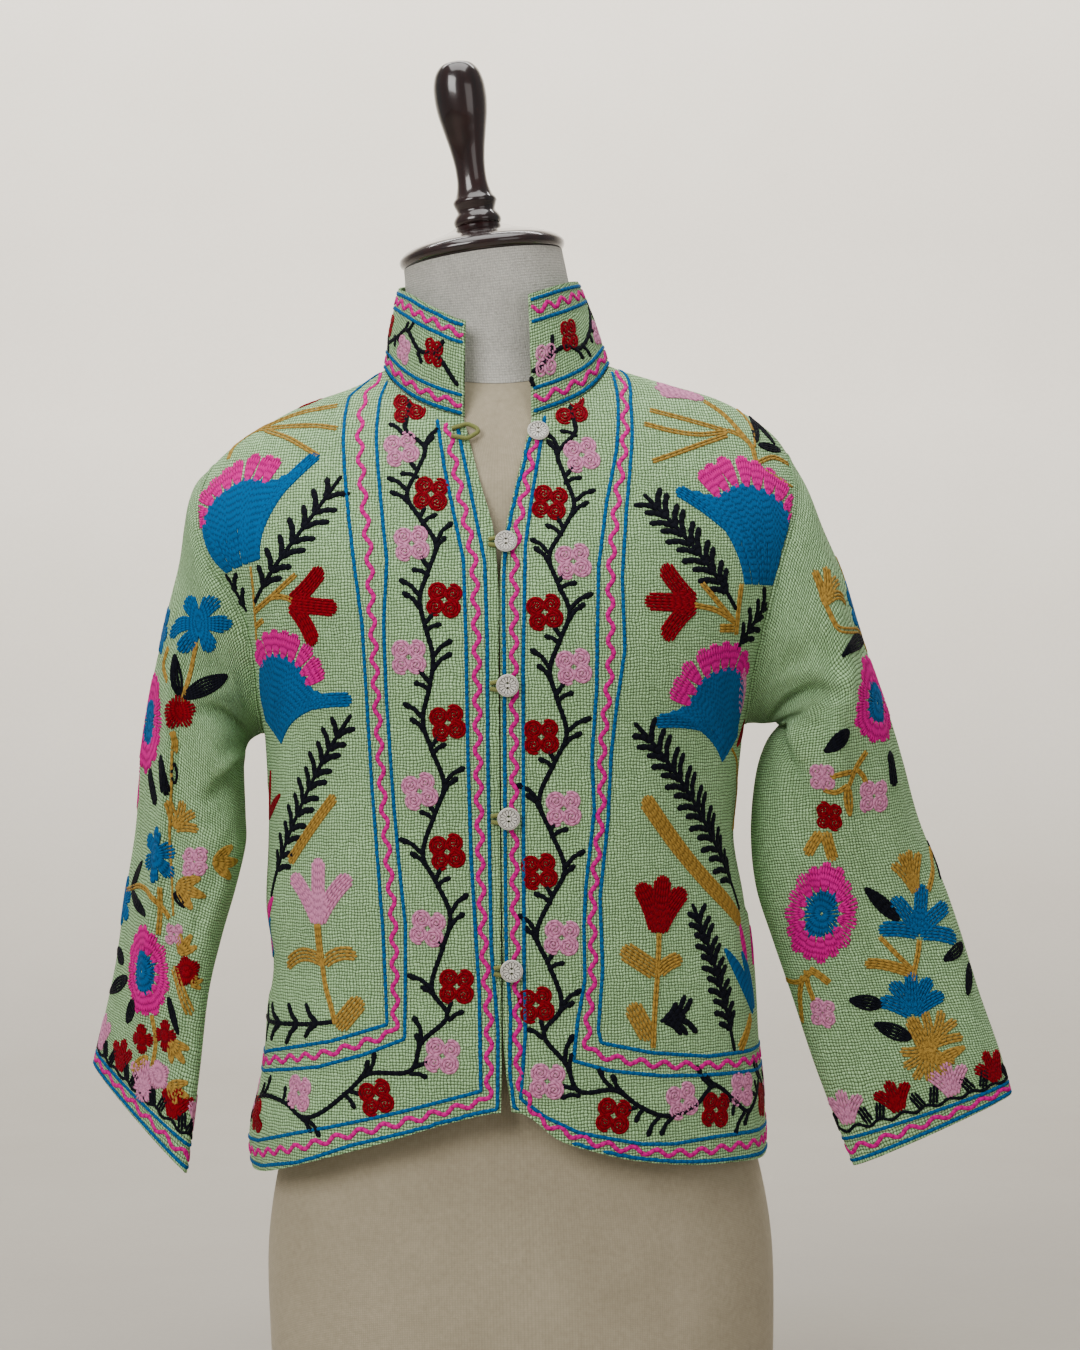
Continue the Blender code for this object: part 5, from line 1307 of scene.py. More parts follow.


# Wool thread: the links of a chain stitch as V shapes along the cord, over fine fibres, with painted shade
# that darkens the grooves between the links.
def woolThread(name="Wool thread"):
    f = Finish(name)
    dye = f.node("ShaderNodeVertexColor", {"layer_name": "Thread"})
    u, v, _ = f.parts(f.uv("Stitch"))
    side = (u - 0.5).maths("ABSOLUTE")
    link = (v + side * 0.9).maths("FRACT")
    ridge = (link * math.pi).maths("SINE") ** 0.6
    fibre = f.noise(f.place(), 900.0, 3.0, 0.7)
    strand = f.noise(f.vector(u * 5.0, v * 0.8), 2.2, 2.0)
    height = ridge * 0.7 + fibre * 0.25 + strand * 0.3
    worn = f.range(f.noise(f.place(), 60.0), 0.3, 0.7, 0.93, 1.06)
    # painted shade: the colour darkens where the links and strands lie low; worn varies it at random
    tone = f.range(ridge * 0.65 + strand * 0.35, 0.15, 0.9, 0.52, 1.1) * worn
    colour = f.tinted(dye, tone, tone, tone)
    return f.finish(colour, f.range(fibre, 0.2, 0.8, 0.78, 0.95), height, 0.85, 0.0009,
                    {"Sheen Weight": 0.02, "Sheen Roughness": 0.4, "Specular IOR Level": 0.1})


# Plain cloth of the dress form: fine weave with painted shade in the gaps between its threads, faint slubs
# and soft marks.
def formLinen(name, base, shade, pitch, depth, slub):
    f = Finish(name)
    p = f.place()
    uv = f.uv("Cloth")
    x, y, _ = f.parts(uv)
    u, v = x * (1 / pitch), y * (1 / pitch)
    a, b = (u * math.pi).maths("SINE").maths("ABSOLUTE"), (v * math.pi).maths("SINE").maths("ABSOLUTE")
    grainy = f.noise(p, slub, 3.0, 0.65)
    fine = f.noise(p, 1400.0, 2.0)
    weave = a * b
    cloud = f.noise(p, 14.0, 4.0, 0.6)
    tone = f.range(grainy * 0.5 + cloud * 0.5, 0.3, 0.7, 0.0, 1.0)
    colour = f.mix(tone, colourOf(*shade), colourOf(*base))
    # painted shade: the colour darkens towards a deeper shade where the weave's threads part
    colour = f.mix(f.range(weave, 0.0, 0.6, 0.25, 0.0), colour, colourOf(*[c * 0.72 for c in shade]))
    relief = weave * 0.5 + grainy * 1.4 + fine * 0.3
    return f.finish(colour, f.range(fine, 0.2, 0.8, 0.78, 0.93), relief, 0.5, depth,
                    {"Sheen Weight": 0.08, "Specular IOR Level": 0.3})


# Polished dark wood: grain drawn out along the height under a clear coat.
def darkWood(name="Dark polished wood"):
    f = Finish(name)
    x, y, z = f.parts(f.place())
    long = f.vector(x, y, z * 0.12)
    streak = f.noise(long, 150.0, 4.0, 0.6)
    broad = f.noise(f.vector(x, y, z * 0.3), 28.0, 3.0)
    pores = f.noise(long, 900.0, 2.0)
    grain = f.range(streak * 0.55 + broad * 0.45, 0.36, 0.66, 0.0, 1.0)
    colour = f.mix(grain, colourOf(12, 5, 7), colourOf(42, 14, 13))
    return f.finish(colour, f.range(broad, 0.3, 0.7, 0.16, 0.26), pores * 0.4 + streak * 0.3, 0.10, 0.0004,
                    {"Coat Weight": 0.8, "Coat Roughness": 0.06, "Specular IOR Level": 0.5})


# Off-white enamel with dark lines: petals round the centre and a rim, drawn in the button's own
# flat coordinates, in shares of its radius.
def buttonEnamel(name="Button enamel"):
    f = Finish(name)
    x, y, _ = f.parts(f.uv("Face"))
    reach = (x * x + y * y).maths("SQRT")
    angle = y.maths("ARCTAN2", x)
    petal = (angle * 7.0).maths("COSINE").maths("ABSOLUTE")
    spokes = (f.range(petal, 0.34, 0.62, 1.0, 0.0) * f.range(reach, 0.24, 0.30, 0.0, 1.0)
              * f.range(reach, 0.70, 0.80, 1.0, 0.0))
    tips = f.range((reach - 0.66 - petal * 0.12).maths("ABSOLUTE"), 0.02, 0.06, 1.0, 0.0)
    rim = f.range((reach - 0.88).maths("ABSOLUTE"), 0.015, 0.045, 0.75, 0.0)
    heart = f.range((reach - 0.26).maths("ABSOLUTE"), 0.02, 0.06, 0.9, 0.0)
    lines = spokes.maths("MAXIMUM", tips).maths("MAXIMUM", rim).maths("MAXIMUM", heart)
    wear = f.noise(f.place(), 700.0, 3.0)
    colour = f.mix(lines * f.range(wear, 0.25, 0.6, 0.6, 1.0), colourOf(226, 222, 212), colourOf(18, 18, 24))
    return f.finish(colour, f.range(wear, 0.3, 0.7, 0.28, 0.42), 1.0 - lines * 0.8, 0.4, 0.0003,
                    {"Coat Weight": 0.25, "Coat Roughness": 0.15})


# Olive cord: twill lines that wind round it, with painted shade in their grooves, over fine fibres.
def loopCord(name="Loop cord"):
    f = Finish(name)
    u, v, _ = f.parts(f.uv("Stitch"))
    twill = ((u * 2.0 + v * 3.0).maths("FRACT") * math.pi).maths("SINE")
    fine = f.noise(f.place(), 1500.0, 2.0)
    # painted shade: the olive darkens in the twill's grooves; the fine fibres vary it at random
    lay = f.range(twill * 0.6 + fine * 0.4, 0.2, 0.8, 0.0, 1.0)
    colour = f.mix(lay, colourOf(92, 98, 44), colourOf(140, 146, 80))
    return f.finish(colour, 0.85, twill * 0.6 + fine * 0.4, 0.5, 0.0003, {"Sheen Weight": 0.1})


# Plaster: soft clouds and grit, with painted shade that darkens and warms it towards the floor.
def paleWall(name, light, dark, scale):
    f = Finish(name)
    p = f.place()
    cloud = f.noise(p, scale, 5.0, 0.6)
    grit = f.noise(p, 160.0, 2.0)
    colour = f.mix(f.range(cloud * 0.8 + grit * 0.2, 0.35, 0.65, 0.0, 1.0), colourOf(*dark), colourOf(*light))
    _, _, z = f.parts(p)
    # painted shade: the plaster darkens and warms from a metre up down to the floor
    low = f.range(z, 0.0, 1.0, 0.44, 1.0)
    colour = f.tinted(colour, low, low * 0.985, low * 0.96)
    return f.finish(colour, 0.9, grit * 0.2 + cloud * 0.5, 0.08, 0.002, {"Specular IOR Level": 0.2})


form = {
    # height, middle to the wearer's left, half width, depths before and behind
    "rows": np.array([
        [0.000, 0.0050, 0.184, 0.117, 0.129], [0.070, 0.0050, 0.188, 0.118, 0.132],
        [0.150, 0.0045, 0.187, 0.117, 0.131], [0.225, 0.0040, 0.172, 0.112, 0.118],
        [0.300, 0.0030, 0.147, 0.102, 0.099], [0.375, 0.0025, 0.128, 0.095, 0.086],
        [0.440, 0.0020, 0.131, 0.103, 0.092], [0.510, 0.0015, 0.145, 0.121, 0.102],
        [0.575, 0.0010, 0.154, 0.130, 0.109], [0.630, 0.0005, 0.163, 0.119, 0.114],
        [0.670, 0.0000, 0.172, 0.106, 0.114],
    ]),
    "square": 2.25,
    "inset": 0.0038,  # under the jacket's shoulders
    "shoulder": 0.184,
    # heights of the shoulder rings in front, at the sides and behind
    "shoulders": np.array([
        [0.700, 0.700, 0.700], [0.716, 0.716, 0.716], [0.729, 0.730, 0.730], [0.740, 0.742, 0.742],
        [0.749, 0.753, 0.753], [0.757, 0.763, 0.764], [0.7625, 0.770, 0.775],
    ]),
    # half width, depths before and behind, heights in front, at the sides and behind
    "neck": np.array([
        [0.0820, 0.0620, 0.0655, 0.7675, 0.7790, 0.7880], [0.0690, 0.0600, 0.0620, 0.7720, 0.7890, 0.8010],
    ]),
    "sides": 144,
    "levels": 90,
    # turns of the sewn seams, and how deep and wide their grooves are
    "seams": (0, -33, 33, -90, 90, 148, -148, 180),
    "seamDepth": 0.0009,
    "seamWidth": 1.0,
}
cap = {
    "tilt": -6.9,
    "seat": (-0.0105, 0.0, 0.8705),
    "topRadius": 0.0598,
    "sides": 96,
    # height above the cap's underside, radius
    "dish": np.array([
        [0.0265, 0.0170], [0.0245, 0.0200], [0.0215, 0.0270], [0.0180, 0.0385], [0.0140, 0.0510],
        [0.0095, 0.0600], [0.0060, 0.0625], [0.0025, 0.0618], [0.0000, 0.0590],
    ]),
    "handle": np.array([
        [0.1500, 0.0060], [0.1480, 0.0115], [0.1430, 0.0160], [0.1350, 0.0188], [0.1240, 0.0197],
        [0.1120, 0.0188], [0.0980, 0.0160], [0.0820, 0.0128], [0.0680, 0.0112], [0.0560, 0.0118],
        [0.0485, 0.0140], [0.0445, 0.0165], [0.0405, 0.0152], [0.0370, 0.0142], [0.0330, 0.0168],
        [0.0290, 0.0180], [0.0269, 0.0172],
    ]),
}


def tilted(angle, front, side, back):
    end = np.where(np.cos(angle) > 0, front, back)
    return side + (end - side) * np.cos(angle) ** 2


# Rings of the form: superellipses x = w sin^(2/n), y = -d cos^(2/n) up to the chest, then the
# jacket's own sections moved in, then the turn up into the neck.
def torsoRings():
    turns = np.linspace(0, 360, form["sides"] + 1)[:-1]
    angle = np.radians(turns)
    wrapped = (turns + 180) % 360 - 180
    before = np.cos(angle) > 0
    rows = form["rows"]
    level = np.linspace(0, rows[-1, 0], form["levels"])[:, None]
    middle, wide, front, back = (smooth(level, rows[:, 0], rows[:, k]) for k in range(1, 5))
    x = wide * signedPower(np.sin(angle), 2 / form["square"]) + middle
    y = -np.where(before, front, back) * signedPower(np.cos(angle), 2 / form["square"])
    lower = np.stack([x, y, np.broadcast_to(level, x.shape)], -1)
    upper = []
    count = len(form["shoulders"])
    for share in np.linspace(0, count - 1, 6 * (count - 1) + 1):
        row = smooth(share, np.arange(count, dtype=float), form["shoulders"])
        heights = tilted(angle, *row)
        ring = section(wrapped, heights) - form["inset"] * sectionNormal(wrapped, heights)
        ring[:, 0] = np.clip(ring[:, 0], -form["shoulder"], form["shoulder"])
        upper.append(ring)
    neck = []
    for wide, front, back, zFront, zSide, zBack in form["neck"]:
        neck.append(np.stack([wide * np.sin(angle), -np.where(before, front, back) * np.cos(angle),
                              tilted(angle, zFront, zSide, zBack)], -1))
    between = [neck[0] * (1 - s) + neck[1] * s for s in (0, 0.5, 1)]
    bridge = [upper[-1] * (1 - s) + neck[0] * s for s in (0.34, 0.67)]
    return np.concatenate([lower, np.stack(upper + bridge + between)])


# Rings closed at both ends by a fan of narrowing rings.
def closedRings(name, rings, uv):
    def narrowed(ring, shares):
        centre = ring.mean(0)
        return [centre + (ring - centre) * s for s in shares]

    low, high = narrowed(rings[0], (0.02, 0.5, 0.985)), narrowed(rings[-1], (0.985, 0.5, 0.02))
    points = np.stack(low + list(rings) + high)
    rows, columns = points.shape[:2]
    faces = gridQuads(rows, columns, wrap=True)
    corner = gridQuads(rows, columns + 1)
    full = np.concatenate([uv[:1]] * 3 + [uv] + [uv[-1:]] * 3)
    mesh = newMesh(name, points, faces.tolist() + endFaces(rows, columns))
    flat = full.reshape(-1, 2)
    tails = np.concatenate([flat[:columns][::-1], flat[-columns - 1:-1]])
    giveUv(mesh, np.concatenate([flat[corner.reshape(-1)], tails]))
    mesh.shade_smooth()
    mesh.set_sharp_from_angle(angle=math.radians(40))
    return showPiece(name, mesh)


def ringUv(rings):  # millimetres round and up
    full = np.concatenate([rings, rings[:, :1]], axis=1)
    around = np.linspace(0, 1, full.shape[1])[None] * np.linalg.norm(
        np.diff(full[len(full) // 2], axis=0), axis=-1).sum() * 1000
    rise = np.linalg.norm(np.diff(full, axis=0), axis=-1).mean(1)
    up = np.append(0, np.cumsum(rise))[:, None] * 1000
    return np.stack(np.broadcast_arrays(around, up), -1)


def capFrame():
    tilt = Matrix.Rotation(math.radians(cap["tilt"]), 4, "Y")
    return np.array(Matrix.Translation(Vector(cap["seat"])) @ tilt)


def buildTorso():
    rings = torsoRings()
    turns = np.linspace(0, 360, form["sides"] + 1)[:-1]
    groove = np.zeros(form["sides"])
    for seam in form["seams"]:
        away = (turns - seam + 180) % 360 - 180
        groove += np.exp(-((away / (form["seamWidth"] * 1.6)) ** 2))
    normals = gridNormals(rings, wrap=True)
    keep = np.ones(len(rings))
    keep[-8:] = 0
    rings = rings - form["seamDepth"] * (groove[None] * keep[:, None])[..., None] * normals
    rings[0, :, 2] = 0.0
    piece = closedRings("torso_cover", rings, ringUv(rings))
    return standIn(piece, "form_torso")


def buildNeck():
    angle = np.radians(np.linspace(0, 360, form["sides"] + 1)[:-1])
    wide, front, back, zFront, zSide, zBack = form["neck"][-1]
    base = np.stack([wide * np.sin(angle), -np.where(np.cos(angle) > 0, front, back) * np.cos(angle),
                     tilted(angle, zFront, zSide, zBack) + 0.0003], -1)
    circle = np.stack([np.sin(angle), -np.cos(angle), np.zeros(len(angle))], -1) * cap["topRadius"]
    circle[:, 2] = -0.0003
    seat = capFrame()
    top = circle @ seat[:3, :3].T + seat[:3, 3]
    share = np.linspace(0, 1, 40)[:, None, None]
    rings = base * (1 - share) + top * share
    centre = rings.mean(1, keepdims=True)
    waist = 1 - 0.020 * np.sin(np.pi * share)
    rings = centre + (rings - centre) * np.concatenate([waist, waist, np.ones_like(waist)], -1)
    piece = closedRings("neck_cover", rings, ringUv(rings))
    return standIn(piece, "form_neck")


# Profile of (height, radius) turned round an axis: finer points come from a smooth curve.
def turnedPiece(name, rows, sides, place, steps=5):
    run = runOf(rows)
    s = np.linspace(0, run[-1], steps * (len(rows) - 1) + 1)
    height, radius = smooth(s, run, rows[:, 0])[::-1], smooth(s, run, rows[:, 1])[::-1]
    angle = roundTurns(sides)
    rings = np.stack(np.broadcast_arrays(
        radius[:, None] * np.sin(angle), -radius[:, None] * np.cos(angle), height[:, None]), -1)
    rings = rings @ place[:3, :3].T + place[:3, 3]
    return closedRings(name, rings, ringUv(rings))


def buildCap():
    place = capFrame()
    pieces = []
    for name, node, rows in (("wood_cap", "neck_cap", cap["dish"]),
                             ("wood_handle", "neck_handle", cap["handle"])):
        pieces.append(standIn(turnedPiece(name, rows, cap["sides"], place), node))
    return pieces


fastenings = {
    # x and z of each button's centre, and whether it is fastened
    "rows": [(0.0285, 0.7345, False), (0.0043, 0.6526, True), (0.0039, 0.5516, True),
             (0.0030, 0.4578, True), (0.0032, 0.3507, True)],
    "radius": 0.0080,
    "thick": 0.0024,
    "holeRadius": 0.0009,
    "holeApart": 0.0034,
    "sides": 48,
    "holeSides": 16,
    "cutTo": (-0.004, 0.006),  # the ends of the cutters
    "loopRadius": 0.0016,
    "cadRadius": 0.0011,  # of the plain loops that these replace
    "loopClear": 0.0004,
    "loopBend": 0.0031,
    "looseLoop": (-0.0262, 0.7340, 0.0125, -0.0003),  # where it leaves the edge, reach, clearance
}


def frontPoint(x, z, side):  # point and normal of the front's face
    x, z = np.array(x), np.array(z)
    turn = turnAt(x, z, side)
    across = onJacket(turn + 1.5, z) - onJacket(turn - 1.5, z)
    up = onJacket(turn, z + 0.003) - onJacket(turn, z - 0.003)
    return onJacket(turn, z), unit(np.cross(across, up))


def frontFrame(x, z, side, out):  # on the front: X across, Y up the cloth, Z outwards
    point, outward = (Vector(row.tolist()) for row in frontPoint(x, z, side))
    level = Vector((1, 0, 0)) - outward * outward.x
    level.normalize()
    place = Matrix((level, outward.cross(level), outward)).transposed().to_4x4()
    place.translation = point + outward * out
    return place


def helper(name, rings):  # a closed stack of rings as an object that is removed again
    rows, columns = rings.shape[:2]
    faces = gridQuads(rows, columns, wrap=True).tolist() + endFaces(rows, columns)
    made = bpy.data.objects.new(name, newMesh(name, rings, faces))
    bpy.context.scene.collection.objects.link(made)
    return made


# Button: a turned disc with a rounded rim and a shallow dish, cut by two cylinders for its holes.
def buildButton(number, x, z, fastened):
    b = fastenings
    r, t = b["radius"], b["thick"]
    lift = b["loopClear"] + (2 * b["cadRadius"] + b["loopClear"] if fastened else 0)
    place = frontFrame(x, z, "left", lift)
    profile = np.array([
        [0.0, r - 0.0012], [0.0002, r - 0.0006], [0.0007, r - 0.0001], [0.0012, r], [0.0017, r - 0.0001],
        [t - 0.0002, r - 0.0006], [t, r - 0.0013], [t - 0.0001, r - 0.0018], [t - 0.0004, r - 0.0030],
        [t - 0.0004, 0.0022], [t - 0.0004, 0.0004],
    ])
    angle = roundTurns(b["sides"])
    rings = np.stack(np.broadcast_arrays(
        profile[:, 1:] * np.cos(angle), profile[:, 1:] * np.sin(angle), profile[:, :1]), -1)
    disc = helper("disc", rings)
    cutters = []
    for y in (-b["holeApart"] / 2, b["holeApart"] / 2):
        turn = roundTurns(b["holeSides"])
        tube = np.stack([np.stack([b["holeRadius"] * np.cos(turn), y + b["holeRadius"] * np.sin(turn),
                                   np.full(len(turn), h)], -1) for h in b["cutTo"]])
        cutter = helper("hole", tube)
        cutters.append(cutter)
        step = disc.modifiers.new("Hole", "BOOLEAN")
        step.object = cutter
        step.solver = "EXACT"
    bpy.context.view_layer.update()
    whole = bpy.data.meshes.new_from_object(disc.evaluated_get(bpy.context.evaluated_depsgraph_get()))
    for obj in [disc, *cutters]:
        bpy.data.objects.remove(obj, do_unlink=True)
    flat = np.empty(len(whole.vertices) * 3, np.float32)
    whole.vertices.foreach_get("co", flat)
    flat = flat.reshape(-1, 3)
    giveUv(whole, (flat[:, :2] / r)[cornersOf(whole)], "Face")
    whole.transform(place)
    whole.shade_smooth()
    whole.set_sharp_from_angle(angle=math.radians(35))
    piece = showPiece("button_face_%d" % number, whole)
    return standIn(piece, "button_%d" % number)


# Round cord along a path: rings across its direction, closed at both ends.
def cordPiece(name, path, radius, sides=14):
    path = np.asarray(path, float)
    run = runOf(path)
    s = np.linspace(0, run[-1], 60)
    line = np.stack([smooth(s, run, path[:, k]) for k in range(3)], -1)
    ahead = unit(np.gradient(line, axis=0))
    out = np.broadcast_to(np.array([0, -1.0, 0.25]), line.shape)
    side = unit(np.cross(ahead, out))
    up = np.cross(side, ahead)
    angle = roundTurns(sides)[None, :, None]
    rings = line[:, None] + radius * (np.cos(angle) * side[:, None] + np.sin(angle) * up[:, None])
    faces = gridQuads(len(rings), sides, wrap=True)
    corner = gridQuads(len(rings), sides + 1)
    uv = np.stack(np.broadcast_arrays(np.linspace(0, 1, sides + 1)[None], (s * 1000)[:, None]), -1)
    flat = uv.reshape(-1, 2)
    mesh = newMesh(name, rings, faces.tolist() + endFaces(len(rings), sides))
    tails = np.concatenate([flat[:sides][::-1], flat[-sides - 1:-1]])
    giveUv(mesh, np.concatenate([flat[corner.reshape(-1)], tails]), "Stitch")
    mesh.shade_smooth()
    return showPiece(name, mesh)


def seated(place, clear):  # a cord's point, set on the front's face
    point, outward = frontPoint(place.x, place.z, "left" if place.x > 0 else "right")
    return point + (clear + fastenings["loopRadius"]) * outward


def buildLoop(number, x, z, fastened):
    b = fastenings
    bend = b["loopBend"]
    if fastened:
        place = frontFrame(x, z, "left", b["loopClear"] + b["loopRadius"])
        end = -0.0125
        turn = np.radians(np.linspace(-80, 80, 9))
        flat = [(end, -0.6 * bend), (end * 0.55, -0.92 * bend)]
        flat += list(zip(bend * np.cos(turn), bend * np.sin(turn)))
        flat += [(end * 0.55, 0.92 * bend), (end, 0.6 * bend)]
        clear = b["loopClear"]
    else:
        x, z, reach, clear = b["looseLoop"]
        half = 0.0058
        flat = [(-0.0075, 0.55 * half), (-0.0030, 0.75 * half), (0.35 * reach, half),
                (0.62 * reach, 0.72 * half), (0.90 * reach, 0.16 * half), (0.93 * reach, -0.16 * half),
                (0.66 * reach, -0.62 * half),
                (0.35 * reach, -half), (-0.0030, -0.75 * half), (-0.0075, -0.55 * half)]
        place = frontFrame(x, z, "right", b["loopClear"] + b["loopRadius"])
    path = [seated(place @ Vector((float(u), float(v), 0.0)), clear) for u, v in flat]
    piece = cordPiece("loop_cord_%d" % number, path, b["loopRadius"])
    return standIn(piece, "loop_%d" % number)


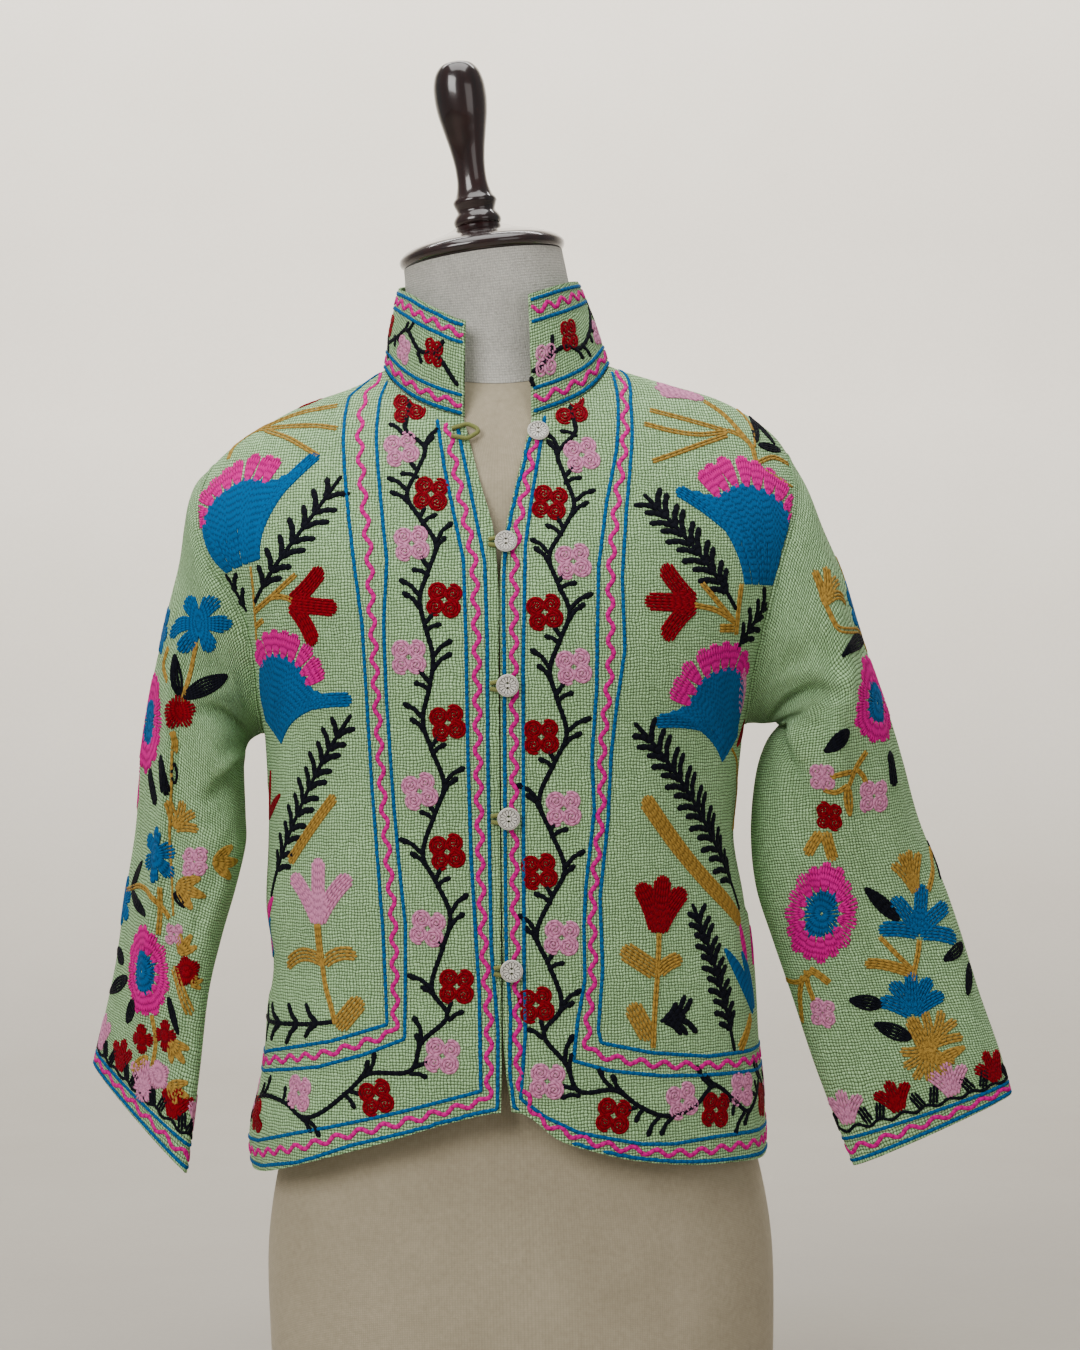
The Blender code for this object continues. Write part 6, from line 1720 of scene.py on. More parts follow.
# The embroidery, read off its charts. Each row gives a kind of motif, its foot and tip (or the line
# that a stalk follows) in millimetres of its chart, and then what the kind's function takes.
motifs = {
    "front_right": [
        ("stalk", [(-218, 723), (-220, 735), (-212, 742), (-194, 747)], 2),
        ("stalk", [(-212, 744), (-191, 749), (-161, 757), (-127, 761)], 2),
        ("stalk", [(-196, 746), (-157, 746), (-139, 745), (-122, 742)], 2),
        ("stalk", [(-189, 745), (-159, 735), (-146, 728), (-134, 721)], 2),
        ("stalk", [(-216, 740), (-196, 750), (-180, 763)], 1),
        ("leaf", (-170, 762), (-137, 774), "red", 36, 9),
        ("palmette", (-196, 641), (-205, 727), 100, 95),
        ("palmette", (-197, 520), (-154, 590), 92, 86),
        ("fern", (-192, 614), (-113, 708), 116, 15, 7, 3),
        ("fern", (-204, 608), (-215, 636), 32, 13, 2),
        ("stalk", [(-188, 641), (-190, 623), (-194, 608), (-200, 587)], 1),
        ("stalk", [(-194, 608), (-174, 618), (-150, 634)], 2),
        ("stalk", [(-174, 618), (-163, 618), (-154, 615)], 2),
        ("stalk", [(-198, 597), (-186, 602)], 2),
        ("tulip", (-157, 613), (-114, 608), "red", 39, 3, 50, 0.29),
        ("fern", (-197, 400), (-111, 532), 157, 14, 11, -5),
        ("leaf", (-222, 456), (-210, 492), "red", 38, 6),
        ("leaf", (-222, 456), (-185, 475), "red", 41, 7),
        ("leaf", (-172, 426), (-126, 475), "ochre", 67, 7.5, "blunt"),
        ("tulip", (-141, 384), (-141, 430), "pale", 47, 3, 39, 0.25),
        ("stalk", [(-142, 384), (-141, 368), (-139, 354)], 3),
        ("stalk", [(-139, 356), (-136, 339), (-131, 325), (-127, 312)], 2),
        ("leaf", (-137, 356), (-180, 351), "ochre", 43, 9, "blunt", 7),
        ("leaf", (-137, 355), (-109, 362), "ochre", 29, 9, "blunt", -4),
        ("leaf", (-126, 309), (-106, 331), "ochre", 30, 13, "blunt"),
        ("fern", (-128, 314), (-242, 310), 109, 16, 4, -3),
        ("leaf", (-250, 354), (-192, 401), "pink", 77, 12),
        ("leaf", (-250, 352), (-201, 385), "blue", 62, 9),
    ],
    "front_left": [
        ("tulip", (165, 763), (124, 771), "pale", 40, 3, 17, 0.27),
        ("stalk", [(197, 713), (196, 724), (187, 733), (176, 737)], 2),
        ("stalk", [(176, 736), (153, 742), (134, 747), (114, 752)], 2),
        ("stalk", [(176, 736), (151, 733), (127, 736), (108, 741)], 2),
        ("stalk", [(175, 733), (150, 725), (130, 718), (112, 712)], 2),
        ("stalk", [(194, 727), (186, 738), (176, 751), (163, 761)], 2),
        ("stalk", [(199, 724), (201, 742), (196, 756)], 1),
        ("stalk", [(198, 712), (216, 717), (234, 712)], 2),
        ("stalk", [(203, 707), (217, 700), (231, 694)], 1),
        ("leaf", (201, 728), (208, 750), "black", 39, 6),
        ("leaf", (203, 726), (230, 723), "black", 25, 8),
        ("leaf", (207, 748), (223, 727), "black", 30, 6),
        ("palmette", (203, 621), (186, 717), 108, 100, -1, 0.55),
        ("palmette", (193, 502), (150, 574), 98, 92, -1, 0.6),
        ("fern", (179, 603), (103, 689), 109, 15, 10, 2),
        ("stalk", [(182, 622), (181, 610), (181, 585)], 2),
        ("tulip", (142, 608), (99, 610), "red", 39, 3, 48, 0.31),
        ("stalk", [(141, 607), (160, 603), (179, 594)], 2),
        ("stalk", [(147, 623), (160, 610), (177, 595)], 2),
        ("stalk", [(179, 590), (164, 590)], 3),
        ("fern", (183, 574), (216, 612), 51, 14, 4),
        ("leaf", (207, 528), (196, 562), "pale", 39, 11),
        ("leaf", (209, 504), (261, 532), "red", 56, 8),
        ("stalk", [(195, 503), (230, 482), (246, 462), (236, 440)], 1),
        ("fern", (199, 384), (93, 526), 176, 15, 15, 6),
        ("leaf", (197, 375), (101, 471), "ochre", 134, 11.5, "blunt", -6),
        ("tulip", (111, 374), (117, 415), "red", 41, 3, 30, 0.33),
        ("stalk", [(112, 374), (111, 358), (109, 344)], 2),
        ("stalk", [(110, 346), (107, 319), (105, 292)], 2),
        ("leaf", (111, 345), (82, 364), "ochre", 35, 13, "blunt"),
        ("leaf", (110, 345), (131, 355), "ochre", 23, 10, "blunt", -2),
        ("leaf", (103, 298), (88, 325), "ochre", 31, 13, "blunt"),
        ("fern", (111, 311), (133, 313), 22, 15, 3),
        ("fern", (178, 284), (141, 393), 115, 12, 11, 3),
        ("leaf", (213, 308), (170, 359), "blue", 66, 11),
        ("leaf", (219, 311), (192, 355), "blue", 51, 12),
        ("leaf", (202, 346), (194, 375), "pink", 30, 8),
        ("leaf", (228, 342), (238, 370), "pink", 31, 8),
        ("leaf", (183, 284), (205, 308), "ochre", 33, 6.5, "blunt"),
    ],
    "sleeve_right": [
        ("star", (16, 364), (9, 389), "blue", 24),
        ("star", (75, 328), (87, 338), "blue", 21),
        ("stalk", [(13, 353), (10, 335), (11, 311)], 2),
        ("stalk", [(45, 327), (47, 316), (34, 310)], 2),
        ("leaf", (14, 312), (31, 329), "black", 32, 9),
        ("leaf", (11, 313), (-35, 373), "black", 36, 13),
        ("star", (13, 302), (15, 312), "red", 14, 5),
        ("stalk", [(18, 285), (14, 280), (14, 273)], 3),
        ("daisy", (66, 274), (75, 298), 60, 76),
        ("leaf", (52, 249), (31, 230), "black", 31, 8, "blunt"),
        ("leaf", (32, 263), (17, 243), "black", 31, 9, "blunt"),
        ("leaf", (11, 252), (13, 266), "black", 16, 5),
        ("stalk", [(16, 273), (13, 247), (9, 212), (2, 185), (-6, 160)], 1),
        ("tulip", (7, 222), (-6, 248), "ochre", 23, 3, 52, 0.36),
        ("star", (21, 197), (24, 218), "blue", 22),
        ("rosette", (-15, 206), (-14, 214), "pale", 12.5),
        ("trefoil", (-30, 213), (-81, 230), "ochre", 24, 36),
        ("trefoil", (-3, 183), (-32, 184), "ochre", 27, 32),
        ("leaf", (-2, 177), (-15, 170), "black", 15, 6.5),
        ("stalk", [(81, 160), (29, 170), (9, 165), (-3, 157)], 2),
        ("stalk", [(10, 177), (6, 160), (4, 142)], 2),
        ("star", (81, 152), (83, 172), "blue", 20),
        ("leaf", (66, 163), (45, 187), "black", 36, 9),
        ("leaf", (63, 162), (20, 152), "black", 42, 8.5),
        ("daisy", (14, 112), (18, 146), 56, 72),
        ("leaf", (52, 110), (77, 118), "black", 25, 9),
        ("leaf", (39, 101), (75, 80), "black", 42, 11),
        ("leaf", (22, 89), (31, 65), "black", 24, 11),
        ("leaf", (-14, 100), (-30, 77), "black", 29, 6),
        ("rosette", (-10, 147), (-9, 154), "pale", 9),
        ("trefoil", (-19, 134), (-27, 155), "ochre", 18, 32),
        ("star", (-28, 123), (-24, 132), "red", 12, 5),
        ("leaf", (-15, 124), (-38, 93), "ochre", 39, 7, "blunt"),
        ("trefoil", (-34, 114), (-43, 120), "ochre", 10, 40),
        ("stalk", [(0, 82), (-8, 65), (-8, 45)], 2),
        ("star", (6, 61), (8, 72), "red", 12, 4),
        ("star", (-17, 72), (-15, 82), "red", 12.5, 4),
        ("trefoil", (-23, 70), (-39, 59), "ochre", 20, 34),
        ("leaf", (-2, 51), (12, 32), "ochre", 21, 7.5),
        ("star", (-16, 43), (-12, 52), "pale", 12, 5),
        ("star", (-2, 25), (1, 35), "pale", 11, 5),
        ("trefoil", (-27, 41), (-48, 41), "ochre", 20, 34),
    ],
    "sleeve_left": [
        ("tulip", (30, 391), (64, 394), "ochre", 29, 3, 42, 0.34),
        ("stalk", [(99, 392), (95, 378), (79, 366), (69, 352)], 1),
        ("stalk", [(30, 393), (27, 379), (71, 360)], 2),
        ("star", (85, 370), (91, 380), "blue", 23),
        ("leaf", (75, 358), (14, 362), "black", 55, 10.5),
        ("daisy", (51, 328), (71, 348), 62, 77),
        ("leaf", (13, 316), (-11, 303), "black", 28, 11.5),
        ("leaf", (56, 297), (52, 270), "black", 27, 8, "blunt"),
        ("stalk", [(30, 299), (18, 287), (9, 274)], 2),
        ("stalk", [(14, 285), (3, 284), (-7, 282)], 2),
        ("stalk", [(8, 275), (-2, 270), (-11, 273)], 2),
        ("leaf", (8, 275), (8, 251), "ochre", 24, 7),
        ("stalk", [(18, 287), (24, 281), (26, 274)], 2),
        ("rosette", (31, 264), (33, 276), "pale", 13.5),
        ("rosette", (-12, 283), (-12, 293), "pale", 11.5),
        ("rosette", (-8, 252), (-7, 261), "red", 12),
        ("leaf", (-15, 241), (-29, 224), "ochre", 21, 7.5, "blunt"),
        ("leaf", (-12, 241), (-10, 217), "ochre", 24, 7.5, "blunt"),
        ("daisy", (-32, 177), (-14, 219), 58, 81),
        ("stalk", [(-54, 132), (-48, 127), (-42, 120)], 3),
        ("stalk", [(-57, 131), (-59, 118), (-58, 106)], 2),
        ("stalk", [(-54, 129), (-66, 121), (-82, 122)], 2),
        ("stalk", [(-61, 126), (-67, 114), (-75, 89)], 2),
        ("rosette", (-54, 97), (-51, 107), "pale", 12),
        ("tulip", (47, 186), (48, 222), "ochre", 34, 3, 27, 0.28),
        ("stalk", [(85, 218), (71, 202), (58, 186)], 2),
        ("stalk", [(85, 224), (85, 204), (79, 193)], 1, "black", 3.5),
        ("tulip", (39, 156), (55, 193), "blue", 37, 5, 92, 0.29),
        ("leaf", (26, 167), (8, 194), "black", 36, 10),
        ("leaf", (76, 145), (50, 133), "black", 25, 9),
        ("leaf", (78, 130), (61, 106), "black", 26, 8),
        ("stalk", [(37, 151), (30, 135), (21, 119)], 2),
        ("stalk", [(25, 128), (15, 142), (7, 156)], 2),
        ("leaf", (23, 126), (-10, 135), "ochre", 37, 7.5, "blunt", 2),
        ("tulip", (13, 94), (22, 125), "blue", 32, 5, 64, 0.31),
        ("leaf", (-7, 102), (-31, 107), "black", 26, 11),
        ("leaf", (6, 75), (-18, 88), "black", 30, 11),
        ("leaf", (10, 92), (15, 59), "ochre", 34, 10, "blunt"),
        ("tulip", (17, 67), (41, 92), "ochre", 30, 3, 42, 0.33),
        ("tulip", (17, 66), (2, 38), "ochre", 27, 5, 70, 0.3),
        ("leaf", (17, 54), (44, 64), "ochre", 26, 8),
    ],
}
borders = {
    "front_right": [
        ([(-109, 792), (-120, 768), (-116, 735), (-100, 596), (-98, 542), (-96, 488), (-92, 429),
          (-89, 383), (-87, 313), (-131, 300), (-224, 284), (-270, 284)],
         [(-90, 786), (-92, 764), (-90, 730), (-81, 642), (-84, 596), (-83, 542), (-80, 480), (-76, 426),
          (-72, 383), (-74, 303), (-106, 291), (-143, 281), (-214, 272), (-270, 270)]),
        ([(-45, 746), (-39, 707), (-26, 641), (-25, 584), (-25, 499), (-24, 429), (-22, 383), (-20, 337),
          (-20, 266), (-79, 251), (-132, 239), (-215, 222), (-270, 219)],
         [(-30, 740), (-22, 699), (-11, 640), (-10, 584), (-11, 499), (-11, 429), (-11, 367), (-7, 306),
          (-6, 252), (-66, 239), (-115, 227), (-157, 213), (-210, 204), (-270, 203)]),
    ],
    "front_left": [
        ([(92, 783), (90, 756), (86, 722), (77, 682), (70, 635), (68, 581), (67, 547), (63, 501), (64, 462),
          (57, 409), (55, 381), (55, 343), (49, 312), (46, 286), (72, 278), (113, 272), (146, 270),
          (213, 267), (270, 268)],
         [(106, 786), (100, 757), (98, 730), (91, 674), (87, 627), (88, 575), (82, 539), (77, 501),
          (74, 455), (67, 400), (68, 350), (64, 307), (66, 298), (104, 289), (151, 283), (236, 282),
          (270, 282)]),
        ([(23, 731), (11, 697), (5, 667), (0, 640), (1, 564), (-2, 525), (-3, 471), (-3, 398), (0, 352),
          (2, 321), (0, 260), (10, 240), (36, 224), (61, 221), (90, 213), (120, 208), (246, 206), (270, 206)],
         [(34, 747), (29, 719), (24, 691), (18, 651), (15, 563), (14, 499), (13, 428), (12, 352), (12, 305),
          (8, 260), (25, 247), (49, 235), (94, 225), (121, 223), (158, 225), (209, 224), (270, 223)]),
    ],
}
vines = {
    "front_right": [
        ("red", -67, 757), ("pale", -71, 724), ("red", -49, 690), ("pale", -63, 654), ("red", -40, 613),
        ("pale", -66, 573), ("red", -39, 526), ("pale", -60, 478), ("red", -41, 435), ("pale", -56, 381),
        ("red", -36, 340), ("pale", -47, 291), ("red", -96, 261), ("pale", -162, 261), ("red", -221, 240),
        ("pale", -258, 250),
    ],
    "front_left": [
        ("red", 53, 753), ("pale", 60, 717), ("red", 36, 682), ("pale", 52, 639), ("red", 31, 603),
        ("pale", 51, 564), ("red", 27, 515), ("pale", 42, 464), ("red", 24, 420), ("pale", 39, 373),
        ("red", 20, 326), ("pale", 27, 272), ("red", 74, 246), ("pale", 128, 253), ("red", 157, 244),
        ("pale", 185, 256), ("red", 222, 244), ("pale", 256, 254),
    ],
}
def paint(piece, material):
    piece.data.materials.clear()
    piece.data.materials.append(material)


sage = groundCloth()
wool = woolThread()
cloth = {}
for side in ("right", "left"):
    cloth["front_" + side] = buildFront(side)
    cloth["sleeve_" + side] = buildSleeve(side)
cloth["back"] = buildBack()
cloth["collar"] = buildCollar()
for piece, _ in cloth.values():
    paint(piece, sage)
welts = {side: buildWelt(side) for side in ("right", "left")}
for piece in welts.values():
    paint(piece, sage)
print("cloth laid")

torso, neckCover = buildTorso(), buildNeck()
paint(torso, formLinen("Form linen", (186, 174, 149), (161, 150, 126), 1.3, 0.0003, 260.0))
paint(neckCover, formLinen("Neck cloth", (226, 224, 216), (150, 148, 142), 1.7, 0.0009, 620.0))
for piece in buildCap():
    paint(piece, darkWood())
print("form built")

enamel, cordFinish = buttonEnamel(), loopCord()
for number, (x, z, fastened) in enumerate(fastenings["rows"], 1):
    paint(buildButton(number, x, z, fastened), enamel)
    paint(buildLoop(number, x, z, fastened), cordFinish)
print("fastenings built")
# Embroidery that stands on charts alone: cuffs, collar and the middle of the back.
vineEnds = {"front_right": ((-84, 776), (-275, 243)), "front_left": ((58, 778), (275, 248))}
vineSeeds = {"front_right": 11, "front_left": 12}
cuffBand = {
    "clear": 52,  # the hidden half's motifs keep this far above the edge
    "sideFold": 12,  # and this far from the folds at the sides
    "rise": -34.0,  # the hidden half's motifs stand this much higher than those in front
    "lines": (3.0, 15.5),  # heights of the two blue lines above the edge
    "wave": (19.0, 2.3),  # wavelength and rise of a wavy line
    "vine": 20.5,
    "vineWave": (18.0, 1.6, 3.2),  # and its thread's width
    "foot": 23.0,
    "tulip": (3, 34, 0.30),  # lobes, spread and width of its flowers
    "tall": 27,
    "leaf": (15, 6.0, "blunt"),
    "flowers": {
        "sleeve_right": [("pale", -133), ("red", -98), ("pale", -64), ("red", -36), ("pale", -2), ("red", 31),
                         ("pale", 66), ("red", 101), ("pale", 134)],
        "sleeve_left": [("pale", -133), ("red", -97), ("pale", -60), ("red", -20), ("pale", 22), ("red", 60),
                        ("pale", 97), ("red", 132)],
    },
}
collarBand = {
    "low": (2.2, 14.5),
    "high": (50.5, 62.5),
    "flowers": [("red", 27), ("pale", 62), ("red", 98), ("pale", 134), ("red", 170), ("pale", 206),
                ("red", 242),
                ("pale", 278), ("red", 318), ("pale", 361), ("red", 404), ("pale", 429)],
    "radius": 10.5,
    "wave": (17.0, 2.2),
    "middle": (32.0, 4.5),  # height of the flowers, and how far they swing to either side of it
}
backBand = {
    "underNeck": (6.0, 20.0),  # how far the neckline's border lies below it
    "wave": (19.0, 2.3),  # wavelength and rise of a wavy line
    "borders": [([(-275, 268), (0, 270), (275, 270)], [(-275, 282), (0, 284), (275, 284)]),
                ([(-275, 206), (0, 205), (275, 203)], [(-275, 223), (0, 221), (275, 219)])],
    "vine": [("pale", -256, 254), ("red", -219, 244), ("pale", -180, 252), ("red", -140, 240),
             ("pale", -98, 252),
             ("red", -56, 240), ("pale", -14, 252), ("red", 28, 240), ("pale", 70, 252), ("red", 112, 240),
             ("pale", 154, 252), ("red", 196, 242), ("pale", 236, 250)],
    "middle": [
        ("stalk", [(2, 292), (-1, 322), (0, 354)], 2),
        ("stalk", [(0, 394), (2, 404), (1, 414)], 2),
        ("stalk", [(1, 491), (-2, 510), (0, 530)], 2),
        ("stalk", [(0, 583), (2, 600), (0, 615)], 2),
        ("daisy", (0, 655), (0, 700), 74, 80),
        ("daisy", (0, 452), (2, 500), 70, 76),
        ("star", (0, 556), (4, 590), "blue", 27),
        ("tulip", (0, 352), (2, 396), "red", 42, 3, 40, 0.3),
        ("leaf", (0, 336), (-40, 352), "ochre", 40, 12, "blunt", 4),
        ("leaf", (0, 336), (40, 350), "ochre", 40, 12, "blunt", -4),
        ("leaf", (0, 304), (-28, 328), "ochre", 34, 12, "blunt"),
        ("leaf", (0, 608), (-38, 590), "black", 42, 12),
        ("leaf", (0, 606), (38, 592), "black", 42, 12),
        ("leaf", (0, 510), (-36, 522), "black", 38, 11),
        ("leaf", (0, 508), (37, 518), "black", 38, 11),
        ("tulip", (-44, 556), (-64, 590), "pale", 38, 3, 38, 0.28),
        ("tulip", (44, 556), (66, 588), "pale", 38, 3, 38, 0.28),
        ("stalk", [(-2, 530), (-26, 540), (-45, 557)], 2),
        ("stalk", [(2, 528), (26, 538), (45, 557)], 2),
        ("rosette", (-52, 690), (-50, 710), "red", 13),
        ("rosette", (52, 688), (54, 708), "red", 13),
        ("rosette", (-56, 640), (-55, 655), "pale", 12),
        ("rosette", (57, 636), (58, 650), "pale", 12),
        ("fern", (-18, 390), (-62, 440), 66, 12, 5),
        ("fern", (18, 390), (62, 438), 66, 12, 5),
        ("fern", (-50, 500), (-62, 548), 44, 10, 4),
        ("fern", (50, 498), (62, 546), 44, 10, 4),
        ("star", (-60, 470), (-58, 490), "red", 15, 5),
        ("star", (60, 468), (62, 490), "red", 15, 5),
        ("trefoil", (-20, 720), (-36, 744), "ochre", 26),
        ("trefoil", (20, 720), (36, 744), "ochre", 26),
        ("leaf", (-40, 300), (-66, 332), "black", 38, 10),
        ("leaf", (40, 300), (66, 330), "black", 38, 10),
    ],
}


# All lines of a list of motifs. With fold, each is mirrored and moved up by rise: across a
# becomes fold(up) - a.
def motifLines(chart, rows, fold=None, rise=0.0):
    def moved(place):
        up = place[1] + rise
        return place if fold is None else (fold(up) - place[0], up)

    lines = []
    for kind, *row in rows:
        if kind == "stalk":
            route, *settings = row
            lines += stalk([moved(place) for place in route], *settings)
        else:
            foot, tip, *settings = row
            drawn = motifKinds[kind](*settings)
            lines += laid(chart, drawn, moved(foot), moved(tip), fold is not None)
    return lines


# A route kept clear of the front's free edge and hem: no nearer to them than the margin.
def clearOfEdge(outline, route, side, margin=2.6, near=4.0, hemTop=290):
    route = throughRoute(route)
    for point in route:
        beside = outline[np.abs(outline[:, 1] - point[1]) < near, 0]
        if len(beside):
            edge = beside.min() if side == "left" else beside.max()
            point[0] = max(point[0], edge + margin) if side == "left" else min(point[0], edge - margin)
        if point[1] < hemTop:
            below = outline[np.abs(outline[:, 0] - point[0]) < near, 1]
            point[1] = max(point[1], below.min() + margin) if len(below) else point[1]
    return route


def frontLines(name):
    lines = motifLines(charts["front"], motifs[name])
    outline, side = outlines[name], name[6:]
    for first, second in borders[name]:
        lines += border(*(clearOfEdge(outline, route, side) for route in (first, second)))
    return lines + vine(vines[name], seed=vineSeeds[name], ends=vineEnds[name])


def girthsOf(chart):  # round a sleeve at each row of its chart
    first, last = chartGrid["innerLine"]
    return chart["lengths"][:, last] - chart["lengths"][:, first]


# A sleeve: its motifs, the same again on the half behind the arm, and the cuff's band. Motifs
# that lie across the folds at the sides are left as they are.
def sleeveLines(name):
    chart = charts[name[7:]]
    girth = girthsOf(chart)
    ups = np.arange(len(girth)) * chartGrid["rowStep"]
    rise = cuffBand["rise"]
    rows = [row for row in motifs[name] if all(
        abs(place[0]) < np.interp(place[1] + rise, ups, girth) / 4 - cuffBand["sideFold"]
        and place[1] + rise > cuffBand["clear"]
        for place in (row[1] if row[0] == "stalk" else row[1:3]))]
    lines = motifLines(chart, motifs[name])
    lines += motifLines(chart, rows, lambda up: float(np.interp(up, ups, girth)) / 2, rise)
    half = girth[2] / 2 - 1.5
    low, high = cuffBand["lines"]
    lines += border([(-half, low), (half, low)], [(-half, high), (half, high)], cuffBand["wave"])
    s = np.linspace(-half, half, 150)
    length, rise, width = cuffBand["vineWave"]
    lines.append((np.stack([s, cuffBand["vine"] + rise * np.cos(2 * np.pi * s / length)], -1), width,
                  "black"))
    flowers = cuffBand["flowers"][name]
    for n, (colour, across) in enumerate(flowers):
        drawn = tulip(colour, cuffBand["tall"] - 2 * (n % 2), *cuffBand["tulip"])
        foot = (across, cuffBand["foot"])
        lines += laid(chart, drawn, foot, (across + 2 * (-1) ** n, cuffBand["foot"] + cuffBand["tall"]))
    for (_, here), (_, after) in zip(flowers, flowers[1:]):
        for share, lean in ((0.42, -6), (0.60, 5)):
            root = here + (after - here) * share
            drawn = leaf("black", *cuffBand["leaf"])
            lines += laid(chart, drawn, (root, cuffBand["vine"]), (root + lean, cuffBand["vine"] + 14))
    return lines


def collarLines():
    chart = charts["collar"]
    length = chart["step"][1] * (chart["points"].shape[1] - 1)
    ends = (1.0, length - 1.0)
    lines = []
    for low, high in (collarBand["low"], collarBand["high"]):
        lines += border(*([(end, up) for end in ends] for up in (low, high)), collarBand["wave"])
    middle, swing = collarBand["middle"]
    flowers = [(colour, across, middle + swing * (-1) ** n)
               for n, (colour, across) in enumerate(collarBand["flowers"]) if across < length - 8]
    lines += vine(flowers, collarBand["radius"], reach=15.0, seed=5, ends=((4, 20), (length - 3, 22)))
    return lines


def backLines():
    chart = charts["back"]
    field, middle = [], []
    for name in ("front_right", "front_left"):
        field += motifLines(chart, motifs[name], lambda up: 0.0)
    for first, second in backBand["borders"]:
        middle += border(first, second)
    turns, heights = backNeckline(40).T
    across, up = bodyAcross(chart, turns % 360, heights)
    near, far = backBand["underNeck"]
    middle += border(list(zip(across, up - near)), list(zip(across * 1.08, up - far)), backBand["wave"])
    middle += vine(backBand["vine"], seed=21, ends=((-275, 248), (275, 246)))
    return field, middle + motifLines(chart, backBand["middle"])


outlines = {name: outline for name, (_, outline) in cloth.items()}
sewn = {}
for name in ("front_right", "front_left", "sleeve_right", "sleeve_left"):
    front = name.startswith("front")
    lines = frontLines(name) if front else sleeveLines(name)
    chart = charts["front" if front else name[7:]]
    sewn[name] = [threadPiece("embroidery_" + name, chart, lines, outlines[name])]
sewn["collar"] = [threadPiece("embroidery_collar", charts["collar"], collarLines(), None)]
field, middle = backLines()
sewn["back"] = [threadPiece("embroidery_back_field", charts["back"], field, outlines["back"]),
                threadPiece("embroidery_back_middle", charts["back"], middle, outlines["back"])]
for pieces in sewn.values():
    for piece in pieces:
        paint(piece, wool)
        print(piece.name, len(piece.data.polygons), "faces")
print("embroidery sewn")


# Cut of a sheet in metres, and its area: by the corners of its outline, and on a sleeve by its
# girth from cuff to armhole.
def cutOf(outline):
    x, y = outline[:, 0] / 1000, outline[:, 1] / 1000
    area = abs(np.sum(x * np.roll(y, -1) - np.roll(x, -1) * y)) / 2
    return (float(np.ptp(x)), float(np.ptp(y))), float(area)


def sleeveCut(side):
    chart = charts[side]
    girth = girthsOf(chart) / 1000
    flat = (float(girth.max()), float(chart["fromCuff"][0] / 1000))
    return flat, float(girth.mean()) * flat[1]


laidOn = {
    "front_right": ["form_torso"], "front_left": ["form_torso"], "back": ["form_torso"],
    "sleeve_right": ["cloth_front_right", "cloth_back"],
    "sleeve_left": ["cloth_front_left", "cloth_back"],
}
for name, under in laidOn.items():
    sleeve = name.startswith("sleeve")
    flat, area = sleeveCut(name[7:]) if sleeve else cutOf(outlines[name])
    print(name, "cut", [round(size, 3) for size in flat], "m,", round(area, 4), "square metres")
collarLong = charts["collar"]["step"][1] * (charts["collar"]["points"].shape[1] - 1) / 1000
print("collar cut", round(collarLong, 3), collar["tall"] / 1000)

# The studio, in metres and degrees. The camera looks level along +y from its place; the wall turns
# up from the floor behind the part.
studio = {
    "distance": 2.3,
    "height": 0.55875,
    "aside": 0.0268,
    "roll": 1.0,  # degrees
    "lens": 54.52,
    "sensor": 24.0,
    "wall": 3.0,  # how far the wall stands behind the part
    "bend": 1.3,  # radius of the turn from floor to wall
    "half": 5.0,
    "front": -5.0,
    "top": 4.5,
    "plaster": ((246, 241, 232), (236, 230, 220), 1.2),
    # name, place, what it points at, size, watts, colour
    "lights": [
        ("Window", (-1.7, -2.6, 2.2), (0, 0, 0.6), (1.8, 1.6), 80, (1.0, 0.98, 0.96)),
        ("Room", (1.9, -2.4, 1.4), (0, 0, 0.5), (1.6, 1.6), 10, (1.0, 0.97, 0.94)),
        ("Ceiling", (0.0, -0.4, 3.2), (0, 0, 0.5), (2.4, 2.0), 62, (1.0, 0.99, 0.97)),
        ("Wall wash", (0.0, 1.3, 3.1), (0, 3.0, 1.4), (3.4, 0.8), 150, (1.0, 0.98, 0.95)),
    ],
    "world": (1.0, 0.98, 0.95, 1.0),
    "worldStrength": 0.29,
}


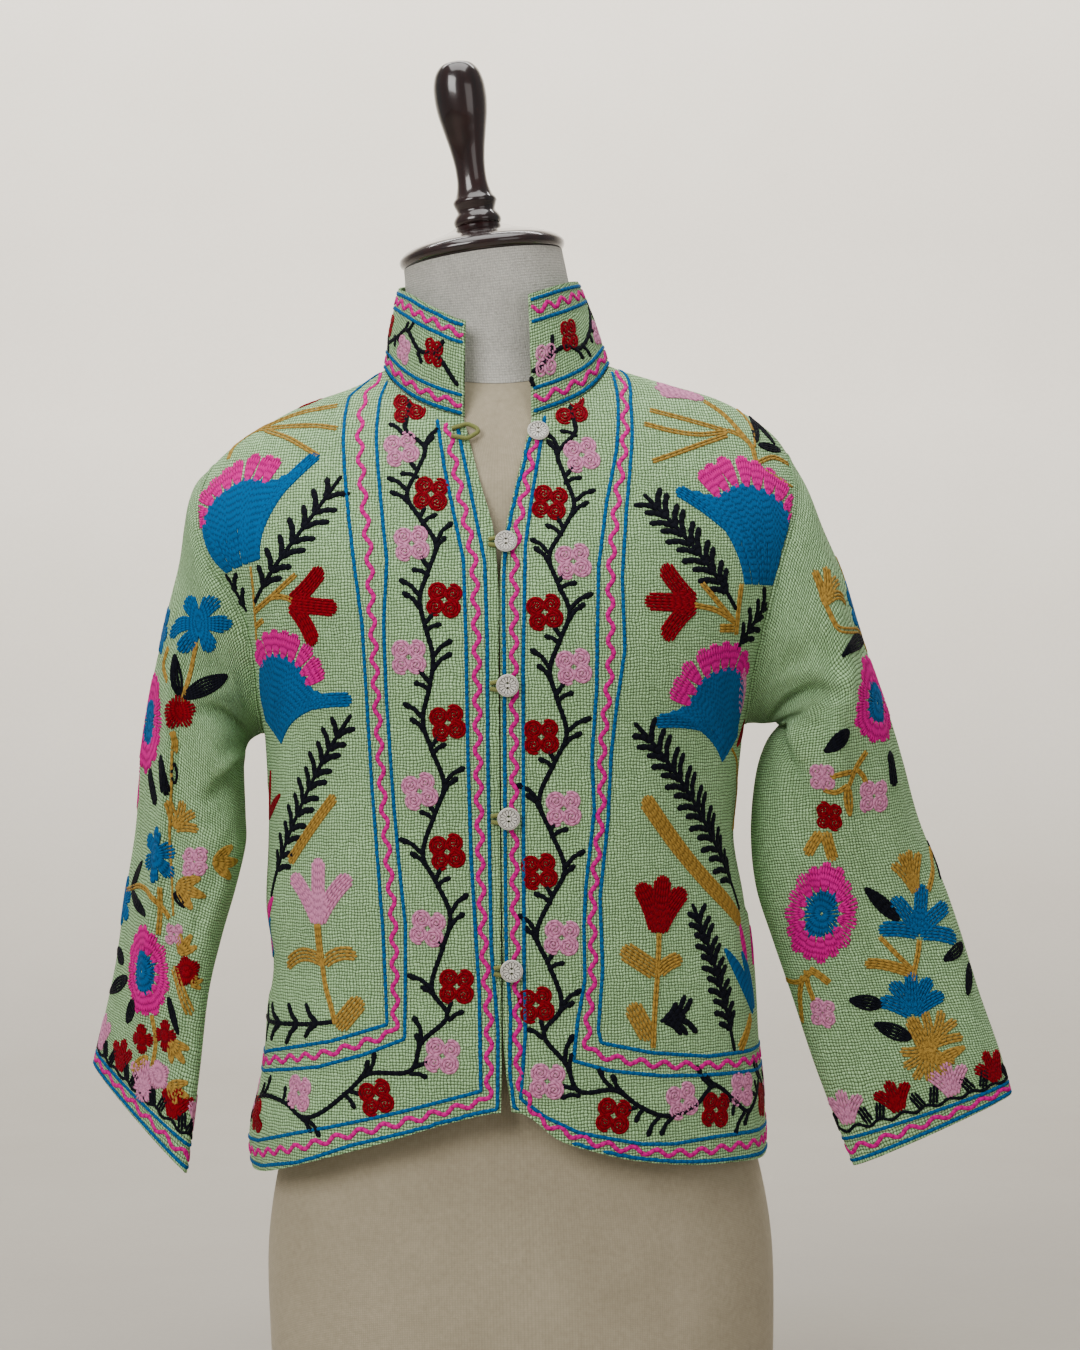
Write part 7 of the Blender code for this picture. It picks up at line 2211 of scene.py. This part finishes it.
def buildCamera():
    data = bpy.data.cameras.new("Camera")
    data.sensor_fit = "VERTICAL"
    data.sensor_height = studio["sensor"]
    data.lens = studio["lens"]
    data.clip_start, data.clip_end = 0.05, 60.0
    camera = bpy.data.objects.new("Camera", data)
    bpy.context.scene.collection.objects.link(camera)
    a = math.radians(studio["roll"])
    right, up = Vector((math.cos(a), 0, -math.sin(a))), Vector((math.sin(a), 0, math.cos(a)))
    place = Matrix((right, up, Vector((0, -1, 0)))).transposed().to_4x4()
    place.translation = Vector((studio["aside"], -studio["distance"], studio["height"]))
    camera.matrix_world = place
    bpy.context.scene.camera = camera


# Floor and wall in one sheet: flat, then a quarter circle, then upright.
def buildBackdrop():
    half, wall, radius = studio["half"], studio["wall"], studio["bend"]
    bend = np.linspace(0, np.pi / 2, 16)
    y = np.concatenate([[studio["front"]], wall - radius + radius * np.sin(bend), [wall]])
    z = np.concatenate([[0.0], radius - radius * np.cos(bend), [studio["top"]]])
    x = np.linspace(-half, half, 9)
    points = np.stack(np.broadcast_arrays(x[None], y[:, None], z[:, None]), -1)
    mesh = newMesh("backdrop", points, gridQuads(len(y), len(x)).tolist())
    mesh.shade_smooth()
    backdrop = bpy.data.objects.new("backdrop", mesh)
    bpy.context.scene.collection.objects.link(backdrop)
    backdrop.data.materials.append(paleWall("Pale plaster", *studio["plaster"]))


def addLight(name, place, aim, size, power, colour):
    data = bpy.data.lights.new(name, "AREA")
    data.shape = "RECTANGLE"
    data.size, data.size_y = size
    data.energy = power
    data.color = colour
    light = bpy.data.objects.new(name, data)
    light.location = place
    light.rotation_euler = (Vector(aim) - Vector(place)).to_track_quat("-Z", "Y").to_euler()
    bpy.context.scene.collection.objects.link(light)


buildCamera()
buildBackdrop()
for light in studio["lights"]:
    addLight(*light)
world = bpy.data.worlds.new("World")
bpy.context.scene.world = world
world.use_nodes = True
background = world.node_tree.nodes["Background"].inputs
background["Color"].default_value = studio["world"]
background["Strength"].default_value = studio["worldStrength"]
print("studio lit")
